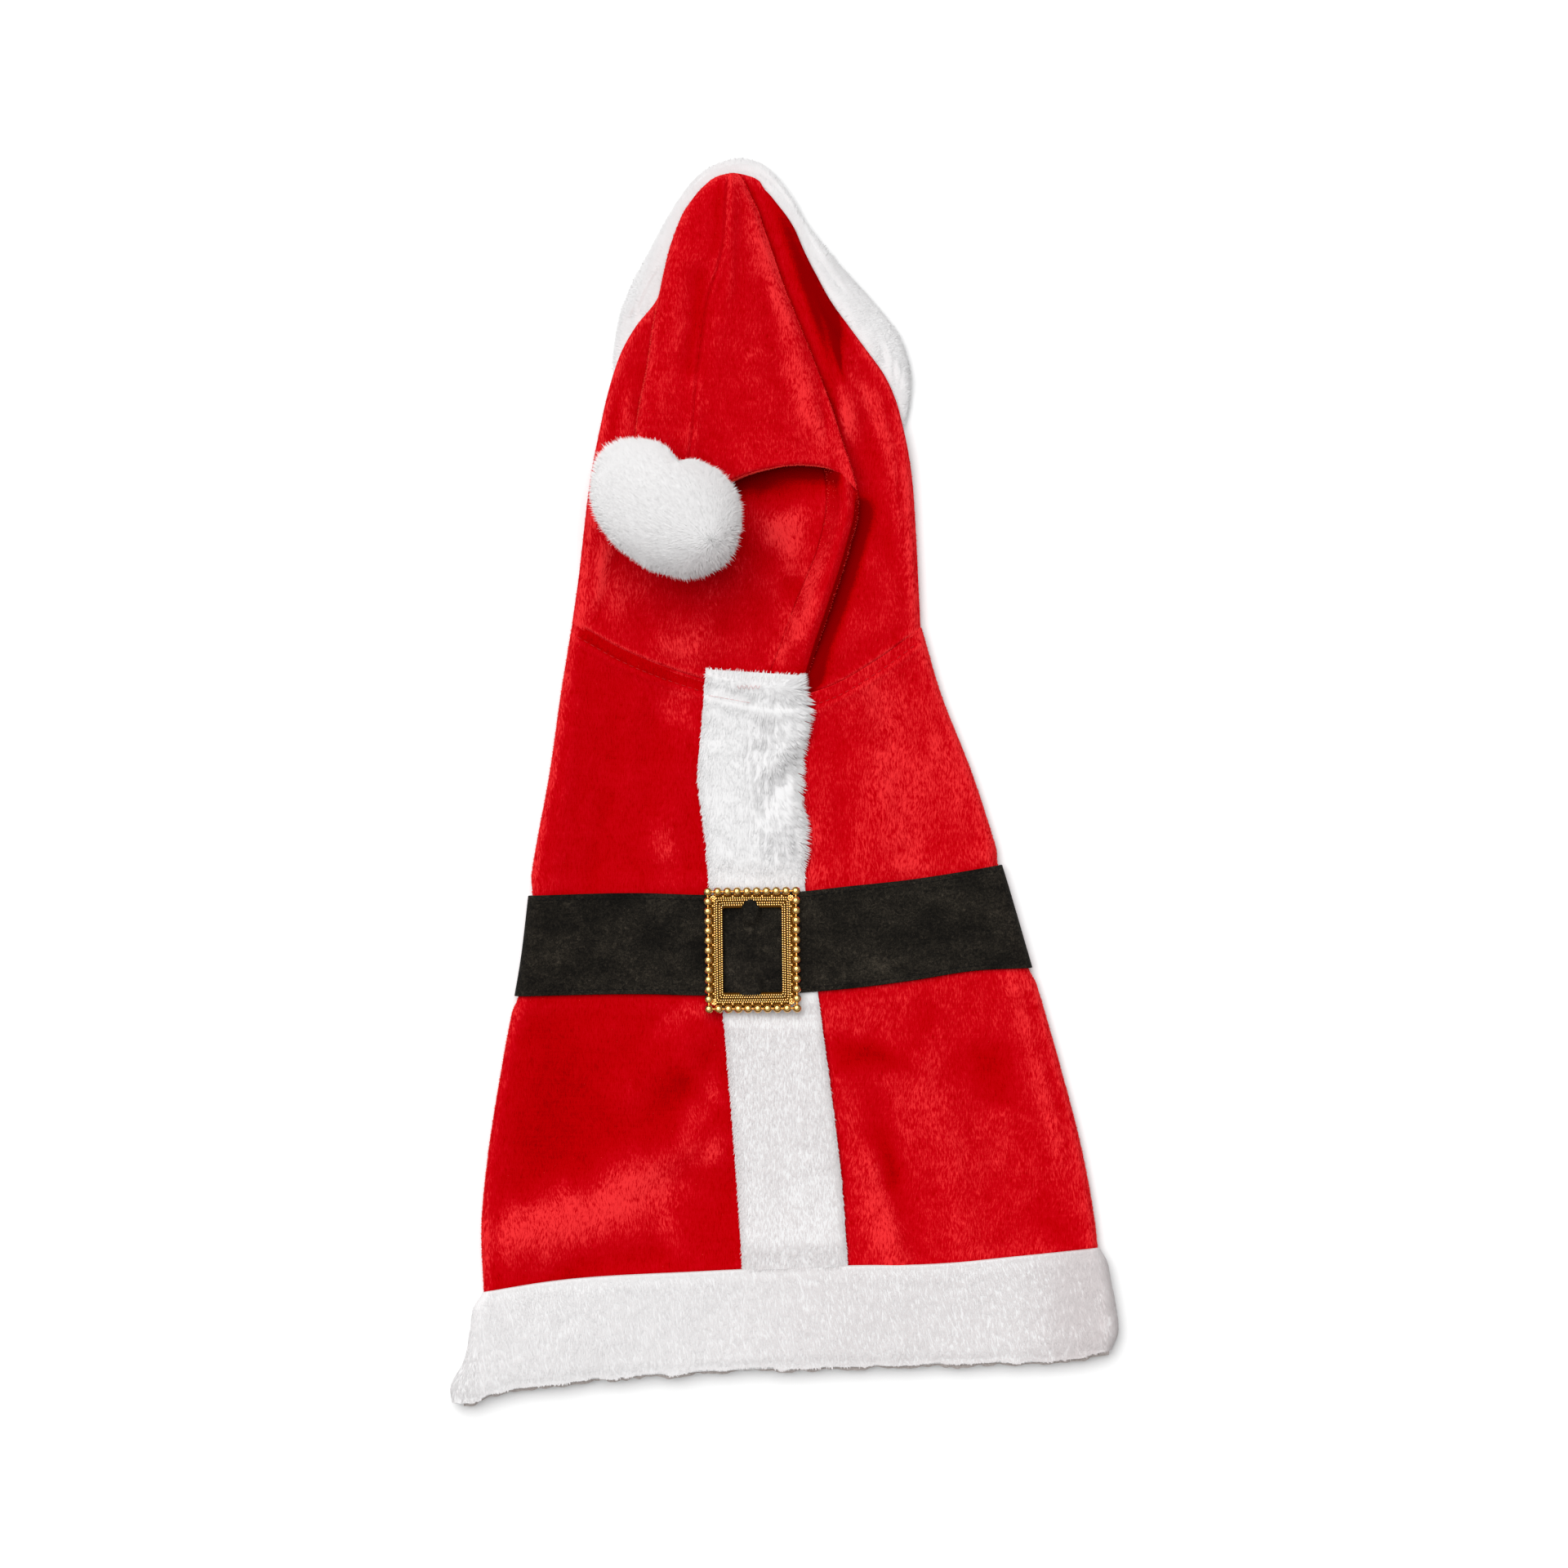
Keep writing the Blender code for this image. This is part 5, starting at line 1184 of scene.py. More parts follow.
def pompom_underside(x, y):
    """Height of the pompom's lower side over (x, y), or far above everything outside its outline."""
    c, s = math.cos(POMPOM_TURN), math.sin(POMPOM_TURN)
    dx, dy = x - POMPOM_AT[0], y - POMPOM_AT[1]
    reach = ((dx * c + dy * s) / POMPOM_HALF[0]) ** 2 + ((dy * c - dx * s) / POMPOM_HALF[1]) ** 2
    inside = POMPOM_FOOT + POMPOM_HALF[2] * (1 - np.sqrt(np.maximum(1 - reach, 0)))
    return np.where(reach < 1, inside, 1000.0)


def quarter_round(share):
    """1 at no share, falling to 0 at a full one as a quarter of a circle."""
    return 1 - np.sqrt(1 - (1 - np.clip(share, 0, 1)) ** 2)


def crown_grids(side, rows=96, columns=40):
    """Upper and lower side of one half of the folded crown. Rows go from the forehead down, and the last
    ones gather to the arch; columns go across, closer together at the rims, where the two sides round
    towards each other."""
    place = np.linspace(0, 1, rows) * (len(CROWN_ROWS) + len(CROWN_HEM_ROWS) - 2)
    last = len(CROWN_ROWS) - 1
    row = np.interp(place, np.arange(last + 1), CROWN_ROWS)[:, None]
    hem = np.interp(place - last, np.arange(len(CROWN_HEM_ROWS)), CROWN_HEM_ROWS)[:, None]
    down = (place / place[-1])[:, None]
    at = mix(row, ARCH_LEVEL, hem)
    left, right = np.minimum(crown_left_edge(at), crown_seam_x(at) - 0.8), crown_right_edge(at)
    seam = crown_seam_x(at) + side * SEWN_GAP
    start, end = (left, seam) if side < 0 else (seam, right)
    share = (1 - np.cos(np.linspace(0, math.pi, columns)))[None, :] / 2
    x = mix(start, end, share)
    y = mix(row, arch_y(x), hem)
    across = (x - left) / (right - left)
    pocket = 1 - smooth((y - arch_y(x)) / POCKET_DEPTH)
    span = np.sin(math.pi * np.clip((x - POCKET_LEFT) / POCKET_WIDTH, 0, 1))
    lower = hood_cover(x, y) + POCKET_LIFT * pocket * span
    middle = np.maximum(np.sin(math.pi * across), 0.0) ** 0.7
    hump = mix(CROWN_STANDS[0], CROWN_STANDS[1], down**0.8) * mix(CROWN_SIDES, 1.0, middle)
    fine = fold_height(x, y, CROWN_FOLDS) + 0.22 * flat_noise(x, y, 17, 21) + 0.1 * flat_noise(x, y, 7, 22)
    upper = np.maximum(hood_lie(x, y) + hump + fine * smooth(middle * 2.2), lower + CROWN_WALL)
    upper = np.maximum(np.minimum(upper, pompom_underside(x, y) - POMPOM_GAP), lower + CROWN_PRESSED)
    outer_edge = (x - left) if side < 0 else (right - x)
    seam_edge = np.abs(x - crown_seam_x(at))
    half = (upper - lower) / 2
    from_rim = np.minimum(np.minimum(outer_edge / 2.6, (y - arch_y(x)) / 2.4), (CROWN_ROWS[0] - y) / 2.2)
    tuck = quarter_round(from_rim)
    upper = upper - half * tuck * 0.9 - 0.3 * bell(seam_edge, 0.7) + 0.35 * bell(seam_edge - 1.6, 1.0)
    lower = lower + half * tuck * 0.5
    upper = np.maximum(upper, lower + 0.25)
    settled = smooth((x - 18) / 9) * (1 - smooth((y - arch_y(x)) / 18))
    pleat_top = hood_cover(x, y) - CROWN_GAP
    upper = mix(upper, pleat_top + 0.45 - 0.7 * tuck, settled)
    lower = mix(lower, pleat_top - 1.6, settled)
    return np.stack([x, y, upper], axis=-1), np.stack([x, y, lower], axis=-1)


def crown_nap_and_shading(grid):
    x, y = grid[..., 0], grid[..., 1]
    nap = brushed(x, y, CROWN_NAP_AND_SHADING, 0.3) + painted_relief_shading(grid)
    # Painted rim highlights over the side folds and along the top of the dome.
    nap = nap + 0.5 * painted_rim_highlight(x, crown_left_edge(y), crown_right_edge(y)) + 0.3 * bell(252.2 - y, 4.0)
    # Painted highlight in a band inside the crown's right fold edge, where the fold rounds over.
    beside = crown_right_edge(y) - x + 2.5 * flat_noise(x, y, 12, 31)
    nap = nap + (0.22 + 0.15 * flat_noise(x, y, 16, 32)) * bell(beside - 4.5, 4.2)
    # Painted highlight on the centre seam's ridge and painted shade in the valley left of it.
    past_seam = x - crown_seam_x(y)
    at_seam = 0.3 * bell(past_seam - 0.6, 0.7) - 0.2 * bell(past_seam + 3.2, 2.6)
    return nap + at_seam * smooth((y - 206) / 30)


def make_crown(looks):
    for side, name in ((-1, "left"), (1, "right")):
        upper, lower = crown_grids(side)
        half = wall_piece("crown_" + name + "_velour", upper, lower, looks.velour(), crown_nap_and_shading(upper), 0.12)
        sheathe(half, "crown_" + name, "velour")
        pile = fuzz("crown_" + name + "_fuzz", upper, looks.crown_fuzz, 23, looks.velour_pile())


# Fur

# The ring's cross-section: shares of the way out from the face, of its height, and of its free fur's height
TRIM_SECTION = [
    (0.00, 0.45, 0.0), (0.05, 0.10, 0.0), (0.12, 0.00, 0.0), (0.5, 0.0, 0.0), (0.88, 0.00, 0.0),
    (0.94, 0.06, 0.0), (0.975, 0.2, 0.1), (0.985, 0.42, 0.2), (0.975, 0.62, 0.4), (0.95, 0.76, 0.6),
    (0.91, 0.84, 0.72), (0.86, 0.86, 0.78), (0.8, 0.86, 0.7), (0.72, 0.86, 0.5), (0.56, 0.86, 0.0),
    (0.3, 0.84, 0.0), (0.07, 0.76, 0.0),
]
RING_SHOWS_FROM = 249.5


def past_hood(x, y, top):
    """How far (x, y) lies outside the hood's side folds or above top."""
    return np.maximum(np.maximum(hood_left_edge(y) - x, x - hood_right_edge(y)), y - top)


def make_hood_trim(looks):
    """Fur ring round the face opening: a soft core and hairs that lean outwards where the hood doesn't
    cover them."""
    loop = ring_loop(280)
    from_x, from_y = loop[:, 0] - FACE_AT[0], loop[:, 1] - FACE_AT[1]
    angle = np.arctan2(from_y / FACE_HALF[1], from_x / FACE_HALF[0])
    share, height, free = (np.array(TRIM_SECTION)[:, n][:, None] for n in range(3))
    x = mix((FACE_AT[0] + FACE_HALF[0] * np.cos(angle))[None], loop[None, :, 0], share)
    y = mix((FACE_AT[1] + FACE_HALF[1] * np.sin(angle))[None], loop[None, :, 1], share)
    past = past_hood(x, y, RING_SHOWS_FROM)
    z = RING_TOP * height + RING_FREE * free * smooth((past - RING_PRESSED) / 5)
    z = z + 0.4 * free * flat_noise(x, y, 6, 31) * smooth(past / 4)
    grid = np.stack([x, y, z], axis=-1)
    core = mesh_piece("hood_trim_core", grid.reshape(-1, 3), grid_quads(*x.shape, True, True).tolist(),
                      looks.fur_core())
    lift_normals(core)
    sheathe(core, "hood_trim", "fur")
    rng = np.random.default_rng(11)
    closed = np.concatenate([grid, grid[:, :1]], axis=1)
    middle = cell_means(closed)
    shown = past_hood(middle[..., 0], middle[..., 1], RING_SHOWS_FROM - 1)
    weight = 0.04 + smooth((shown + 1.0) / 2.5) * smooth((middle[..., 2] - 0.6) / 1.5)
    weight = weight * (0.1 + 0.9 * smooth((cell_means(grid_normals(closed, 1)[..., 2]) - 0.1) / 0.4))
    count = looks.trim_hairs
    places, normals = scatter(closed, count, rng, weight)
    from_face = places - [*FACE_AT, 0]
    outward = unit(from_face * (1, 0.4, 0))
    flat = laid(outward + drift(places, 5, 41) * 0.16 + rng.normal(size=places.shape) * 0.1, normals)
    heading = unit(normals * 0.13 + flat)
    length = (1.3 + 0.9 * rng.random(count))[:, None]
    pull = tuft_pull(places, normals, 2.6, 5) * 0.04
    width = 0.18 + 0.12 * rng.random(count)
    shade = 0.6 + 0.2 * rng.random(count)
    hair = blades("hood_trim_hair", places, normals, heading * length + pull, width, 0.0, looks.hair(), shade,
                  lift=2.0)
    sheathe(hair, None, "fur")


def strip_pile(y, stage):
    """Thickness of the centre strip's pile, pressed down by the belt and the buckle and thin at its
    ends."""
    beyond = np.maximum(belt_bottom_y(BUCKLE_AT[0]) - y, y - belt_top_y(BUCKLE_AT[0]))
    pile = mix(STRIP_HELD, STRIP_PILE, smooth((beyond - STRIP_HELD_REACH) / 8))
    pile = np.where(stage > 2.9, mix(pile, STRIP_AT_HEM, smooth((stage - 2.9) / 0.1)), pile)
    under_belt = smooth((stage - 0.97) / 0.03) * smooth((2.04 - stage) / 0.04)
    return mix(pile, STRIP_PRESSED, under_belt)


STRIP_TOP = 46.0
STRIP_TOP_SLANT = 0.065
STRIP_FULLNESS = [0.0, 0.04, 0.18, 0.82, 0.96, 1.0]
STRIP_CROWN = [0.42, 0.82, 1.0, 1.0, 0.82, 0.42]
STRIP_FOLDS = table(Fold, (-9, -14, 6, 12, -1.0, 4.0, 5.0), (-6, 4, 9, 24, 0.9, 3.5, 3.5))


def strip_grid(columns=36):
    """The centre strip's underside and how thick its pile is over it, from its top end on the hood to the
    hem. The last value is the row's stage."""
    share = np.linspace(0, 1, columns)[None, :]
    over = np.linspace(0, 1, 12, endpoint=False)[:, None]
    x_over = mix(strip_left(STRIP_TOP), strip_right(STRIP_TOP), share) + 0.0 * over
    top = STRIP_TOP - STRIP_TOP_SLANT * (x_over - strip_left(STRIP_TOP))
    y_over = mix(top, neck_y(x_over) - SEAM_GAP, over)
    z_over = np.maximum(hood_lie(x_over, y_over) + hood_folds(x_over, y_over) + pleat_rise(x_over, y_over),
                        back_height(x_over, y_over)) + LAY_GAP + 0.2
    stage = BACK_STAGES[1:, None]
    x_down = mix(meet(stage, strip_left), meet(stage, strip_right), share)
    y_down = stage_y(stage, x_down)
    z_down = back_height(x_down, y_down) + LAY_GAP
    x, y, z = (np.concatenate(pair) for pair in ((x_over, x_down), (y_over, y_down), (z_over, z_down)))
    soft = z[:60]
    for _ in range(40):
        soft = np.concatenate([soft[:1], (soft[:-2] + 2 * soft[1:-1] + soft[2:]) / 4, soft[-1:]])
    z = np.concatenate([np.maximum(z[:60], soft), z[60:]])
    stages = np.concatenate([0 * over, stage]) + 0 * share
    end = np.concatenate([mix(0.5, 1.0, smooth(over * 2)), 1 + 0 * stage])
    pile = strip_pile(y, stages) * end * np.interp(share, STRIP_FULLNESS, STRIP_CROWN)
    return np.stack([x, y, z], axis=-1), pile, stages


def make_centre_strip(looks):
    """Fur strip down the back: a core at seven tenths of the pile and hairs over it, shaggy and curled above
    the belt and smoother below."""
    foot, pile, stage = strip_grid()
    rough = smooth((1.02 - stage) / 0.2)
    lumps = 0.4 * flat_noise(foot[..., 0], foot[..., 1], 4.5, 51) * mix(0.15, 0.8, rough)
    lumps = lumps + fold_height(foot[..., 0], foot[..., 1], STRIP_FOLDS)
    pressed = smooth((stage - 0.98) / 0.02) * smooth((2.02 - stage) / 0.02)
    lumps = lumps * (1 - pressed) * smooth(pile / 3)
    upper = foot.copy()
    upper[..., 2] += np.maximum(pile * mix(0.72, 0.98, pressed) + lumps, 0.4)
    core = wall_piece("centre_strip_core", upper, foot, looks.fur_core(), None, 0.35)
    keep_value(core, "shade", 0.4 * smooth((-60 - points_of(core)[1]) / 40))
    sheathe(core, "centre_strip", "fur")
    rng = np.random.default_rng(12)
    row_stage = cell_means(stage)
    bare = smooth((row_stage - 0.985) / 0.02) * smooth((2.03 - row_stage) / 0.02)
    columns = np.linspace(-1, 1, upper.shape[1] - 1)[None, :]
    count = looks.strip_hairs
    places, normals = scatter(upper, count, rng, (1 - bare) * (1 + 1.3 * np.abs(columns) ** 8))
    x, y = places[:, 0], places[:, 1]
    from_left, from_right, over_neck = x - strip_left(y), strip_right(y) - x, y - neck_y(x)
    share = from_left / (strip_right(y) - strip_left(y))
    shaggy = smooth((y - belt_top_y(x) - 6) / 16) * smooth((neck_y(x) + 4 - y) / 12)
    shaggy = shaggy * mix(0.12, 1.0, smooth((share - 0.35 + 0.12 * flat_noise(x, y, 14, 55)) / 0.35))
    wild, mostly_down = mix(0.07, 0.55, shaggy)[:, None], mix(1.0, 0.85, shaggy)[:, None]
    swirl, curl = drift(places, 6.5, 61), drift(places, 3.0, 71)
    aside = 0.55 * (bell(from_right, 2.4) - bell(from_left, 2.4))
    heading = normals * mix(0.13, 0.24, shaggy)[:, None] + [0.0, -1.0, 0.0] * mostly_down
    heading = heading + np.outer(aside, (0.75, 0.1, -0.1)) + laid(swirl + curl * 0.4, normals) * wild
    heading = heading + np.outer(shaggy * bell(from_right, 9), (0.9, 0.2, 0.0))
    heading = heading + np.outer(smooth((over_neck - 1.0) / 3.5), (0.1, 1.5, 0.0))
    corner = bell(np.hypot(from_right, over_neck), 8)
    heading = unit(heading + np.outer(corner, (1.4, 0.2, 0.2)) + rng.normal(size=places.shape) * 0.11)
    length = (mix(1.7, 4.4, shaggy) + 2.4 * corner) * (0.7 + 0.5 * rng.random(count))
    length = length * (1 - 0.35 * bell(np.maximum(y - belt_top_y(x), belt_bottom_y(x) - y), 3.0))
    gathered = mix(0.03, 0.55, shaggy) * (1 - 0.6 * bell(from_right - 1, 2.5) * (corner < 0.3))
    reach = heading * length[:, None] + tuft_pull(places, normals, 3.6, 6) * gathered[:, None]
    width = mix(0.18, 0.24, shaggy) + 0.14 * rng.random(count)
    shade = 0.26 + 0.16 * rng.random(count) + mix(0.53, 0.4, shaggy) * smooth((y + 60) / 40)
    roots = places - normals * mix(0.0, 0.4, shaggy)[:, None]
    bend = laid(curl, normals) * mix(0.05, 0.35, shaggy)[:, None]
    lift = mix(2.2, 1.4, shaggy)[:, None]
    hair = blades("centre_strip_hair", roots, normals, reach, width, bend, looks.hair(), shade, lift=lift)
    sheathe(hair, None, "fur")
    x = np.concatenate([np.linspace(-31.3, -13.9, 9), [np.nan], np.linspace(-19.4, -9.9, 11)])
    y = np.concatenate([np.linspace(35.4, 32.3, 9), [np.nan], 38.8 + 0.9 * (-1.0) ** np.arange(11)])
    apart = upper[None, ..., :2] - np.stack([x, y], axis=-1)[:, None, None]
    near = (apart**2).sum(axis=-1).reshape(len(x), -1)
    height = upper[..., 2].reshape(-1)[np.nan_to_num(near, nan=1e9).argmin(axis=1)] + 1.5
    thread = thread_finish("pale thread", (0.72, 0.42, 0.42))
    sheathe(thread_piece("strip_end_stitches", [stitch_row(x, y, height, 1.0)], 0.22, thread), None, "fur")


BAND_CORE = 0.88
BAND_ROUNDING = 0.14
BAND_THIN_AT_SEAM = 0.13
BAND_THIN_AT_CUT = 0.2
BAND_RIPPLE = 0.7
BAND_RIPPLE_PACE = 19.0


def scallop(x):
    """How unevenly the hem's raw edge was cut: a shift along the coat, in small scallops."""
    return flat_noise(x, 0 * x, 6.5, 83) + 0.5 * flat_noise(x, 0 * x, 2.4, 84)


def band_grid(v, thickness, columns=190, arc=15, lumps=0.0):
    """Rings of the hem band at v, from 0 at the hem seam to 1 at the cut edge: along the top, round the
    right side, back along the bottom and round the left side, thickness outside the band's inner face."""
    v = np.asarray(v, float)[:, None]
    left, right = hem_left(v), hem_right(v)
    at_seam = 1 - smooth(v / BAND_ROUNDING)
    at_cut = smooth((v - 1 + BAND_ROUNDING) / BAND_ROUNDING)
    full = 1 - BAND_THIN_AT_SEAM * at_seam - BAND_THIN_AT_CUT * at_cut
    middle = BAND_TOP / 2
    half = middle - BAND_WALL + thickness * full
    share = np.linspace(0, 1, columns)[None, :]
    turn = np.radians(np.linspace(90, -90, arc + 2))[None, 1:-1]
    x_top = mix(left + middle, right - middle, share)
    x_right = right - middle + half * np.cos(turn)
    x_left = left + middle - half * np.cos(turn)
    x = np.concatenate([x_top, x_right, x_top[:, ::-1], x_left], axis=1)
    level, turned_up = 0 * x_top, np.sin(turn) + 0 * left
    rise = np.concatenate([level + 1, turned_up, level - 1, -turned_up], axis=1)
    y = mix(hem_seam_y(x), hem_edge_y(x), v) + lumps * 5 * scallop(x) * at_cut
    upward = np.maximum(rise, 0)
    lift = BAND_RIPPLE * np.sin(x / BAND_RIPPLE_PACE) * np.sin(math.pi * v)
    lift = lift + lumps * flat_noise(x, y, 7, 81) + lumps * 0.7 * flat_noise(x, y, 3.4, 82)
    return np.stack([x, y, middle + half * rise + lift * upward], axis=-1)


def make_hem_band(looks):
    """Fur band round the hem: a soft core, short dense hairs combed down and a little to the right, and the
    knitted backing that shows along its raw edge."""
    rows = np.concatenate([[0, 0.015, 0.035], np.linspace(0.06, 0.94, 24), [0.965, 0.985, 1.0]])
    outer, inner = band_grid(rows, BAND_WALL * BAND_CORE, lumps=0.16), band_grid(rows, 0.0)
    core = wall_piece("hem_band_core", outer, inner, looks.fur_core(), None, 0.5, around=True)
    x, y = points_of(core)
    keep_value(core, "shade", 0.25 * smooth((x + 60) / 90) + 0.75 * smooth((x - 88) / 40))
    sheathe(core, "hem_band", "fur")
    rng = np.random.default_rng(13)
    closed = np.concatenate([outer, outer[:, :1]], axis=1)
    middle = cell_means(closed)
    rim = np.concatenate([[2.4, 2.0], np.full(len(rows) - 5, 1.0), [2.2, 2.6]])[:, None]
    facing = 0.12 + 0.88 * smooth((middle[..., 2] - 2.0) / 3.0)
    facing = np.maximum(facing, 0.5 * smooth((middle[..., 0] - 122) / 4))
    count = looks.band_hairs
    places, leaning = scatter(closed, count, rng, facing * rim)
    x, y = places[:, 0], places[:, 1]
    off_middle = np.stack([x - np.clip(x, -126.0, 128.0), 0 * x, places[:, 2] - BAND_TOP / 2], axis=-1)
    normals = unit(off_middle + [0, 0, 1e-6])
    leaning = leaning * np.sign((leaning * normals).sum(axis=-1, keepdims=True))
    normals = unit(normals * (1, 0, 1) + leaning * (0, 1, 0))
    v = (hem_seam_y(x) - y) / (hem_seam_y(x) - hem_edge_y(x))
    at_cut, at_seam = bell(1 - v, 0.07), bell(v, 0.04)
    swirl, curl = drift(places, 6, 91), drift(places, 2.6, 95)
    wild = 0.15 + 0.25 * at_cut[:, None]
    flat = (swirl + curl * 0.6) * wild + [0.2, -1.0, 0.0] + rng.normal(size=places.shape) * 0.1
    heading = unit(normals * 0.14 + laid(flat, normals))
    length = (1.4 + 1.0 * rng.random(count)) * (1 - 0.6 * at_cut) * (1 - 0.35 * at_seam)
    reach = heading * length[:, None] + tuft_pull(places, normals, 3.2, 7) * (0.03 + 0.2 * at_cut)[:, None]
    width = 0.2 + 0.15 * rng.random(count)
    shade = 0.5 + 0.14 * rng.random(count)
    shade = shade * (1 - 0.36 * smooth((x + 60) / 90) - 0.44 * smooth((x - 90) / 36))
    bend = laid(curl, normals) * 0.06
    hair = blades("hem_band_hair", places, normals, reach, width, bend, looks.hair(), shade, lift=1.0)
    sheathe(hair, None, "fur")
    make_raw_edge()


def make_raw_edge():
    """Knitted backing along the hem's raw edge: a thin ribbon that stands out past the fur by an uneven
    width on the upper layer."""
    x = np.linspace(-133, 135, 420)[:, None]
    share = np.linspace(0, 1, 7)[None, :]
    out = 1.5 + 0.5 * flat_noise(x, 0 * x, 3, 101)
    y = mix(hem_edge_y(x) + 3.0, hem_edge_y(x) + 0.8 * scallop(x) - out, share)
    z = BAND_TOP / 2 + 1.25 - 0.9 * share**2 + 0.3 * flat_noise(x, 0 * x, 9, 103)
    upper = np.stack(np.broadcast_arrays(x, y, z), axis=-1)
    lower = upper - [0, 0, 0.6]
    ribbon = wall_piece("hem_raw_edge", upper, lower, backing_finish(), None, 0.15)
    return sheathe(ribbon, None, "fur")


BALL_SPAN = 30
BALL_CORE = 0.91
BALL_ROOTS = 0.9
# The ball's outline from above: angles in degrees and how far out it lies, as a share of a plain oval
BALL_OUTLINE = [
    (0, 1.05), (10, 1.06), (18, 1.065), (26, 1.045), (36, 1.01), (47, 0.94), (57, 0.89), (66, 0.8),
    (73, 0.725), (80, 0.79), (87, 0.87), (95, 0.915), (104, 0.945), (117, 0.993), (126, 1.02), (134, 1.027),
    (143, 1.02), (161, 0.99), (183, 0.985), (196, 0.975), (212, 0.965), (225, 0.947), (238, 0.93),
    (251, 0.955), (270, 0.95), (280, 0.965), (287, 0.995), (302, 0.985), (318, 1.01), (338, 1.0),
    (349, 1.03),
]


def ball_swell(way):
    """How far the pompom's outline lies from a plain oval's, for directions from its middle: a share by the
    angle seen from above, with a notch where the crown's tip is sewn in. It fades out towards the top."""
    along, across = way[..., 0] * POMPOM_HALF[0], way[..., 1] * POMPOM_HALF[1]
    angle = np.degrees(np.arctan2(across, along) + POMPOM_TURN) % 360
    share = np.interp(angle, *np.array(BALL_OUTLINE).T, period=360)
    level = np.linalg.norm(way[..., :2], axis=-1)
    return (1 + (share - 1) * (level / np.maximum(np.linalg.norm(way, axis=-1), 1e-9)) ** 4)[..., None]


def ball_placed(ball):
    """From the pompom's own round unit to its place on the hood, turned and stretched to its half
    widths."""
    c, s = math.cos(POMPOM_TURN), math.sin(POMPOM_TURN)
    along, across, up = (ball[..., n] * POMPOM_HALF[n] for n in range(3))
    return np.stack([
        POMPOM_AT[0] + along * c - across * s, POMPOM_AT[1] + along * s + across * c,
        POMPOM_FOOT + POMPOM_HALF[2] + up], axis=-1)


def round_ball(rows, columns):
    """Points and faces of a ball of radius 1 by latitude and longitude: its rings of points, then its
    lowest and its highest point."""
    turn = np.linspace(-math.pi / 2, math.pi / 2, rows + 2)[1:-1, None]
    around = np.linspace(0, 2 * math.pi, columns, endpoint=False)[None, :]
    rings = np.stack(np.broadcast_arrays(
        np.cos(turn) * np.cos(around), np.cos(turn) * np.sin(around), np.sin(turn)), axis=-1)
    points = np.concatenate([rings.reshape(-1, 3), [-UP, UP]])
    k, last = np.arange(columns), (rows - 1) * columns
    beside = (k + 1) % columns
    bottom = np.stack([np.full(columns, len(points) - 2), beside, k], axis=-1)
    top = np.stack([np.full(columns, len(points) - 1), last + k, last + beside], axis=-1)
    return points, grid_quads(rows, columns, True), np.concatenate([bottom, top])


def make_pompom(looks):
    """Fur ball: a core nine tenths of its size and short dense hairs that fill it out to its outline."""
    ball, quads, caps = round_ball(46, 72)
    lump = 1 + 0.015 * noise(ball * BALL_SPAN, 6, 111)[..., None]
    core = mesh_piece("pompom_core", ball_placed(ball * ball_swell(ball) * BALL_CORE * lump),
                      quads.tolist() + caps.tolist(), fur_core_finish("pompom fur", looks.pompom_colour))
    lift_normals(core)
    sheathe(core, "pompom", "fur")
    rng = np.random.default_rng(14)
    count = looks.pompom_hairs
    way = unit(rng.normal(size=(count, 3)))
    way[:, 2] = np.where(way[:, 2] < -0.35, -way[:, 2], way[:, 2])
    roots = ball_placed(way * ball_swell(way) * BALL_ROOTS)
    normals = unit(ball_placed(way / np.array(POMPOM_HALF) * 20) - ball_placed(0 * way))
    places = way * BALL_SPAN
    swirl, curl = drift(places, 8, 121), drift(places, 2.4, 131)
    tuft = tuft_pull(places, way, 2.4, 8) / BALL_SPAN
    low = smooth((0.55 - way[:, 2]) / 0.35)
    out = mix(0.94, 0.975, low) + mix(0.02, 0.05, low) * rng.random(count)
    out = out + 0.06 * low * rng.random(count) ** 8
    away = way * (1, 1, 0) - np.array(POMPOM_WHORL)
    far = np.linalg.norm(away, axis=-1)
    lean = unit(away) * (0.22 * smooth(far / 0.35) * smooth((way[:, 2] - 0.2) / 0.5))[:, None]
    lean = lean - np.outer(0.17 * smooth((0.65 - way[:, 2]) / 0.45), UP)
    strays = lean + tuft * 0.06 + swirl * 0.04 + curl * 0.02 + rng.normal(size=way.shape) * 0.022
    turned = unit(way + laid(strays, way))
    reach = ball_placed(turned * ball_swell(turned) * out[:, None]) - roots
    standing = bell(np.linalg.norm(reach[:, :2], axis=-1) / np.linalg.norm(reach, axis=-1), 0.4)
    reach = reach * (1 - 0.5 * standing)[:, None]
    # Painted shade: the lower right flank, away from the light, is painted darker.
    shade = (0.78 + 0.2 * rng.random(count)) * (1 - 0.5 * smooth((normals @ (0.6, -0.8, 0.0) - 0.4) / 0.6))
    width = 0.22 + 0.14 * rng.random(count)
    bend = rng.normal(size=way.shape) * 0.1
    # Painted light: hairs that stand up are painted lighter, which hides the shade between them.
    hair = blades("pompom_hair", roots, normals, reach, width, bend,
                  hair_finish("pompom hair", looks.pompom_colour), shade * (1 + 0.5 * standing), 0.9, 3.2)
    sheathe(hair, None, "fur")


# Belt and buckle


def under_belt(x, y):
    """Height that the pressed strip adds under the belt."""
    share = (x - strip_left(y)) / (strip_right(y) - strip_left(y))
    return (LAY_GAP + STRIP_PRESSED) * smooth((share + 0.12) / 0.3) * smooth((1.12 - share) / 0.3)


def belt_upper(x, y, felt):
    return back_height(x, y) + LAY_GAP + felt + under_belt(x, y)


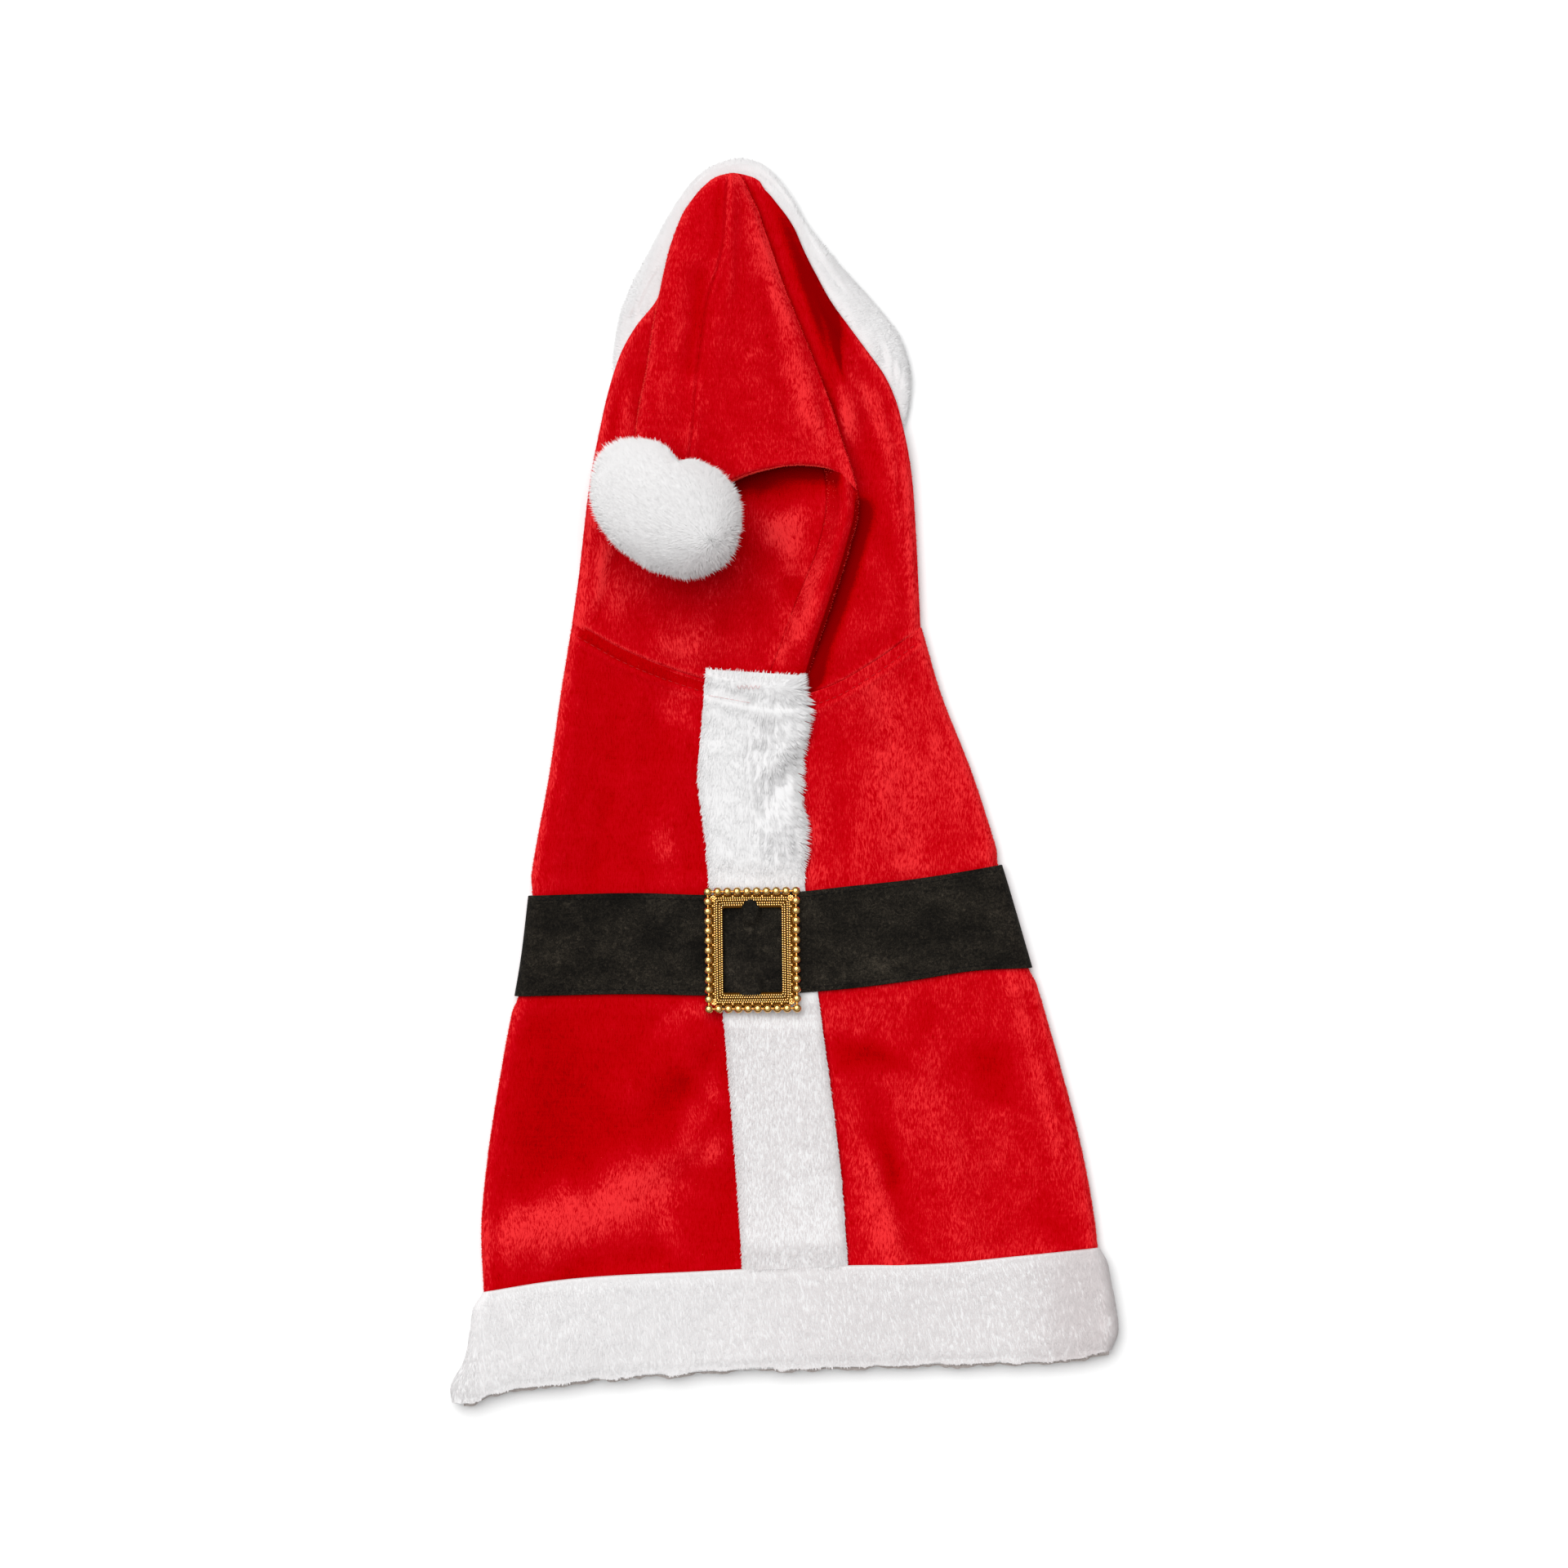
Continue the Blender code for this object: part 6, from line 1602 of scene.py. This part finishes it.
def belt_waves(x, y):
    """Height that the belt adds over the back panel: the strip under it, its own waves, and where it
    bulges up at the two ends of the buckle's window."""
    height = under_belt(x, y) + 0.18 * flat_noise(x, y, 12, 141) + 0.07 * flat_noise(x, y, 4, 142)
    for rise, half_x, middle_y in ((3.3, 4.9, -54.2), (3.0, 6.4, -86.0)):
        height = height + rise * smooth(2.6 - 2.6 * np.hypot((x + 13.9) / half_x, (y - middle_y) / 6.6))
    return height


def make_belt(looks):
    """Felt belt: the back panel's own rows between its two edges, moved out and lifted over the strip, with
    a row of stitches along each edge."""
    felt = looks.felt_thickness / MM
    stages = np.linspace(1, 2, 42)
    outer = back_grid(stages, 150, LAY_GAP + felt, belt_waves)
    inner = back_grid(stages, 150, LAY_GAP, under_belt)
    belt = wall_piece("belt_felt", outer, inner, felt_finish(looks), None, 0.2)
    sheathe(belt, "belt", "felt")
    x = np.arange(-103.0, 92.0, 2.6)
    rows = []
    for edge, inset in ((belt_top_y, -1.9), (belt_bottom_y, 1.9)):
        pair = []
        for place in (x, x + 1.9):
            y = edge(place) + inset
            pair.append(np.stack([place, y, belt_upper(place, y, felt) + 0.02], axis=-1))
        rows.append(pair)
    thread = thread_finish("black thread", (0.006, 0.006, 0.006))
    sheathe(thread_piece("belt_stitches", rows, 0.34, thread), None, "felt")


BEAD_PITCH = 4.06
BEADS_ACROSS = 10
BEADS_ALONG = 13
BEAD_RADIUS = 1.84
WINDOW = (24.4, 35.2)
WINDOW_CORNER = 0.9
PLATE_THICK = 1.5
FELT_THICK = 1.5
STUD_RADIUS = 0.44
# Rows of small studs: how far in from the beads, how far apart, and how high over the plate
STUD_ROWS = [(5.62, 0.98, 0.3), (4.74, 0.98, 0.4), (3.6, 0.96, 0.4), (2.74, 0.96, 0.3)]


def buckle_level():
    """Height of the buckle's underside: just clear of the belt where it crosses the centre strip."""
    return FLAT_LEVEL + LAY_GAP + STRIP_PRESSED + LAY_GAP + FELT_THICK + LAY_GAP


def on_buckle(points):
    """From the buckle's own middle to its place on the belt, turned a little."""
    c, s = math.cos(BUCKLE_TURN), math.sin(BUCKLE_TURN)
    x, y = points[..., 0], points[..., 1]
    return np.stack([BUCKLE_AT[0] + x * c - y * s, BUCKLE_AT[1] + x * s + y * c, points[..., 2]], axis=-1)


def rectangle_path(half_x, half_y, radius, step):
    """Places and outward headings evenly round a rectangle with round corners, anticlockwise."""
    turn = np.linspace(0, math.pi / 2, 9)
    corners = []
    for quarter, (sx, sy) in enumerate(((1, 1), (-1, 1), (-1, -1), (1, -1))):
        a = turn + quarter * math.pi / 2
        x = sx * (half_x - radius) + radius * np.cos(a)
        y = sy * (half_y - radius) + radius * np.sin(a)
        corners.append(np.stack([x, y], axis=-1))
    line = np.concatenate(corners + [corners[0][:1]])
    run = np.concatenate([[0], np.cumsum(np.hypot(*np.diff(line, axis=0).T))])
    count = int(round(run[-1] / step))
    places = np.linspace(0, run[-1], count, endpoint=False)
    spot = np.stack([np.interp(places, run, line[:, n]) for n in range(2)], axis=-1)
    ahead = np.stack([np.interp((places + 0.05) % run[-1], run, line[:, n]) for n in range(2)], axis=-1)
    heading = unit(ahead - spot)
    return spot, np.stack([heading[:, 1], -heading[:, 0]], axis=-1)


def frame_rail(half_x, half_y, radius, profile, step=0.5):
    """A profile of (out, height) points carried round a rectangle with round corners, as points and
    quads."""
    spot, out = rectangle_path(half_x, half_y, radius, step)
    profile = np.asarray(profile, float)
    xy = spot[:, None, :] + out[:, None, :] * profile[None, :, :1]
    z = np.broadcast_to(profile[None, :, 1:], xy.shape[:2] + (1,))
    grid = np.concatenate([xy, z], axis=-1)
    return grid.reshape(-1, 3), grid_quads(*grid.shape[:2], True, True).tolist()


def balls(centres, radius, rows, columns, squash=1.0):
    """A ball at each centre, squashed in height, as points and faces."""
    ball, quads, caps = round_ball(rows - 1, columns)
    points = centres[:, None, :] + (ball * (1, 1, squash))[None] * radius
    first = np.arange(len(centres))[:, None, None] * len(ball)
    faces = (first + quads[None]).reshape(-1, 4).tolist() + (first + caps[None]).reshape(-1, 3).tolist()
    return points.reshape(-1, 3), faces


def joined(parts):
    """Several lots of points and faces as one."""
    points, faces, start = [], [], 0
    for some_points, some_faces in parts:
        points.append(some_points)
        faces += [[start + corner for corner in face] for face in some_faces]
        start += len(some_points)
    return np.concatenate(points), faces


def make_buckle(looks):
    """Cast buckle: a flat frame, a row of round beads along its edge, rows of small studs inside it, and a
    rail round the window with star studs at its corners."""
    foot = buckle_level()
    gold = gold_finish("gold plating", looks.gold_colour, 0.13)
    # Painted shade: the plate and the window rail get a dim gold that stands in for the shade in the recesses
    # round the beads and studs.
    painted_shade_gold = np.array(looks.gold_colour) * (0.1, 0.07, 0.05)
    shadowed = gold_finish("gold plating in the recesses", painted_shade_gold, 0.5, 0.0)
    half_x, half_y = WINDOW[0] / 2, WINDOW[1] / 2
    bead_x, bead_y = BEAD_PITCH * (BEADS_ACROSS - 1) / 2, BEAD_PITCH * (BEADS_ALONG - 1) / 2
    wide = bead_x - half_x
    plate = [(0, 0.25), (0, PLATE_THICK - 0.4), (0.3, PLATE_THICK - 0.1), (wide - 0.4, PLATE_THICK - 0.1),
             (wide, PLATE_THICK - 0.4), (wide, 0.25), (wide - 0.25, 0), (0.25, 0)]
    plate = [(out, foot + height) for out, height in plate]
    points, quads = frame_rail(half_x, half_y, WINDOW_CORNER, plate)
    plate_piece = mesh_piece("buckle_plate", on_buckle(points), quads, shadowed, sharp=35)
    sheathe(plate_piece, "buckle", "buckle_gold")

    across = np.linspace(-bead_x, bead_x, BEADS_ACROSS)
    along = np.linspace(-bead_y, bead_y, BEADS_ALONG)[1:-1]
    centres = [(x, y) for x in across for y in (-bead_y, bead_y)]
    centres += [(x, y) for y in along for x in (-bead_x, bead_x)]
    centres = np.insert(np.array(centres), 2, foot + BEAD_RADIUS, axis=1)
    beads = balls(centres, BEAD_RADIUS, 12, 20, 0.78)
    loop, _ = rectangle_path(bead_x, bead_y, 0.01, BEAD_PITCH / 2)
    between = loop[1::2] if np.abs(loop[0] - centres[:, :2]).sum(axis=1).min() < 0.5 else loop[::2]
    links = balls(np.insert(between, 2, foot + BEAD_RADIUS, axis=1), 0.55, 5, 8)
    points, quads = joined([beads, links])
    sheathe(mesh_piece("buckle_beads", on_buckle(points), quads, gold), None, "buckle_gold")

    top = foot + PLATE_THICK
    rows = []
    for inset, pitch, rise in STUD_ROWS:
        spot, _ = rectangle_path(bead_x - inset, bead_y - inset, WINDOW_CORNER, pitch)
        rows.append(balls(np.insert(spot, 2, top + rise, axis=1), STUD_RADIUS, 4, 8, 0.42))
    spot, _ = rectangle_path(bead_x - 2.0, bead_y - 2.0, 0.3, BEAD_PITCH)
    rows.append(balls(np.insert(spot, 2, top + 0.1, axis=1), 0.78, 3, 4, 0.34))
    corner = np.array([(sx * (half_x + 3.9), sy * (half_y + 3.9)) for sx in (-1, 1) for sy in (-1, 1)])
    rays = np.radians(np.arange(0, 360, 45))
    star = np.stack([np.cos(rays), np.sin(rays)], axis=-1) * 0.95
    star_spots = (corner[:, None] + np.concatenate([star, [[0, 0]]])[None]).reshape(-1, 2)
    rows.append(balls(np.insert(star_spots, 2, top + 0.15, axis=1), 0.52, 5, 8, 0.4))
    points, quads = joined(rows)
    sheathe(mesh_piece("buckle_studs", on_buckle(points), quads, gold), None, "buckle_gold")

    inset, high = 0.12, 0.1
    bar = [(inset - 0.15, top - 0.3), (inset - 0.15, top + high - 0.1), (inset, top + high),
           (inset + 0.15, top + high - 0.1), (inset + 0.15, top - 0.3)]
    points, quads = frame_rail(half_x, half_y, WINDOW_CORNER, bar)
    sheathe(mesh_piece("buckle_rails", on_buckle(points), quads, shadowed, sharp=35), None, "buckle_gold")


# Sewing


def make_sewing():
    """Rows of stitches: along the seam allowance under the neck seam and round the leg openings."""
    red = thread_finish("red thread", (0.56, 0.02, 0.025))
    x = np.concatenate([np.arange(-86.0, -33.5, 2.7), [np.nan], np.arange(9.0, 55.5, 2.7)])
    y = neck_y(x) - 4.9
    rows = [stitch_row(x, y, back_height(x, y) + 0.05, 0.72)]
    sheathe(thread_piece("neck_stitches", rows, 0.24, red), None, "velour")
    turn = np.linspace(0, 2 * math.pi, 61)
    rows = []
    for side in (-1, 1):
        x = LEG_CENTRE_X + side * LEG_APART / 2 + (LEG_HALF[0] + 3.6) * np.cos(turn)
        y = LEG_Y + (LEG_HALF[1] + 3.6) * np.sin(turn)
        rows.append(stitch_row(x, y, 0 * x + 2.34, 0.7))
    sheathe(thread_piece("leg_stitches", rows, 0.34, red), None, "velour_underside")


# Settings and operators

FLOOR_HALF = 4000.0
FLOOR_BELOW = 0.2

def shared(make, name, looks):
    """The material of that name, made the first time that it is asked for."""
    return bpy.data.materials.get(name) or make(name, looks)


def colour_setting(name, description, default):
    return FloatVectorProperty(
        name=name, description=description, subtype="COLOR", size=3, min=0, max=1, default=default)


def count_setting(name, description, default):
    return IntProperty(name=name, description=description, default=default)


def number_setting(name, description, default, **more):
    return FloatProperty(name=name, description=description, default=default, **more)


class VelourLooks(bpy.types.PropertyGroup):
    # Painted shade: the darkest colour, painted into creases, seams and the shade under overhangs.
    painted_shade_colour: colour_setting("Deep", "Colour down in the creases", (0.2, 0.0, 0.0004))
    low_colour: colour_setting(
        "Pile down", "Colour where the pile lies away from the light", (0.375, 0.0, 0.0008))
    middle_colour: colour_setting("Pile", "Colour of the undisturbed pile", (0.46, 0.001, 0.005))
    brushed_colour: colour_setting("Pile up", "Colour where the pile is brushed up", (0.69, 0.024, 0.027))
    cloth_thickness: number_setting("Cloth", "Thickness of the velour with its pile", 0.0019, unit="LENGTH")

    panel_fuzz: count_setting("Panel pile", "Fibres at the back panel's edges", 7000)
    hood_fuzz: count_setting("Hood pile", "Fibres at each hood half's edges", 3500)
    crown_fuzz: count_setting("Crown pile", "Fibres at each crown half's edges", 2500)

    def velour_pile(self):
        return shared(pile_finish, "red pile", self)

    def velour(self):
        return shared(velour_finish, "red velour", self)

    def velour_underside(self):
        return shared(velour_finish, "red velour, belly", self)


class FurLooks(bpy.types.PropertyGroup):
    colour: colour_setting("Fur", "Colour of the fur", (0.69, 0.685, 0.687))
    band_hairs: count_setting("Hem hairs", "Hairs on the hem band", 42000)
    strip_hairs: count_setting("Strip hairs", "Hairs on the centre strip", 32000)
    trim_hairs: count_setting("Trim hairs", "Hairs on the hood trim", 22000)
    pompom_hairs: count_setting("Pompom hairs", "Hairs on the pompom", 40000)

    # Painted light: lighter than the rest of the fur, to make up for the shade among the pompom's dense
    # hairs.
    pompom_colour: colour_setting("Pompom", "Colour of the pompom's denser fur", (0.725, 0.718, 0.718))

    def fur_core(self):
        return shared(fur_core_finish, "white fur", self.colour)

    def hair(self):
        return shared(hair_finish, "white hair", self.colour)


class BeltLooks(bpy.types.PropertyGroup):
    colour: colour_setting("Felt", "Colour of the belt's felt", (0.0088, 0.0072, 0.0052))
    felt_thickness: number_setting("Felt", "Thickness of the felt", 0.0015, unit="LENGTH")
    gold_colour: colour_setting("Gold", "Colour of the buckle's plating", (0.82, 0.44, 0.07))


class StageLooks(bpy.types.PropertyGroup):
    floor_colour: colour_setting("Floor", "Colour of the floor", (0.85, 0.85, 0.85))
    lens: number_setting("Lens", "Focal length of the camera, in millimetres", 200.0)
    view_width: number_setting("View", "Width of floor that the camera sees", 0.6528, unit="LENGTH")
    key_strength: number_setting("Key light", "Strength of the soft light at upper left", 3.2)
    key_spread: number_setting(
        "Key spread", "Angle that the soft light fills", math.radians(62), subtype="ANGLE")
    top_strength: number_setting("Top light", "Strength of the broad light overhead", 0.9)
    top_spread: number_setting(
        "Top spread", "Angle that the broad light fills", math.radians(116), subtype="ANGLE")
    fill_strength: number_setting("Fill", "Strength of the light from all round", 0.15)


class COAT_OT_back_panel(bpy.types.Operator):
    """Make the velour back panel."""
    bl_idname = "coat.back_panel"
    bl_label = "Back panel"

    def execute(self, context):
        make_back_panel(context.scene.coat_velour)
        return {"FINISHED"}


class COAT_OT_belly_panel(bpy.types.Operator):
    """Make the belly panel with its two leg openings."""
    bl_idname = "coat.belly_panel"
    bl_label = "Belly panel"

    def execute(self, context):
        make_belly_panel(context.scene.coat_velour)
        return {"FINISHED"}


class COAT_OT_hood(bpy.types.Operator):
    """Make the two halves of the hood."""
    bl_idname = "coat.hood"
    bl_label = "Hood"

    def execute(self, context):
        make_hood(context.scene.coat_velour)
        return {"FINISHED"}


class COAT_OT_crown(bpy.types.Operator):
    """Make the two halves of the folded crown."""
    bl_idname = "coat.crown"
    bl_label = "Crown"

    def execute(self, context):
        make_crown(context.scene.coat_velour)
        return {"FINISHED"}


class COAT_OT_hood_trim(bpy.types.Operator):
    """Make the fur ring round the face opening."""
    bl_idname = "coat.hood_trim"
    bl_label = "Hood trim"

    def execute(self, context):
        make_hood_trim(context.scene.coat_fur)
        return {"FINISHED"}


class COAT_OT_centre_strip(bpy.types.Operator):
    """Make the fur strip down the back."""
    bl_idname = "coat.centre_strip"
    bl_label = "Centre strip"

    def execute(self, context):
        make_centre_strip(context.scene.coat_fur)
        return {"FINISHED"}


class COAT_OT_hem_band(bpy.types.Operator):
    """Make the fur band round the hem and its raw edge."""
    bl_idname = "coat.hem_band"
    bl_label = "Hem band"

    def execute(self, context):
        make_hem_band(context.scene.coat_fur)
        return {"FINISHED"}


class COAT_OT_pompom(bpy.types.Operator):
    """Make the fur pompom."""
    bl_idname = "coat.pompom"
    bl_label = "Pompom"

    def execute(self, context):
        make_pompom(context.scene.coat_fur)
        return {"FINISHED"}


class COAT_OT_belt(bpy.types.Operator):
    """Make the felt belt with its stitching."""
    bl_idname = "coat.belt"
    bl_label = "Belt"

    def execute(self, context):
        make_belt(context.scene.coat_belt)
        return {"FINISHED"}


class COAT_OT_buckle(bpy.types.Operator):
    """Make the beaded buckle."""
    bl_idname = "coat.buckle"
    bl_label = "Buckle"

    def execute(self, context):
        make_buckle(context.scene.coat_belt)
        return {"FINISHED"}


class COAT_OT_sewing(bpy.types.Operator):
    """Make the rows of stitches on the velour."""
    bl_idname = "coat.sewing"
    bl_label = "Sewing"

    def execute(self, context):
        make_sewing()
        return {"FINISHED"}


class COAT_OT_stage(bpy.types.Operator):
    """Make the floor, the lights and the camera straight above."""
    bl_idname = "coat.stage"
    bl_label = "Stage"

    def execute(self, context):
        looks = context.scene.coat_stage
        context.scene.view_settings.view_transform = "Standard"
        made = Finish("white floor", 0.9)
        floor = np.array(looks.floor_colour)
        made.colour(made.noise((30, 30, 30), 2.0), [(0.3, floor * 0.995), (0.7, floor)])
        corners = np.array([(-1, -1, 0), (1, -1, 0), (1, 1, 0), (-1, 1, 0)]) * FLOOR_HALF - UP * FLOOR_BELOW
        mesh_piece("floor", corners, [[0, 1, 2, 3]], made.material)

        camera = bpy.data.cameras.new("camera")
        camera.lens = looks.lens
        distance = looks.view_width / 2 / (camera.sensor_width / 2 / looks.lens)
        eye = placed("camera", camera)
        eye.location = (0.0, -0.00136, distance)
        context.scene.camera = eye

        for name, strength, spread, tilt in (
                ("key", looks.key_strength, looks.key_spread, (-21, -15)),
                ("top", looks.top_strength, looks.top_spread, (-2, -2))):
            sun = bpy.data.lights.new(name, "SUN")
            sun.energy = strength
            sun.angle = spread
            placed(name, sun).rotation_euler = (math.radians(tilt[0]), math.radians(tilt[1]), 0.0)

        world = bpy.data.worlds.new("studio")
        context.scene.world = world
        world.use_nodes = True
        background = world.node_tree.nodes["Background"]
        background.inputs["Color"].default_value = (1.0, 1.0, 1.0, 1.0)
        background.inputs["Strength"].default_value = looks.fill_strength
        return {"FINISHED"}


class COAT_PT_sidebar(bpy.types.Panel):
    """Lists the coat's pieces and the settings of each finish."""
    bl_label = "Plush dog coat"
    bl_idname = "COAT_PT_sidebar"
    bl_space_type = "VIEW_3D"
    bl_region_type = "UI"
    bl_category = "Coat"

    def draw(self, context):
        for group, keys in SETTINGS.items():
            box = self.layout.box()
            for key in keys.__annotations__:
                box.prop(getattr(context.scene, group), key)
        for piece in OPERATORS:
            self.layout.operator(piece.bl_idname)


SETTINGS = {
    "coat_velour": VelourLooks, "coat_fur": FurLooks, "coat_belt": BeltLooks, "coat_stage": StageLooks,
}
OPERATORS = (
    COAT_OT_stage, COAT_OT_back_panel, COAT_OT_belly_panel, COAT_OT_hood, COAT_OT_crown, COAT_OT_hood_trim,
    COAT_OT_centre_strip, COAT_OT_hem_band, COAT_OT_pompom, COAT_OT_belt, COAT_OT_buckle, COAT_OT_sewing,
)


def register():
    for group, looks in SETTINGS.items():
        bpy.utils.register_class(looks)
        setattr(bpy.types.Scene, group, PointerProperty(type=looks))
    for made in (*OPERATORS, COAT_PT_sidebar):
        bpy.utils.register_class(made)


def unregister():
    for made in (COAT_PT_sidebar, *reversed(OPERATORS)):
        bpy.utils.unregister_class(made)
    for group, looks in SETTINGS.items():
        delattr(bpy.types.Scene, group)
        bpy.utils.unregister_class(looks)


def main():
    register()
    for piece in OPERATORS:
        area, name = piece.bl_idname.split(".")
        getattr(getattr(bpy.ops, area), name)()


if __name__ == "__main__":
    main()
